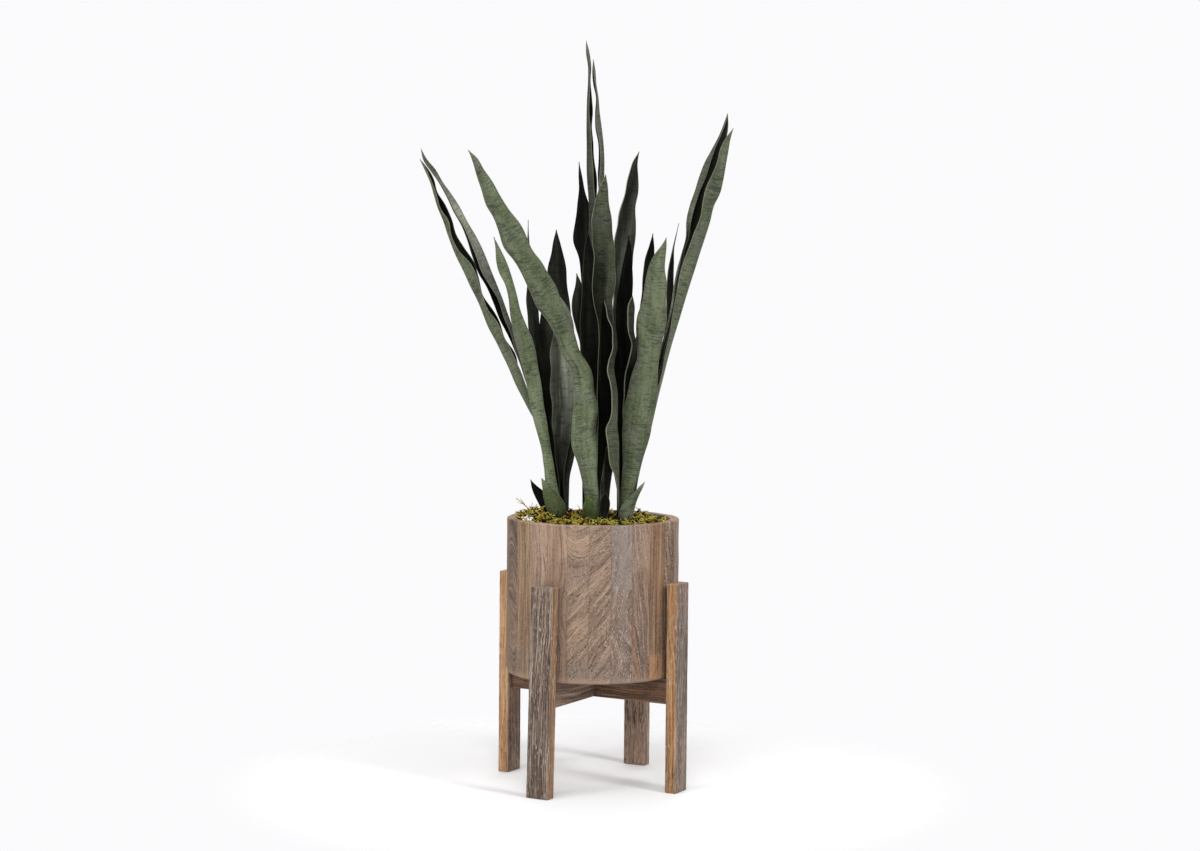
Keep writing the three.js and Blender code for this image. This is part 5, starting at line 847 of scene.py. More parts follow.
def build_blade(name, seed, mats):
    rows, along = clean_rows(name)
    n = len(rows)
    sprout = name.startswith("sprout")
    e1, keel, e2 = rows[:, 0:3], rows[:, 3:6], rows[:, 6:9]
    ctrl = 2 * keel - (e1 + e2) / 2
    s = np.linspace(0, 1, ACROSS + 1)
    s = 0.5 - 0.5 * np.cos(np.pi * s) * (0.8) - 0.1 + 0.2 * s      # columns closer together at the margins
    s = (s - s[0]) / (s[-1] - s[0])
    S = s[None, :, None]
    grid = (1 - S) ** 2 * e1[:, None] + 2 * S * (1 - S) * ctrl[:, None] + S ** 2 * e2[:, None]
    # the very tip keeps a small width
    chord = e2 - e1
    width = np.linalg.norm(chord, axis=1)
    back = chord[max(0, n - 8)] / max(width[max(0, n - 8)], 1e-6)
    least = 1.7 if name == "leaf_right_back_spike" else 1.1
    need = np.clip(least - width, 0, None)
    grid = grid + back[None, None, :] * (s[None, :, None] - 0.5) * need[:, None, None]
    du = np.gradient(grid, axis=0)
    dv = np.gradient(grid, axis=1)
    nrm = np.cross(du, dv)
    nrm /= np.maximum(np.linalg.norm(nrm, axis=2, keepdims=True), 1e-9)
    # the convex side is where the keel lies, seen from the margins
    side = np.sum(nrm[:, ACROSS // 2] * (keel - (e1 + e2) / 2), axis=1).sum()
    if side < 0:
        nrm = -nrm
    frac = np.linspace(0, 1, n)
    fade = np.clip((1 - frac) / 0.12, 0.3, 1)[:, None]
    half = 0.5 * fade * (1.0 + 1.4 * (1 - (2 * s[None, :] - 1) ** 2))
    # margins that rise and fall, and a slow swell of the face
    arc = np.maximum(np.linalg.norm(np.diff(grid, axis=1), axis=2).sum(1), 1e-6)
    env = smoothstep(25, 110, along) * smoothstep(0, 60, along[-1] - along) * np.clip(arc / 30, 0, 1)
    amp = EDGE_WAVE.get(name, 1.25) * (0.3 if sprout else 1)
    wl, wr = Waves(seed * 7 + 1, 62, 5, 0.35)(along), Waves(seed * 7 + 2, 66, 5, 0.35)(along)
    k = np.abs(2 * s - 1) ** 2.6
    lift = np.where(s[None, :] < 0.5, wl[:, None], wr[:, None]) * k[None, :] * amp * env[:, None]
    swell = Waves(seed * 7 + 3, 90, 6)(along[:, None] + 0 * s[None, :], (s[None, :] - 0.5) * arc[:, None]) * 0.5
    lift = lift + swell * env[:, None] * (1 - k[None, :])
    grid = grid + nrm * lift[..., None]
    outer = grid + nrm * half[..., None]
    inner = grid - nrm * half[..., None]
    # rounded margins: one more point past each edge
    out1 = grid[:, 0] - grid[:, 1]
    out2 = grid[:, -1] - grid[:, -2]
    out1 /= np.maximum(np.linalg.norm(out1, axis=1, keepdims=True), 1e-9)
    out2 /= np.maximum(np.linalg.norm(out2, axis=1, keepdims=True), 1e-9)
    rim = (0.42 * fade)
    rim1, rim2 = grid[:, 0] + out1 * rim, grid[:, -1] + out2 * rim
    ring = np.concatenate([outer, rim2[:, None], inner[:, ::-1], rim1[:, None]], axis=1)     # n, m, 3
    m = ring.shape[1]
    across = (s[None, :] - 0.5) * arc[:, None]
    edge = (0.5 - np.abs(s[None, :] - 0.5)) * arc[:, None]
    a_across = np.concatenate([across, across[:, -1:], across[:, ::-1], across[:, :1]], axis=1)
    a_edge = np.concatenate([edge, 0 * edge[:, :1], edge[:, ::-1], 0 * edge[:, :1]], axis=1)
    a_outer = np.concatenate([np.ones_like(across), np.full((n, 1), 0.5), np.zeros_like(across), np.full((n, 1), 0.5)], axis=1)
    a_along = np.repeat(along[:, None], m, axis=1)
    verts = ring.reshape(-1, 3)
    faces, kind = [], []
    for i in range(n - 1):
        for j in range(m):
            a, b = i * m + j, i * m + (j + 1) % m
            faces.append((a, b, b + m, a + m))
            kind.append(0 if (j < ACROSS + 1 or j == m - 1) else 1)
    # close both ends with strips of quads
    for base in (0, (n - 1) * m):
        for j in range(ACROSS):
            q = (base + j, base + j + 1, base + 2 * ACROSS + 1 - j, base + 2 * ACROSS + 2 - j)
            faces.append(q[::-1] if base == 0 else q)
            kind.append(0)
        q1 = (base + ACROSS, base + ACROSS + 1, base + ACROSS + 2)
        q2 = (base + m - 1, base, base + m - 2)
        for q in (q1, q2):
            faces.append(q[::-1] if base == 0 else q)
            kind.append(0)
    quads = np.array(faces[: (n - 1) * m])
    p = verts - verts.mean(0)
    vol = sum(np.einsum("ij,ij->i", np.cross(p[quads[:, a]], p[quads[:, b]]), p[quads[:, c]]).sum()
              for a, b, c in ((0, 1, 2), (0, 2, 3)))
    if vol < 0:
        faces = [tuple(f[::-1]) for f in faces]
    pos = verts * MM + np.array([AX, AY, 0])
    lv = np.stack([a_across.ravel() * MM, a_along.ravel() * MM, np.full(n * m, seed * 1.37)], axis=1)
    tip = smoothstep(26, 2, along[-1] - a_along.ravel())
    ones = np.ones(n * m)
    m1, m2 = MARGIN.get(name, (0.2, 0.2))
    first = np.r_[s < 0.5, False, s[::-1] < 0.5, True]
    pale_and_lit_edge = np.repeat(np.where(first, m1, m2)[None], n, axis=0).ravel()
    z_keel = np.repeat(keel[:, 2:3], m, axis=1).ravel()
    fold_shade = np.zeros(n * m)
    # the outer tone along the blade carries painted light and shade
    outer_tone_and_light = tone_along(z_keel, OUTER_TONE_AND_LIGHT.get(name, (0.8, 0.8, 0.8, 0.8)))
    where = np.repeat(np.r_[s, 1.0, s[::-1], 0.0][None], n, axis=0).ravel()
    for z_from, z_to, s_from, s_to, tone in SHADE.get(name, ()):
        soft = min(22.0, (z_to - z_from) / 3)
        here = smoothstep(z_from - soft, z_from + soft, z_keel) * smoothstep(z_to + soft, z_to - soft, z_keel)
        here = here * smoothstep(s_from - 0.06, s_from + 0.06, where) * smoothstep(s_to + 0.06, s_to - 0.06, where)
        outer_tone_and_light = outer_tone_and_light * (1 - here) + tone * here
    # painted shade along the fold of the front diagonal blade
    if name == "leaf_front_diagonal":
        z = z_keel
        at = np.interp(z, (585, 615, 665, 735), (9.0, 8.5, 7.0, 0.5))
        first_side = np.repeat(np.where(first, 1.0, 0.0)[None], n, axis=0).ravel()
        fold_shade = first_side * np.exp(-((a_edge.ravel() - at) / 1.1) ** 2) * smoothstep(570, 610, z) * smoothstep(740, 715, z)
    piece = mesh_object(
        name.replace("leaf_", "blade_").replace("sprout_", "blade_sprout_"), pos, faces,
        dict(lv=lv, edge_mm=a_edge.ravel(), outer=a_outer.ravel(), tip=tip,
             inner_tone_and_light=tone_along(z_keel, INNER_TONE_AND_LIGHT.get(name, (0.08, 0.07, 0.05, 0.05))),
             outer_tone_and_light=outer_tone_and_light,
             margin=pale_and_lit_edge, fold_shade=fold_shade, grey=ones * GREY.get(name, 0.0), fresh=ones * FRESH.get(name, 0.0), dry=tip * DRY.get(name, 0.0 if name in DEEP_SHADED else 0.15)),
        mats, replaces=(name,))
    piece.data.polygons.foreach_set("material_index", kind)
    return piece


def leaf_coords(g):
    lv = g.attr("lv", "Vector")
    x, y, seed = g.split(lv)
    # bands bend a little as they cross the blade
    bend = g.noise(g.xyz(g.math("MULTIPLY", x, 26.0), g.math("MULTIPLY", y, 12.0), seed), 1.0, 1.0)
    quick = g.noise(g.xyz(g.math("MULTIPLY", x, 210.0), g.math("MULTIPLY", y, 90.0), seed), 1.0, 1.0)
    y2 = g.math("MULTIPLY_ADD", g.math("SUBTRACT", bend, 0.5), 0.010, y)
    y2 = g.math("MULTIPLY_ADD", g.math("SUBTRACT", quick, 0.5), 0.0032, y2)
    return x, y, y2, seed


def scaled(g, x, y, seed, sx, sy, off=0.0):
    return g.xyz(g.math("MULTIPLY", x, sx), g.math("MULTIPLY", y, sy), g.math("ADD", seed, off))


def leaf_outer_material(name, shine):
    g = Graph(name)
    x, y, y2, seed = leaf_coords(g)
    edge = g.attr("edge_mm")
    soft = g.noise(scaled(g, x, y, seed, 62, 26, 4.4), 1.0, 2.0, 0.55)
    speck = g.noise(scaled(g, x, y2, seed, 330, 420, 8.1), 1.0, 2.0, 0.6)
    ridge = g.noise(scaled(g, x, y, seed, 120, 3.0, 9.2), 1.0, 2.0, 0.55)
    patch = g.noise(scaled(g, x, y, seed, 40, 24, 5.3), 1.0, 2.0, 0.5)
    cluster = g.noise(scaled(g, x, y, seed, 42, 30, 3.1), 1.0, 2.0, 0.5)
    dash = g.noise(scaled(g, x, y2, seed, 72, 620, 1.9), 1.0, 2.0, 0.55)
    smudge = g.noise(scaled(g, x, y2, seed, 48, 230, 7.7), 1.0, 2.5, 0.6)
    grain = g.noise(scaled(g, x, y, seed, 700, 620, 2.6), 1.0, 2.0, 0.6)
    col = g.mix(g.ramp(soft, 0.34, 0.66), lin(86, 97, 67), lin(111, 119, 94))
    col = g.mix(g.ramp(ridge, 0.5, 0.66, 0.0, 0.45), col, lin(118, 124, 100))
    col = g.mix(g.ramp(ridge, 0.5, 0.34, 0.0, 0.45), col, lin(76, 85, 62))
    col = g.mix(g.ramp(patch, 0.55, 0.66, 0.0, 0.6), col, lin(103, 104, 97))
    col = g.mix(g.ramp(speck, 0.54, 0.70, 0.0, 0.6), col, lin(128, 132, 107))
    col = g.mix(g.ramp(speck, 0.46, 0.30, 0.0, 0.6), col, lin(69, 78, 53))
    col = g.mix(g.ramp(grain, 0.52, 0.68, 0.0, 0.35), col, lin(132, 138, 110))
    col = g.mix(g.ramp(grain, 0.48, 0.32, 0.0, 0.45), col, lin(64, 70, 50))
    # broken dark cross bands
    lean = g.math("MULTIPLY_ADD", g.math("SUBTRACT", cluster, 0.5), 0.34, dash)
    thin = g.math("MULTIPLY", g.ramp(lean, 0.55, 0.63), 0.72)
    lean2 = g.math("MULTIPLY_ADD", g.math("SUBTRACT", cluster, 0.5), 0.55, smudge)
    wide = g.math("MULTIPLY", g.ramp(lean2, 0.60, 0.72), 0.6)
    mask = g.math("MAXIMUM", thin, wide)
    mask = g.math("MULTIPLY", mask, g.ramp(edge, 0.2, 2.5, 0.5, 1.0))
    col = g.mix(mask, col, lin(48, 53, 48))
    # darker towards both margins: painted shade where the face curves away from the light
    col = g.mix(g.ramp(edge, 0.6, 3.2, 0.30, 0.0), col, lin(60, 68, 52))
    # painted shade along a fold
    col = g.mix(g.math("MULTIPLY", g.attr("fold_shade"), 0.75), col, lin(44, 54, 30))
    # sprouts are a deeper, fresher green
    sprout = g.mix(g.ramp(soft, 0.35, 0.65), lin(66, 86, 38), lin(98, 110, 64))
    sprout = g.mix(g.ramp(speck, 0.55, 0.68, 0.0, 0.6), sprout, lin(140, 150, 104))
    sprout = g.mix(g.math("MULTIPLY", mask, 0.5), sprout, lin(44, 56, 34))
    col = g.mix(g.attr("fresh"), col, sprout)
    grey = g.vec("DOT_PRODUCT", col, (0.25, 0.62, 0.13))
    col = g.mix(g.math("MULTIPLY", g.attr("grey"), 0.85), col, g.vec("SCALE", (1.0, 1.0, 0.88), scale=grey))
    # painted light and shade: the colour scaled by the blade's tone along its length
    col = g.vec("SCALE", col, scale=g.attr("outer_tone_and_light"))
    col = g.mix(g.attr("dry"), col, lin(132, 130, 112))
    # the pale margin line: partly the blade's own pale rim, partly a painted highlight on the lit edge
    col = g.mix(g.math("MULTIPLY", g.ramp(edge, 1.0, 0.35), g.attr("margin")), col, lin(146, 148, 124))
    rough = g.ramp(soft, 0.3, 0.7, 0.42, 0.55)
    h = g.math("MULTIPLY_ADD", ridge, 1.5, g.math("MULTIPLY", speck, 0.3))
    n = g.bump(h, 0.35, 0.0006)
    return g.surface(col, rough, n, Specular_IOR_Level=shine)


def leaf_inner_material():
    g = Graph("leaf_hollow")
    x, y, y2, seed = leaf_coords(g)
    edge = g.attr("edge_mm")
    streak = g.noise(scaled(g, x, y, seed, 190, 3.5, 2.2), 1.0, 3.0, 0.6)
    broad = g.noise(scaled(g, x, y, seed, 60, 9.0, 4.2), 1.0, 2.0, 0.6)
    stroke = g.noise(scaled(g, x, y2, seed, 50, 170, 6.1), 1.0, 2.5, 0.6)
    speck = g.noise(scaled(g, x, y2, seed, 330, 420, 8.1), 1.0, 2.0, 0.6)
    # lighter lengthwise streaks: the hollow's own streaks, with a painted sheen along them
    col = g.mix(g.ramp(streak, 0.35, 0.7), lin(78, 81, 71), lin(99, 101, 91))
    col = g.mix(g.math("MULTIPLY", g.ramp(stroke, 0.52, 0.66), 0.55), col, lin(56, 59, 54))
    col = g.mix(g.ramp(speck, 0.5, 0.7, 0.0, 0.35), col, lin(116, 116, 104))
    # painted light and shade on the hollow side: the colour scaled by its tone along the blade
    col = g.vec("SCALE", col, scale=g.math("MULTIPLY", g.attr("inner_tone_and_light"), g.ramp(broad, 0.3, 0.7, 0.45, 1.6)))
    col = g.mix(g.attr("dry"), col, lin(60, 60, 50))
    # the pale margin line: partly the blade's own pale rim, partly a painted highlight on the lit edge
    col = g.mix(g.math("MULTIPLY", g.ramp(edge, 1.0, 0.35), g.attr("margin")), col, lin(146, 148, 124))
    n = g.bump(streak, 0.3, 0.0005)
    return g.surface(col, 0.55, n, Specular_IOR_Level=0.01)


hollow = leaf_inner_material()
lit_mats = [leaf_outer_material("leaf_banded", 0.12), hollow]
# a shaded copy of the banded material, without sheen, for the blades deep in the clumps
shaded_mats = [leaf_outer_material("leaf_banded_shaded", 0.01), hollow]
BLADES = [build_blade(name, 11 + i, shaded_mats if name in DEEP_SHADED else lit_mats) for i, name in enumerate(LEAVES)]


# ---- wood -----------------------------------------------------------------------------------
FILLER = lin(206, 194, 180)            # pale filler left in the open grain
DARK = lin(58, 46, 38)
TAUPE, TAUPE_L, TAUPE_D = lin(154, 129, 111), lin(182, 158, 138), lin(120, 97, 82)
GREY, GREY_L, GREY_D = lin(142, 128, 118), lin(170, 157, 147), lin(108, 94, 85)
GOLD, GOLD_L, GOLD_D = lin(152, 122, 94), lin(178, 150, 120), lin(118, 92, 68)
RUST, RUST_L, RUST_D = lin(170, 121, 78), lin(196, 150, 106), lin(126, 88, 58)
UMBER, UMBER_L, UMBER_D = lin(108, 89, 75), lin(140, 119, 102), lin(76, 62, 52)


def wood(name, seed, tones, tilt=0.0, pith=0.05, arch=0.02, figure=None, lines=0.6, late=0.45, grain=330.0, light=0.4,
         dark=0.5, stain=0.35, zones=(), accent=None, accent_amt=0.0, narrow=None, swirl=1.0,
         pore=(250.0, 290.0), rough=0.7):
    """Old brushed wood. wv holds each point in its own board: across, depth and along, in metres.
    tones: mid, light, dark. tilt turns the pores about the board's depth. figure: how the growth lines run across
    and up the board, low and high (a, k), with the heights between. zones: (from, to, colour, amount) along the board."""
    g = Graph(name)
    mid, pale, deep = tones
    wv = g.attr("wv", "Vector")
    mp = g.node("Mapping", {"vector_type": "POINT"}, Vector=wv,
                Location=(seed * 0.371 % 7, seed * 0.513 % 5, seed * 0.297 % 3), Rotation=(0.0, tilt, 0.0)).outputs[0]
    warp = g.noise(g.vec("MULTIPLY", mp, (13.0, 13.0, 6.0)), 1.0, 2.0, 0.5, colour=True)
    warp = g.vec("MULTIPLY", g.vec("SUBTRACT", warp, (0.5, 0.5, 0.5)), (0.014 * swirl, 0.014, 0.006 * swirl))
    p = g.vec("ADD", mp, warp)
    q = g.vec("ADD", wv, warp)
    qx, qy, qz = g.split(q)
    high = g.split(wv)[2]
    # growth lines: u is constant along each one
    if figure is None:
        depth = g.noise(g.xyz(seed * 1.7, 0.3, g.math("MULTIPLY", qz, 7.0)), 1.0, 1.0)
        depth = g.math("MULTIPLY_ADD", depth, arch, 0.004)
        u = g.vec("LENGTH", g.xyz(g.math("SUBTRACT", qx, pith), g.math("ADD", qy, depth), 0.0))
    else:
        (a0, k0), (a1, k1), z0, z1, xc, up = figure
        x = g.math("SUBTRACT", qx, xc)
        u = g.math("MULTIPLY", x, g.ramp(high, z0, z1, a0, a1))
        u = g.math("ADD", u, g.math("MULTIPLY", g.math("MULTIPLY", x, x), g.ramp(high, z0, z1, k0, k1)))
        u = g.math("ADD", g.math("MULTIPLY_ADD", qz, up, u), qy)
    ring = g.noise(g.xyz(g.math("MULTIPLY", u, grain), g.math("MULTIPLY_ADD", qx, 14.0, seed), g.math("MULTIPLY", qz, 9.0)), 1.0, 3.0, 0.62)
    thin = g.noise(g.xyz(g.math("MULTIPLY", u, grain * 1.7), g.math("MULTIPLY_ADD", qx, 30.0, seed + 5), g.math("MULTIPLY", qz, 16.0)), 1.0, 2.0, 0.55)
    band = g.noise(g.xyz(g.math("MULTIPLY", u, 95.0), g.math("MULTIPLY_ADD", qx, 9.0, seed + 9), g.math("MULTIPLY", qz, 6.0)), 1.0, 2.0, 0.5)
    blot = g.noise(g.vec("MULTIPLY", mp, (26.0, 26.0, 15.0)), 1.0, 3.0, 0.55)
    pore_d = g.noise(g.vec("MULTIPLY", p, (780.0, 780.0, pore[0])), 1.0, 2.0, 0.6)
    pore_l = g.noise(g.vec("ADD", g.vec("MULTIPLY", p, (740.0, 740.0, pore[1])), (31.0, 17.0, 5.0)), 1.0, 2.0, 0.6)

    def tint(mid, pale, deep, accent):
        c = g.mix(g.ramp(band, 0.34, 0.62, 0.25, 1.0), deep, mid)
        c = g.mix(g.math("MULTIPLY", g.ramp(blot, 0.42, 0.7), stain), c, deep)
        if accent is not None:
            where = g.noise(g.vec("ADD", g.vec("MULTIPLY", mp, (60.0, 60.0, 4.5)), (3.0, 9.0, 21.0)), 1.0, 2.0)
            c = g.mix(g.math("MULTIPLY", g.ramp(where, 0.46, 0.62), accent_amt), c, accent)
        c = g.mix(g.math("MULTIPLY", g.ramp(ring, 0.50, 0.68), lines), c, pale)
        return g.mix(g.math("MULTIPLY", g.ramp(ring, 0.50, 0.34), lines), c, deep)

    col = tint(mid, pale, deep, accent)
    wavy = g.math("MULTIPLY_ADD", g.math("SUBTRACT", blot, 0.5), 0.05, high)
    for z_from, z_to, colour, amount in zones:
        here = g.math("MULTIPLY", g.ramp(wavy, z_from - 0.008, z_from + 0.008), g.ramp(wavy, z_to + 0.008, z_to - 0.008))
        here = g.math("MULTIPLY", here, g.ramp(ring, 0.3, 0.7, amount * 0.7, amount))
        col = g.mix(here, col, colour)
    if narrow is not None:
        col = g.mix(g.attr("narrow"), col, tint(*narrow, None))
    worse = g.ramp(high, 0.165, 0.26, 1.45, 1.0)
    if narrow is not None:
        worse = g.math("MULTIPLY", worse, g.ramp(g.attr("narrow"), 0.0, 1.0, 1.0, 0.6))
    col = g.mix(g.math("MULTIPLY", g.math("MULTIPLY", g.ramp(thin, 0.56, 0.68), late), worse, clamp=True), col, DARK)
    md = g.math("MULTIPLY", g.math("MULTIPLY", g.ramp(pore_d, 0.52, 0.64), dark), g.ramp(ring, 0.62, 0.42, 0.45, 1.0))
    md = g.math("MULTIPLY", md, worse, clamp=True)
    ml = g.math("MULTIPLY", g.math("MULTIPLY", g.ramp(pore_l, 0.54, 0.66), light), g.ramp(blot, 0.40, 0.62, 0.35, 1.0))
    col = g.mix(md, col, DARK)
    col = g.mix(ml, col, FILLER)
    worn = g.attr("worn")
    col = g.mix(g.math("MULTIPLY", worn, 0.55), col, pale)
    h = g.math("MULTIPLY_ADD", ring, 0.6, g.math("MULTIPLY", g.ramp(pore_d, 0.54, 0.66), -0.6))
    h = g.math("MULTIPLY_ADD", g.ramp(thin, 0.55, 0.68), -0.5, h)
    n = g.bump(h, 0.5, 0.0006)
    rr = g.math("MULTIPLY_ADD", g.math("SUBTRACT", band, 0.5), 0.25, rough)
    return g.surface(col, rr, n, Specular_IOR_Level=0.25)


# ---- pot ------------------------------------------------------------------------------------
POT_R, WALL, POT_BOTTOM, POT_RIM = 130.0, 14.0, 168.8, 402.3
STAVE_EDGES = [-74.2 + 14.4 * i for i in range(11)]
_rest = (360 - 144) / 14
STAVE_EDGES += [STAVE_EDGES[10] + _rest * i for i in range(1, 15)]
face_wave, rim_wave = Waves(101, 90, 8), Waves(102, 60, 5)


def wall_profile():
    """Radius and height round a stave's upright section, from the inside bottom, counter-clockwise."""
    pts = [(POT_R - WALL, POT_BOTTOM), (POT_R - 4.8, POT_BOTTOM)]
    for a in np.linspace(-90, 0, 8)[1:]:
        pts.append((POT_R - 4.6 + 4.6 * math.cos(math.radians(a)), POT_BOTTOM + 4.6 + 4.6 * math.sin(math.radians(a))))
    pts += [(POT_R, z) for z in np.arange(180, 396, 9.0)]
    for a in np.linspace(0, 90, 6):
        pts.append((POT_R - 2.0 + 2.0 * math.cos(math.radians(a)), POT_RIM - 2.0 + 2.0 * math.sin(math.radians(a))))
    for a in np.linspace(90, 180, 6):
        pts.append((POT_R - WALL + 1.8 + 1.8 * math.cos(math.radians(a)), POT_RIM - 1.8 + 1.8 * math.sin(math.radians(a))))
    pts += [(POT_R - WALL, z) for z in (392, 384, 300)]
    return np.array(pts)


def build_stave(i, mat):
    prof = wall_profile()
    a, b = STAVE_EDGES[i], STAVE_EDGES[i + 1]
    gap = math.degrees(0.05 / POT_R)
    ease = math.degrees(0.4 / POT_R)
    degs = np.r_[a + gap, a + gap + ease, np.linspace(a + gap + 2.5 * ease, b - gap - 2.5 * ease, 11), b - gap - ease, b - gap]
    mid = (a + b) / 2
    m = len(prof)
    r0 = np.repeat(prof[None, :, 0], len(degs), 0)
    z0 = np.repeat(prof[None, :, 1], len(degs), 0)
    d = np.repeat(degs[:, None], m, 1)
    out = prof[:, 0] > POT_R - 3
    dip = np.zeros(len(degs)); dip[[0, -1]] = 0.28
    arc = np.radians(d) * POT_R
    hand = face_wave(arc, z0) * 0.22 + 0.10 * Waves(300 + i, 40, 5)(z0)
    worn_edge = smoothstep(10, 0, z0 - POT_BOTTOM) * np.abs(Waves(400 + i, 17, 5)(arc)) * 0.5
    r = r0 + np.where(out[None, :], hand - dip[:, None] - worn_edge, 0)
    top = prof[:, 1] > POT_RIM - 2.5
    z = z0 + np.where(top[None, :], rim_wave(arc) * 0.18 - dip[:, None] * 0.8, 0)
    z = np.where(prof[None, :, 1] <= POT_BOTTOM + 0.01, POT_BOTTOM, z)
    ang = np.radians(d)
    x, y = r * np.sin(ang), -r * np.cos(ang)
    verts = np.stack([x, y, z], -1).reshape(-1, 3)
    faces = []
    k = len(degs)
    for u in range(k - 1):
        for v in range(m):
            p, q = u * m + v, u * m + (v + 1) % m
            faces.append((p, p + m, q + m, q))
    # ends
    faces.append(tuple(range(m)))
    faces.append(tuple((k - 1) * m + v for v in range(m))[::-1])
    pos = verts * MM + np.array([AX, AY, 0])
    tang = (np.radians(d - mid) * r).ravel() * MM
    wv = np.stack([tang, (r - POT_R).ravel() * MM, z.ravel() * MM], 1)
    bottom = smoothstep(9.0, 2.0, z0 - POT_BOTTOM) * smoothstep(POT_R - 6, POT_R - 1, r0 + 2)
    rimw = smoothstep(2.2, 0.2, POT_RIM - z0) * 0.45
    worn = np.maximum(bottom, rimw).ravel()
    ob = mesh_object(f"pot_stave_{i + 1:02d}", pos, faces, dict(wv=wv, worn=worn, narrow=np.zeros(len(pos))), mat,
                     replaces=(f"stave_{i + 1:02d}",))
    return ob


T, G_, GO, UM = (TAUPE, TAUPE_L, TAUPE_D), (GREY, GREY_L, GREY_D), (GOLD, GOLD_L, GOLD_D), (UMBER, UMBER_L, UMBER_D)
STAVES = {
    1: dict(tones=(lin(130, 107, 92), lin(158, 134, 114), lin(86, 70, 61)), lines=0.8, late=0.5, stain=0.5, light=0.25, dark=0.5,
            figure=((0.35, -30.0), (0.25, 30.0), 0.24, 0.33, 0.0, 0.5), grain=240, zones=((0.16, 0.27, lin(152, 126, 104), 0.6),)),
    2: dict(tones=(lin(158, 129, 101), lin(182, 154, 124), lin(118, 92, 70)), lines=0.7, late=0.5, stain=0.25, light=0.3, dark=0.5,
            pith=0.07, arch=0.015, zones=((0.165, 0.22, GREY, 0.3),)),
    3: dict(tones=(lin(170, 142, 122), lin(192, 168, 148), lin(134, 108, 90)), lines=0.5, late=0.4, stain=0.3, light=0.5, dark=0.45,
            arch=0.05, pith=0.03, swirl=1.6),
    4: dict(tones=(lin(162, 134, 114), lin(188, 162, 142), lin(120, 96, 80)), lines=0.6, late=0.45, stain=0.35, light=0.35, dark=0.5,
            arch=0.05, pith=0.035, swirl=1.4, accent=lin(160, 124, 92), accent_amt=0.4, zones=((0.16, 0.345, lin(142, 116, 98), 0.6),)),
    5: dict(tones=(lin(160, 134, 113), lin(186, 160, 138), lin(120, 98, 82)), lines=0.55, late=0.5, stain=0.35, light=0.4, dark=0.6,
            figure=((-0.62, 0.0), (0.0, -26.0), 0.31, 0.36, 0.004, 0.62), grain=320, tilt=-0.7, swirl=2.4,
            zones=((0.316, 0.350, lin(134, 114, 101), 0.75), (0.16, 0.205, lin(122, 107, 98), 0.75))),
    6: dict(tones=(lin(158, 132, 112), lin(184, 159, 138), lin(116, 94, 79)), lines=0.5, late=0.5, stain=0.35, light=0.45, dark=0.65,
            figure=((-0.75, 4.0), (-0.45, -14.0), 0.22, 0.36, -0.004, 0.62), grain=310, tilt=-0.75, swirl=2.6,
            zones=((0.16, 0.205, lin(128, 110, 100), 0.7),)),
    7: dict(tones=(lin(138, 117, 104), lin(164, 144, 131), lin(108, 91, 80)), lines=0.5, late=0.35, stain=0.3, light=0.55, dark=0.5,
            arch=0.07, pith=0.02, swirl=1.8, zones=((0.31, 0.42, lin(136, 124, 118), 0.75),)),
    8: dict(tones=(lin(136, 113, 99), lin(164, 141, 124), lin(100, 82, 70)), lines=0.6, late=0.5, stain=0.35, light=0.35, dark=0.55,
            figure=((0.9, 20.0), (0.8, -24.0), 0.22, 0.38, 0.002, 0.14), swirl=1.6, zones=((0.335, 0.42, lin(156, 134, 118), 0.6),),
            accent=lin(164, 120, 84), accent_amt=0.35),
    9: dict(tones=(lin(146, 115, 90), lin(168, 137, 108), lin(100, 77, 60)), lines=0.8, late=0.6, stain=0.3, light=0.2, dark=0.6,
            pith=0.08, arch=0.015, grain=340, accent=RUST, accent_amt=0.3, zones=((0.165, 0.205, lin(184, 138, 98), 0.7),)),
    10: dict(tones=(lin(142, 116, 98), lin(178, 156, 140), lin(84, 68, 57)), lines=0.8, late=0.7, stain=0.4, light=0.7, dark=0.7,
             figure=((0.8, 10.0), (0.7, -20.0), 0.22, 0.38, 0.0, 0.12), grain=280, swirl=1.8, accent=RUST, accent_amt=0.3,
             zones=((0.165, 0.20, RUST, 0.5),)),
    11: dict(tones=T, lines=0.6, stain=0.4, light=0.3, dark=0.45),
}
BACK = [T, GO, G_, T, (TAUPE_D, TAUPE, UMBER_D), GO, T, G_, (GOLD, TAUPE_L, RUST_D), T, UM, T, GO]
BACK_FIGURE = [None, ((-0.6, 0.0), (0.0, -26.0), 0.24, 0.34, 0.002, 0.6), None, ((0.8, 10.0), (0.7, -18.0), 0.2, 0.36, 0.0, 0.14)]
for i in range(24):
    spec = STAVES.get(i + 1)
    if spec is None:
        b = i - 11
        spec = dict(tones=BACK[b % len(BACK)], stain=0.35, light=(0.3, 0.45, 0.2)[b % 3], dark=0.5, late=(0.4, 0.6, 0.5)[b % 3],
                    figure=BACK_FIGURE[b % 4], swirl=1.8, accent=(None, RUST, GREY_D)[b % 3], accent_amt=0.3)
    build_stave(i, wood(f"stave_wood_{i + 1:02d}", 3.1 + i * 1.7, **spec))


# ---- stand ----------------------------------------------------------------------------------
STAND_TURN = 0.5162
LEG_W, LEG_T, LEG_H, LEG_MID = 37.5, 18.0, 312.6, 145.8
LEAN = 6.2


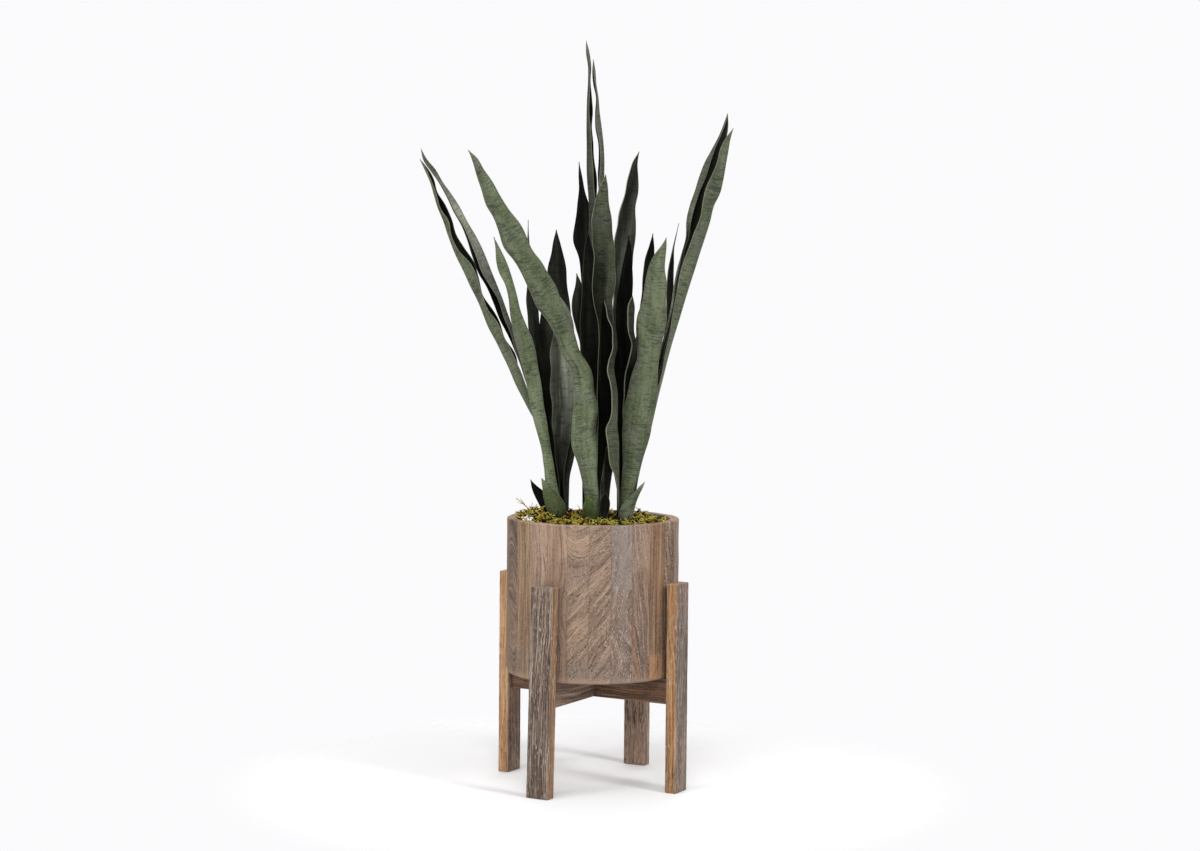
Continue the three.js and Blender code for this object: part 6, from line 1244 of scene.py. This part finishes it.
def board(name, width, thick, length, place, mat, replaces, seed, rad=1.7):
    """A brushed board with eased edges and shallow grain grooves. place maps across, depth, along (mm) to the frame."""
    nw, nt = 26, 12
    w, t = width / 2, thick / 2

    def sec(r):
        pts, nar = [], []
        xs = np.linspace(-w + r, w - r, nw)
        ts = np.linspace(-t + r, t - r, nt)
        arcs = lambda cx, cy, a0: [(cx + r * math.cos(math.radians(a)), cy + r * math.sin(math.radians(a))) for a in np.linspace(a0, a0 + 90, 5)[1:-1]]
        pts += [(x, -t) for x in xs]; nar += [0.0] * nw
        pts += arcs(w - r, -t + r, -90); nar += [0.3, 0.5, 0.7]
        pts += [(w, y) for y in ts]; nar += [1.0] * nt
        pts += arcs(w - r, t - r, 0); nar += [0.7, 0.5, 0.3]
        pts += [(x, t) for x in xs[::-1]]; nar += [0.0] * nw
        pts += arcs(-w + r, t - r, 90); nar += [0.3, 0.5, 0.7]
        pts += [(-w, y) for y in ts[::-1]]; nar += [1.0] * nt
        pts += arcs(-w + r, -t + r, 180); nar += [0.7, 0.5, 0.3]
        return np.array(pts), np.array(nar)

    s, nar = sec(rad)
    m = len(s)
    nrm = s - np.clip(s, [-w + rad, -t + rad], [w - rad, t - rad])
    nrm /= np.linalg.norm(nrm, axis=1, keepdims=True)
    perim = np.r_[0, np.cumsum(np.linalg.norm(np.diff(s, axis=0), axis=1))]
    ends = [0.0, 0.25, 0.75, 1.5]
    zs = np.r_[ends, np.linspace(4, length - 4, max(24, int(length / 5))), [length - e for e in ends[::-1]]]
    gr = Waves(seed, 3.4, 12, 0.5)
    slow = Waves(seed + 1, 55, 6)
    rows, groove_all = [], []
    for z in zs:
        e = min(z, length - z)
        inset = 1.5 - math.sqrt(max(0.0, 1.5 ** 2 - (1.5 - min(e, 1.5)) ** 2)) if e < 1.5 else 0.0
        wob = Waves(seed + 2, 120, 4)(np.full(m, z)) * 1.2
        g = np.clip(gr(perim + wob + slow(np.full(m, z)) * 0.8), 0.0, 1.5) * 0.22 * (0.6 + 0.4 * slow(np.full(m, z), perim))
        g = np.maximum(g, 0)
        edge = np.abs(Waves(seed + 5, 26, 5)(np.full(m, z), perim)) * np.where((nar > 0.1) & (nar < 0.9), 0.45, 0.0)
        rows.append(s - nrm * (inset + g + edge)[:, None])
        groove_all.append(g / 0.3)
    sec3 = np.array(rows)
    local = np.concatenate([sec3, np.repeat(zs[:, None, None], m, 1)], axis=2)
    verts = local.reshape(-1, 3)
    faces = [(i * m + j, i * m + (j + 1) % m, (i + 1) * m + (j + 1) % m, (i + 1) * m + j) for i in range(len(zs) - 1) for j in range(m)]
    faces.append(tuple(range(m))[::-1])
    faces.append(tuple((len(zs) - 1) * m + j for j in range(m)))
    pos = place(verts)
    wv = verts * MM
    worn = np.repeat(np.where((nar > 0.1) & (nar < 0.9), 0.35, 0.0)[None], len(zs), 0)
    worn[:3] += 0.25; worn[-3:] += 0.35
    narrow = np.repeat(nar[None], len(zs), 0)
    return mesh_object(name, pos, faces, dict(wv=wv, worn=worn.ravel(), narrow=narrow.ravel(), groove=np.array(groove_all).ravel()),
                       mat, replaces=replaces)


def leg_place(theta, lean):
    c, sn = math.cos(theta), math.sin(theta)

    def f(v):
        y, x, z = v[:, 0], v[:, 1], v[:, 2]                # across = tangential, depth = radial
        y = -y + (lean / LEG_H) * z - lean / 2
        X = (LEG_MID + x)
        return np.stack([AX + (X * c - y * sn) * MM, AY + (X * sn + y * c) * MM, z * MM], 1)
    return f


LEGS = [("front_left", -90, LEAN), ("front_right", 0, 0), ("back_right", 90, 0), ("back_left", 180, 0)]
LEG_WOOD = {
    "front_left": dict(tones=(lin(132, 112, 99), lin(172, 154, 140), lin(74, 60, 52)),
                       narrow=(lin(152, 118, 88), lin(176, 142, 108), lin(104, 78, 58)), accent=lin(142, 108, 82), accent_amt=0.35),
    "front_right": dict(tones=(lin(124, 108, 98), lin(158, 142, 131), lin(84, 71, 63)),
                        narrow=(lin(166, 122, 80), lin(188, 148, 108), lin(116, 80, 48)), accent=GREY_D, accent_amt=0.3,
                        zones=((-0.01, 0.09, lin(162, 140, 126), 0.6), (0.27, 0.33, lin(130, 108, 96), 0.5))),
    "back_right": dict(tones=(lin(154, 128, 111), lin(192, 169, 152), lin(106, 85, 72)),
                       narrow=(lin(152, 128, 110), lin(180, 158, 142), lin(110, 90, 76)), accent=lin(150, 112, 84), accent_amt=0.35,
                       zones=((-0.01, 0.07, lin(190, 160, 140), 0.7),)),
    "back_left": dict(tones=(lin(146, 122, 106), lin(178, 156, 138), lin(96, 78, 67)),
                      narrow=(lin(200, 154, 112), lin(218, 178, 138), lin(160, 114, 76)), accent=lin(150, 114, 84), accent_amt=0.3),
}
LENGTHWISE = ((1.0, 0.0), (1.0, 0.0), 0.1, 0.2, 0.0, 0.02)
for k, (nm, deg, lean) in enumerate(LEGS):
    mat = wood(f"leg_wood_{nm}", 41 + k * 3.3, figure=LENGTHWISE, lines=1.0, late=0.85, light=0.55, dark=0.6,
               stain=0.25, grain=430.0, pore=(110.0, 95.0), **LEG_WOOD[nm])
    board(f"leg_{nm}", LEG_W, LEG_T, LEG_H, leg_place(math.radians(deg) - STAND_TURN, lean), mat,
          (f"stand_leg_{nm}",), 500 + 10 * k)


def bar_piece(node, name, theta, mat):
    """The CAD bar with its lap, its edges eased."""
    import bmesh
    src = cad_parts[node].data
    bm = bmesh.new()
    bm.from_mesh(src)
    bmesh.ops.remove_doubles(bm, verts=bm.verts, dist=1e-6)
    bmesh.ops.dissolve_limit(bm, angle_limit=math.radians(2), verts=bm.verts, edges=bm.edges)
    sharp = [e for e in bm.edges if len(e.link_faces) == 2 and e.calc_face_angle(0) > 0.5]
    bmesh.ops.bevel(bm, geom=sharp, offset=0.0009, segments=3, profile=0.6, affect="EDGES", clamp_overlap=True)
    bmesh.ops.recalc_face_normals(bm, faces=bm.faces)
    me = bpy.data.meshes.new(name)
    bm.to_mesh(me)
    bm.free()
    co = np.array([v.co for v in me.vertices])
    c, s = math.cos(theta), math.sin(theta)
    dx, dy = co[:, 0] - AX, co[:, 1] - AY
    along, across = dx * c + dy * s, -dx * s + dy * c
    zc = co[:, 2] - 0.1498
    wv = np.stack([zc, across, along], 1).astype(np.float32)
    me.attributes.new("wv", "FLOAT_VECTOR", "POINT").data.foreach_set("vector", wv.ravel())
    me.attributes.new("worn", "FLOAT", "POINT").data.foreach_set("value", np.zeros(len(co), np.float32))
    me.attributes.new("narrow", "FLOAT", "POINT").data.foreach_set("value", np.zeros(len(co), np.float32))
    me.materials.append(mat)
    me.polygons.foreach_set("use_smooth", [False] * len(me.polygons))
    ob = bpy.data.objects.new(name, me)
    scene.collection.objects.link(ob)
    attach(ob, "root")
    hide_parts(node)
    return ob


bar_piece("stand_bar_upper", "bar_upper", -STAND_TURN,
          wood("bar_wood_upper", 61.0, (lin(132, 104, 84), lin(164, 134, 110), lin(84, 64, 52)), figure=LENGTHWISE,
               lines=0.8, late=0.6, light=0.15, dark=0.5, accent=lin(146, 98, 66), accent_amt=0.5))
bar_piece("stand_bar_lower", "bar_lower", -STAND_TURN + math.pi / 2,
          wood("bar_wood_lower", 67.0, (lin(170, 142, 122), lin(204, 180, 160), lin(112, 92, 77)), figure=LENGTHWISE,
               lines=0.85, late=0.6, light=0.35, dark=0.5, accent=lin(156, 118, 88), accent_amt=0.4))


def box_attr_material(name, seed, tones):
    """Wood for a carried-over node, which has no board attributes: grain along X."""
    g = Graph(name)
    pos = g.node("TexCoord").outputs["Object"]
    p = g.vec("MULTIPLY", pos, (9.0, 260.0, 260.0))
    fine = g.noise(g.vec("ADD", p, (seed, 0.0, 0.0)), 1.0, 3.0, 0.62)
    broad = g.noise(g.vec("MULTIPLY", pos, (5.0, 60.0, 60.0)), 1.0, 2.0)
    c = g.mix(g.ramp(broad, 0.35, 0.65), tones[2], tones[0])
    c = g.mix(g.math("MULTIPLY", g.ramp(fine, 0.45, 0.7), 0.6), c, tones[1])
    _, y, _ = g.split(pos)
    seam = g.math("FRACT", g.math("MULTIPLY", y, 1000.0 / 58.0))
    c = g.mix(g.ramp(seam, 0.02, 0.0, 0.0, 0.8), c, DARK)
    return g.surface(c, 0.72, g.bump(fine, 0.4, 0.0005), Specular_IOR_Level=0.25)


def repaint(node, mat):
    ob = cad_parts[node]
    if not ob.data.materials:
        ob.data.materials.append(mat)
    for sl in ob.material_slots:
        sl.material = mat


repaint("pot_base", box_attr_material("base_wood", 2.0, T))


# ---- soil and moss --------------------------------------------------------------------------
def soil_material():
    g = Graph("soil")
    pos = g.node("TexCoord").outputs["Object"]
    a = g.noise(pos, 240.0, 4.0, 0.65)
    b = g.noise(pos, 900.0, 2.0, 0.6)
    c = g.mix(g.ramp(a, 0.35, 0.7), lin(34, 25, 18), lin(82, 62, 44))
    c = g.mix(g.ramp(b, 0.66, 0.72), c, lin(150, 132, 110))
    return g.surface(c, 0.9, g.bump(a, 0.8, 0.002), Specular_IOR_Level=0.2)


repaint("potting_soil", soil_material())

SOIL_Z = 388.4
MOSS_R = 115.2
lump1, lump2 = Waves(21, 46, 8), Waves(22, 20, 8)
# heaps and hollows of the moss: x, y, reach along x, reach along y, height (mm)
HEAPS = [(-90, 6, 22, 34, 13.0), (98, 22, 15, 24, -8.0), (25, -34, 11, 12, -6.0), (66, -30, 14, 12, -6.0), (-38, -30, 9, 9, -5.0),
         (-4, -66, 12, 7, -5.0), (-16, -40, 6, 8, -5.0), (60, -76, 34, 20, 1.0), (-60, -60, 40, 22, -1.0)]


def moss_height(x, y):
    """Top of the moss mat, mm above the floor."""
    r = np.hypot(x, y) / MOSS_R
    h = 398.6 + 4.4 * (1 - np.clip(r, 0, 1) ** 3) + 1.7 * lump1(x, y) + 0.9 * lump2(x, y)
    for cx, cy, ax, ay, amt in HEAPS:
        h = h + amt * np.exp(-(((x - cx) / ax) ** 2 + ((y - cy) / ay) ** 2))
    return h


def moss_mat_material():
    g = Graph("moss_bed")
    pos = g.node("TexCoord").outputs["Object"]
    a = g.noise(pos, 160.0, 4.0, 0.7)
    b = g.noise(pos, 620.0, 3.0, 0.65)
    # dark soil brown, darkened further as painted shade for the gaps between tufts
    c = g.mix(g.ramp(a, 0.35, 0.65), lin(20, 14, 9), lin(46, 33, 15))
    c = g.mix(g.ramp(b, 0.60, 0.74, 0.0, 0.5), c, lin(92, 76, 26))
    h = g.math("ADD", a, b)
    return g.surface(c, 0.95, g.bump(h, 0.9, 0.002), Specular_IOR_Level=0.05)


def moss_strand_material():
    g = Graph("moss_strands")
    tone = g.attr("tone")
    along = g.attr("reach")
    pos = g.node("TexCoord").outputs["Object"]
    speck = g.noise(pos, 620.0, 2.0, 0.6)
    n = g.node("ValToRGB")
    g.put(n.inputs[0], tone)
    cr = n.color_ramp
    # the lowest, near-black stops colour the tufts painted as shade
    stops = [(0.0, lin(20, 15, 9)), (0.08, lin(44, 30, 13)), (0.15, lin(112, 76, 24)), (0.30, lin(156, 122, 28)), (0.48, lin(184, 158, 46)),
             (0.62, lin(206, 190, 84)), (0.76, lin(146, 152, 44)), (1.0, lin(84, 104, 28))]
    cr.elements[0].position, cr.elements[0].color = stops[0]
    cr.elements[1].position, cr.elements[1].color = stops[-1]
    for p, col in stops[1:-1]:
        e = cr.elements.new(p)
        e.color = col
    c = g.mix(g.math("MULTIPLY", g.ramp(along, 0.5, 1.0, 0.0, 0.5), g.ramp(tone, 0.08, 0.25)), n.outputs[0], lin(224, 210, 120))
    # painted shade at the foot of each frond, down among the tufts
    c = g.mix(g.ramp(along, 0.55, 0.05, 0.0, 0.92), c, lin(36, 25, 11))
    c = g.mix(g.ramp(speck, 0.5, 0.68, 0.0, 0.4), c, lin(78, 60, 20))
    return g.surface(c, 0.85, None, Specular_IOR_Level=0.08)


def build_moss_bed():
    rings, around = 46, 150
    rr = MOSS_R * np.linspace(0, 1, rings + 1)[1:]
    th = np.linspace(0, 2 * np.pi, around, endpoint=False)
    R, TH = np.meshgrid(rr, th, indexing="ij")
    x, y = R * np.cos(TH), R * np.sin(TH)
    fine = Waves(31, 9, 14)
    z = moss_height(x, y) - 6.0 + 1.1 * fine(x, y) + 0.6 * Waves(32, 5, 14)(x, y)
    z = np.where(R > MOSS_R - 3, np.minimum(z, 398.5), z)
    top = np.stack([x, y, z], -1).reshape(-1, 3)
    centre = np.array([[0, 0, moss_height(0.0, 0.0) - 6.0]])
    foot = np.stack([x[-1], y[-1], np.full(around, SOIL_Z)], -1)
    low = np.array([[0, 0, SOIL_Z]])
    verts = np.concatenate([centre, top, foot, low])
    faces = [(0, 1 + j, 1 + (j + 1) % around) for j in range(around)]
    for i in range(rings - 1):
        for j in range(around):
            a, b = 1 + i * around + j, 1 + i * around + (j + 1) % around
            faces.append((a, a + around, b + around, b))
    last, f0, lowi = 1 + (rings - 1) * around, 1 + rings * around, len(verts) - 1
    for j in range(around):
        k = (j + 1) % around
        faces.append((last + j, f0 + j, f0 + k, last + k))
        faces.append((lowi, f0 + k, f0 + j))
    return mesh_object("moss_bed", verts * MM + np.array([AX, AY, 0]), faces, None, moss_mat_material(),
                       replaces=("moss_topdressing",))


def strand_mesh(paths, radii):
    """Three-sided tapering tubes along each path: paths n by k by 3, radii n by k."""
    n, k, _ = paths.shape
    t = np.gradient(paths, axis=1)
    t /= np.maximum(np.linalg.norm(t, axis=2, keepdims=True), 1e-9)
    ref = np.where(np.abs(t[..., 2:3]) > 0.8, np.array([1.0, 0, 0]), np.array([0, 0, 1.0]))
    u = np.cross(t, ref)
    u /= np.maximum(np.linalg.norm(u, axis=2, keepdims=True), 1e-9)
    w = np.cross(u, t)
    rings = []
    for a in (90, 210, 330):
        rings.append(paths + (u * math.cos(math.radians(a)) + w * math.sin(math.radians(a))) * radii[..., None])
    v = np.stack(rings, 2)                                     # n, k, 3, 3
    verts = v.reshape(-1, 3)
    base = (np.arange(n) * k * 3)[:, None, None]
    seg = (np.arange(k - 1) * 3)[None, :, None]
    s = np.arange(3)[None, None, :]
    a = base + seg + s
    b = base + seg + (s + 1) % 3
    quads = np.stack([a, b, b + 3, a + 3], -1).reshape(-1, 4)
    tri0 = (np.arange(n) * k * 3)[:, None] + np.array([2, 1, 0])[None]
    tri1 = (np.arange(n) * k * 3)[:, None] + (k - 1) * 3 + np.array([0, 1, 2])[None]
    return verts, [tuple(q) for q in quads.tolist()] + [tuple(q) for q in tri0.tolist()] + [tuple(q) for q in tri1.tolist()]


CLUMPS = []
for grp in (("leaf_left_front", "leaf_left_tall_outer", "leaf_left_tall_inner", "leaf_left_middle", "leaf_left_back_broad", "leaf_left_back_spike", "sprout_left_curled", "sprout_left_dark"),
            ("leaf_front_diagonal", "leaf_centre_front", "leaf_centre_tall_left", "leaf_centre_tall_right", "leaf_centre_inner", "leaf_centre_short_left", "leaf_centre_back_left", "leaf_centre_back_right", "sprout_centre_front", "sprout_centre_right"),
            ("leaf_right_front_broad", "leaf_right_wavy_long", "leaf_right_wavy_short", "leaf_right_back", "leaf_right_back_spike", "leaf_right_tall_inner", "leaf_right_tall_outer", "leaf_right_inner", "sprout_right_curled")):
    pts = []
    for nme in grp:
        for row in LEAVES[nme][:2]:
            pts += [row[0:2], row[3:5], row[6:8]]
    CLUMPS.append(np.array(pts, float))


def near_clump(x, y):
    d = np.full(np.shape(x), 1e9)
    for c in CLUMPS:
        for px, py in c:
            d = np.minimum(d, np.hypot(x - px, y - py))
    return d


patches = Waves(81, 15, 12, 0.5)                           # where the moss is thick and where the soil shows


def build_tufts(name, seed, spacing, fronds, length, radius, rise, bare):
    """Small tufts of arching fronds with side nubs."""
    r = np.random.RandomState(seed)
    pts = []
    cell = {}
    for _ in range(9000):
        rad, th = 113.5 * math.sqrt(r.uniform()), r.uniform(0, 2 * math.pi)
        x, y = rad * math.cos(th), rad * math.sin(th)
        key = (int(x // spacing), int(y // spacing))
        near = [q for dx in (-1, 0, 1) for dy in (-1, 0, 1) for q in cell.get((key[0] + dx, key[1] + dy), [])]
        if any((x - u) ** 2 + (y - v) ** 2 < spacing ** 2 for u, v in near):
            continue
        cell.setdefault(key, []).append((x, y))
        pts.append((x, y))
    c = np.array(pts)
    keep = near_clump(c[:, 0], c[:, 1]) > 1.0
    keep &= patches(c[:, 0], c[:, 1]) > bare
    for cx, cy, ax, ay, amt in HEAPS:
        if amt < 0:
            d = ((c[:, 0] - cx) / ax) ** 2 + ((c[:, 1] - cy) / ay) ** 2
            keep &= r.uniform(0, 1, len(c)) > 0.75 * np.exp(-d)
    pale = ((c[:, 0] + 102) / 12) ** 2 + ((c[:, 1] + 34) / 18) ** 2        # the bare place with the pale crumbs
    keep &= r.uniform(0, 1, len(c)) > 0.97 * np.exp(-pale)
    c = c[keep]
    t = len(c)
    tuft_tone = np.clip(0.52 + 0.20 * Waves(71, 30, 7)(c[:, 0], c[:, 1]) + r.normal(0, 0.2, t), 0, 1)
    tuft_tone = np.where(r.uniform(0, 1, t) < 0.14, r.uniform(0.08, 0.2, t), tuft_tone)
    # painted shade: near-black tufts where the moss patches are thin, against the leaves' feet and a tenth at random,
    # where shade falls between clumps
    foot = near_clump(c[:, 0], c[:, 1])
    shade = (patches(c[:, 0], c[:, 1]) < np.where(c[:, 0] < -55, -0.7, -0.22)) | (r.uniform(0, 1, t) < 0.85 * smoothstep(16, 5, foot)) | (r.uniform(0, 1, t) < 0.10)
    tuft_tone = np.where(shade, r.uniform(0.0, 0.06, t), tuft_tone)
    tuft_z = moss_height(c[:, 0], c[:, 1]) - 5.0 + rise * r.uniform(0, 1, t)
    own = np.repeat(np.arange(t), fronds)
    n = len(own)
    k = 6
    L = length * np.exp(r.normal(0, 0.28, n))
    head = np.tile(np.arange(fronds) * 2 * math.pi / fronds, t) + np.repeat(r.uniform(0, 6.28, t), fronds) + r.normal(0, 0.3, n)
    elev = np.radians(r.normal(48, 20, n))
    hd = head[:, None] + r.normal(0, 0.25, (n, k)).cumsum(1)
    el = np.clip(elev[:, None] - np.linspace(0, 1, k)[None] * r.uniform(0.6, 1.7, n)[:, None] + r.normal(0, 0.12, (n, k)), -0.9, 1.35)
    step = (L / (k - 1))[:, None]
    d = np.stack([np.cos(hd) * np.cos(el), np.sin(hd) * np.cos(el), np.sin(el)], -1) * step[..., None]
    start = np.stack([c[own, 0] + r.normal(0, 0.8, n), c[own, 1] + r.normal(0, 0.8, n), tuft_z[own]], -1)
    path = start[:, None] + np.concatenate([np.zeros((n, 1, 3)), d[:, :-1].cumsum(1)], 1)
    R = radius * np.exp(r.normal(0, 0.2, n))[:, None] * np.array([0.9, 1.0, 0.95, 0.8, 0.62, 0.35])[None]
    # side nubs
    nubs = 5
    at = np.tile(np.array([1, 2, 2, 3, 4]), n)
    mine = np.repeat(np.arange(n), nubs)
    base = path[mine, at]
    along = path[mine, at + 1] - path[mine, at]
    along /= np.maximum(np.linalg.norm(along, axis=1, keepdims=True), 1e-9)
    side = np.cross(along, np.array([0, 0, 1.0]))
    side /= np.maximum(np.linalg.norm(side, axis=1, keepdims=True), 1e-9)
    side = side * np.tile(np.array([1, -1, 1, -1, 1.0]), n)[:, None]
    tipv = along * 0.7 + side + np.array([0, 0, 1.0]) * r.uniform(-0.1, 0.8, len(base))[:, None]
    ln = r.uniform(1.0, 2.4, len(base))[:, None] * (length / 9.0)
    nub = np.stack([base, base + tipv * ln * 0.9], 1)
    NR = radius * r.uniform(0.55, 0.85, len(base))[:, None] * np.array([0.9, 0.3])[None]

    def inside(q):
        # nothing pokes through the wall; above the rim it may reach a little over it
        rr = np.hypot(q[..., 0], q[..., 1])
        lim = np.where(q[..., 2] > 403.6, 120.0, 114.4)
        f = np.minimum(1.0, lim / np.maximum(rr, 1e-6))
        q[..., 0] *= f
        q[..., 1] *= f
        q[..., 2] = np.maximum(q[..., 2], SOIL_Z + 1)
        return q

    v1, f1 = strand_mesh(inside(path), R)
    v2, f2 = strand_mesh(inside(nub), NR)
    own_tone = np.clip(tuft_tone[own] + r.normal(0, 0.14, n) * np.where(shade[own], 0.15, 1.0), 0, 1)
    tone = np.r_[np.repeat(own_tone, k * 3), np.repeat(own_tone[mine], 6)]
    reach = np.r_[np.tile(np.repeat(np.linspace(0, 1, k), 3), n),
                  np.repeat(np.stack([at / 5.0, np.minimum(at / 5.0 + 0.3, 1.0)], 1).ravel(), 3)]
    faces = f1 + [tuple(i + len(v1) for i in q) for q in f2]
    return mesh_object(name, np.concatenate([v1, v2]) * MM + np.array([AX, AY, 0]), faces, dict(tone=tone, reach=reach), moss_mat)


build_moss_bed()
moss_mat = moss_strand_material()
build_tufts("moss_tufts_low", 5, 7.0, 5, 8.0, 1.05, 1.5, -2.0)
build_tufts("moss_tufts_high", 6, 8.8, 6, 9.5, 1.0, 4.0, -0.1)


def build_sprig():
    """A thin dry stalk with a few side twigs, at the left of the moss."""
    g = Graph("dry_sprig")
    pos = g.node("TexCoord").outputs["Object"]
    a = g.noise(pos, 500.0, 2.0)
    c = g.mix(g.ramp(a, 0.40, 0.60), lin(104, 72, 34), lin(190, 150, 70))
    mat = g.surface(c, 0.8, None, Specular_IOR_Level=0.2)
    stalks = [
        [(-93, -18, 405), (-97, -18.5, 416), (-103, -19, 421.5), (-109, -20, 426.5), (-114, -20, 430.5), (-116.4, -20, 432.5)],
        [(-103, -19, 421.5), (-105, -19.5, 425), (-107, -20, 427.5), (-108.5, -20, 429.5), (-109.5, -20, 431), (-110, -20, 432)],
        [(-106, -19, 424), (-108, -21, 424), (-110, -22, 424.5), (-112, -23, 425.5), (-113.5, -24, 426.5), (-115, -24, 428)],
        [(-95, -18, 410), (-94, -17, 414), (-93, -16, 418), (-92.5, -16, 421), (-92, -15, 424), (-91.5, -15, 426)],
    ]
    paths = np.array(stalks, float)
    r = np.array([[1.1, 1.0, 0.9, 0.85, 0.7, 0.45], [0.8, 0.75, 0.7, 0.6, 0.5, 0.35], [0.5, 0.5, 0.45, 0.4, 0.35, 0.25], [0.7, 0.7, 0.6, 0.6, 0.5, 0.4]])
    verts, faces = strand_mesh(paths, r)
    mesh_object("moss_sprig", verts * MM + np.array([AX, AY, 0]), faces, None, mat)


build_sprig()


def build_crumbs():
    """Small pale crumbs that lie between the moss and the wall at the left."""
    g = Graph("pale_crumbs")
    pos = g.node("TexCoord").outputs["Object"]
    a = g.noise(pos, 420.0, 3.0)
    c = g.mix(g.ramp(a, 0.35, 0.65), lin(214, 208, 198), lin(246, 244, 240))
    mat = g.surface(c, 0.9, g.bump(a, 0.5, 0.001), Specular_IOR_Level=0.2)
    import bmesh
    r = np.random.RandomState(9)
    bm = bmesh.new()
    for i in range(75):
        x, y = -101 + r.normal(0, 5), -37 + r.normal(0, 8)
        far = math.hypot(x, y)
        if far > 112.5:
            x, y = x * 112.5 / far, y * 112.5 / far
        z = float(moss_height(x, y)) + r.uniform(-3.0, 1.6)
        size = r.uniform(1.0, 2.4)
        got = bmesh.ops.create_icosphere(bm, subdivisions=2, radius=size * MM)
        stretch = np.array([r.uniform(0.8, 1.3), r.uniform(0.8, 1.3), r.uniform(0.6, 1.0)])
        for v in got["verts"]:
            k = 1 + 0.22 * math.sin(v.co.x * 2400 + i) * math.cos(v.co.y * 2100 + 2 * i) + 0.12 * math.sin(v.co.z * 3000 + i)
            v.co = Vector([v.co[j] * stretch[j] * k for j in range(3)]) + Vector((AX + x * MM, AY + y * MM, z * MM))
    me = bpy.data.meshes.new("moss_crumbs")
    bm.to_mesh(me)
    bm.free()
    me.materials.append(mat)
    me.polygons.foreach_set("use_smooth", [True] * len(me.polygons))
    ob = bpy.data.objects.new("moss_crumbs", me)
    scene.collection.objects.link(ob)
    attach(ob, "root")


build_crumbs()


# ---- floor, light and end -------------------------------------------------------------------
def build_floor():
    g = Graph("floor")
    geo = g.node("TexCoord").outputs["Object"]
    d = g.vec("LENGTH", g.vec("MULTIPLY", geo, (1.0, 1.0, 0.0)))
    n = g.node("BsdfDiffuse", None, Color=(0.86, 0.855, 0.86, 1.0), Roughness=0.5)
    tr = g.node("BsdfTransparent", None, Color=(1, 1, 1, 1))
    far = g.ramp(d, 0.26, 0.62)
    mx = g.node("MixShader", None, i0=far, i1=n.outputs[0], i2=tr.outputs[0])
    g.t.links.new(mx.outputs[0], g.out.inputs[0])
    me = bpy.data.meshes.new("floor")
    k = 96
    verts = [(0.0, 0.0, 0.0)] + [(0.7 * math.cos(2 * math.pi * i / k), 0.7 * math.sin(2 * math.pi * i / k), 0.0) for i in range(k)]
    me.from_pydata(verts, [], [(0, 1 + i, 1 + (i + 1) % k) for i in range(k)])
    me.materials.append(g.mat)
    ob = bpy.data.objects.new("floor", me)
    scene.collection.objects.link(ob)
    ob.location = (AX, AY, -0.0002)


build_floor()


def area_light(name, where, target, size, power, colour=(1, 1, 1)):
    d = bpy.data.lights.new(name, "AREA")
    d.shape = "RECTANGLE"
    d.size, d.size_y = size
    d.energy = power
    d.color = colour
    ob = bpy.data.objects.new(name, d)
    scene.collection.objects.link(ob)
    ob.location = where
    aim = Vector(target) - Vector(where)
    ob.rotation_euler = aim.to_track_quat("-Z", "Y").to_euler()


def around(az, el, dist, height=0.45):
    """A place round the object: azimuth 0 is towards the camera, positive to its right."""
    a, e = math.radians(az), math.radians(el)
    return (AX + dist * math.cos(e) * math.sin(a), AY - dist * math.cos(e) * math.cos(a), height + dist * math.sin(e))


MIDDLE = (AX, AY, 0.45)
area_light("side_left", around(-50, 30, 3.0), MIDDLE, (0.6, 0.9), 18)
area_light("side_right", around(50, 30, 3.0), MIDDLE, (0.6, 0.9), 34)
area_light("front_high", around(0, 35, 3.6), MIDDLE, (1.2, 0.8), 32)
area_light("front_left", around(-25, 30, 3.6), MIDDLE, (1.2, 0.8), 18)
area_light("back_high", (AX, AY + 1.4, 2.8), MIDDLE, (1.6, 1.2), 34)
area_light("overhead", (AX, AY, 2.9), MIDDLE, (1.6, 1.6), 12)

world = bpy.data.worlds.new("studio")
scene.world = world
world.use_nodes = True
wt = world.node_tree
wt.nodes.clear()


def world_node(kind, **inputs):
    n = wt.nodes.new("ShaderNode" + kind)
    for k, v in inputs.items():
        key = int(k[1:]) if k[0] == "i" and k[1:].isdigit() else k
        if isinstance(v, bpy.types.NodeSocket):
            wt.links.new(v, n.inputs[key])
        else:
            n.inputs[key].default_value = v
    return n


# the pale room: what the picture shows behind the object, and what lights it from above and from the floor beyond
seen = world_node("Background", i0=(0.962, 0.960, 0.975, 1), i1=1.0)
updown = world_node("SeparateXYZ", i0=world_node("TexCoord").outputs["Generated"])
level = world_node("MapRange", i0=updown.outputs[2], i1=-0.06, i2=0.03, i3=0.86, i4=0.385)
lit = world_node("Background", i0=(1, 1, 1, 1), i1=level.outputs[0])
pick = world_node("MixShader", i0=world_node("LightPath").outputs["Is Camera Ray"], i1=lit.outputs[0], i2=seen.outputs[0])
wt.links.new(pick.outputs[0], world_node("OutputWorld").inputs[0])

scene.view_settings.view_transform = "Standard"
scene.view_settings.look = "None"
scene.view_settings.exposure = 0.0
scene.view_settings.gamma = 1.0
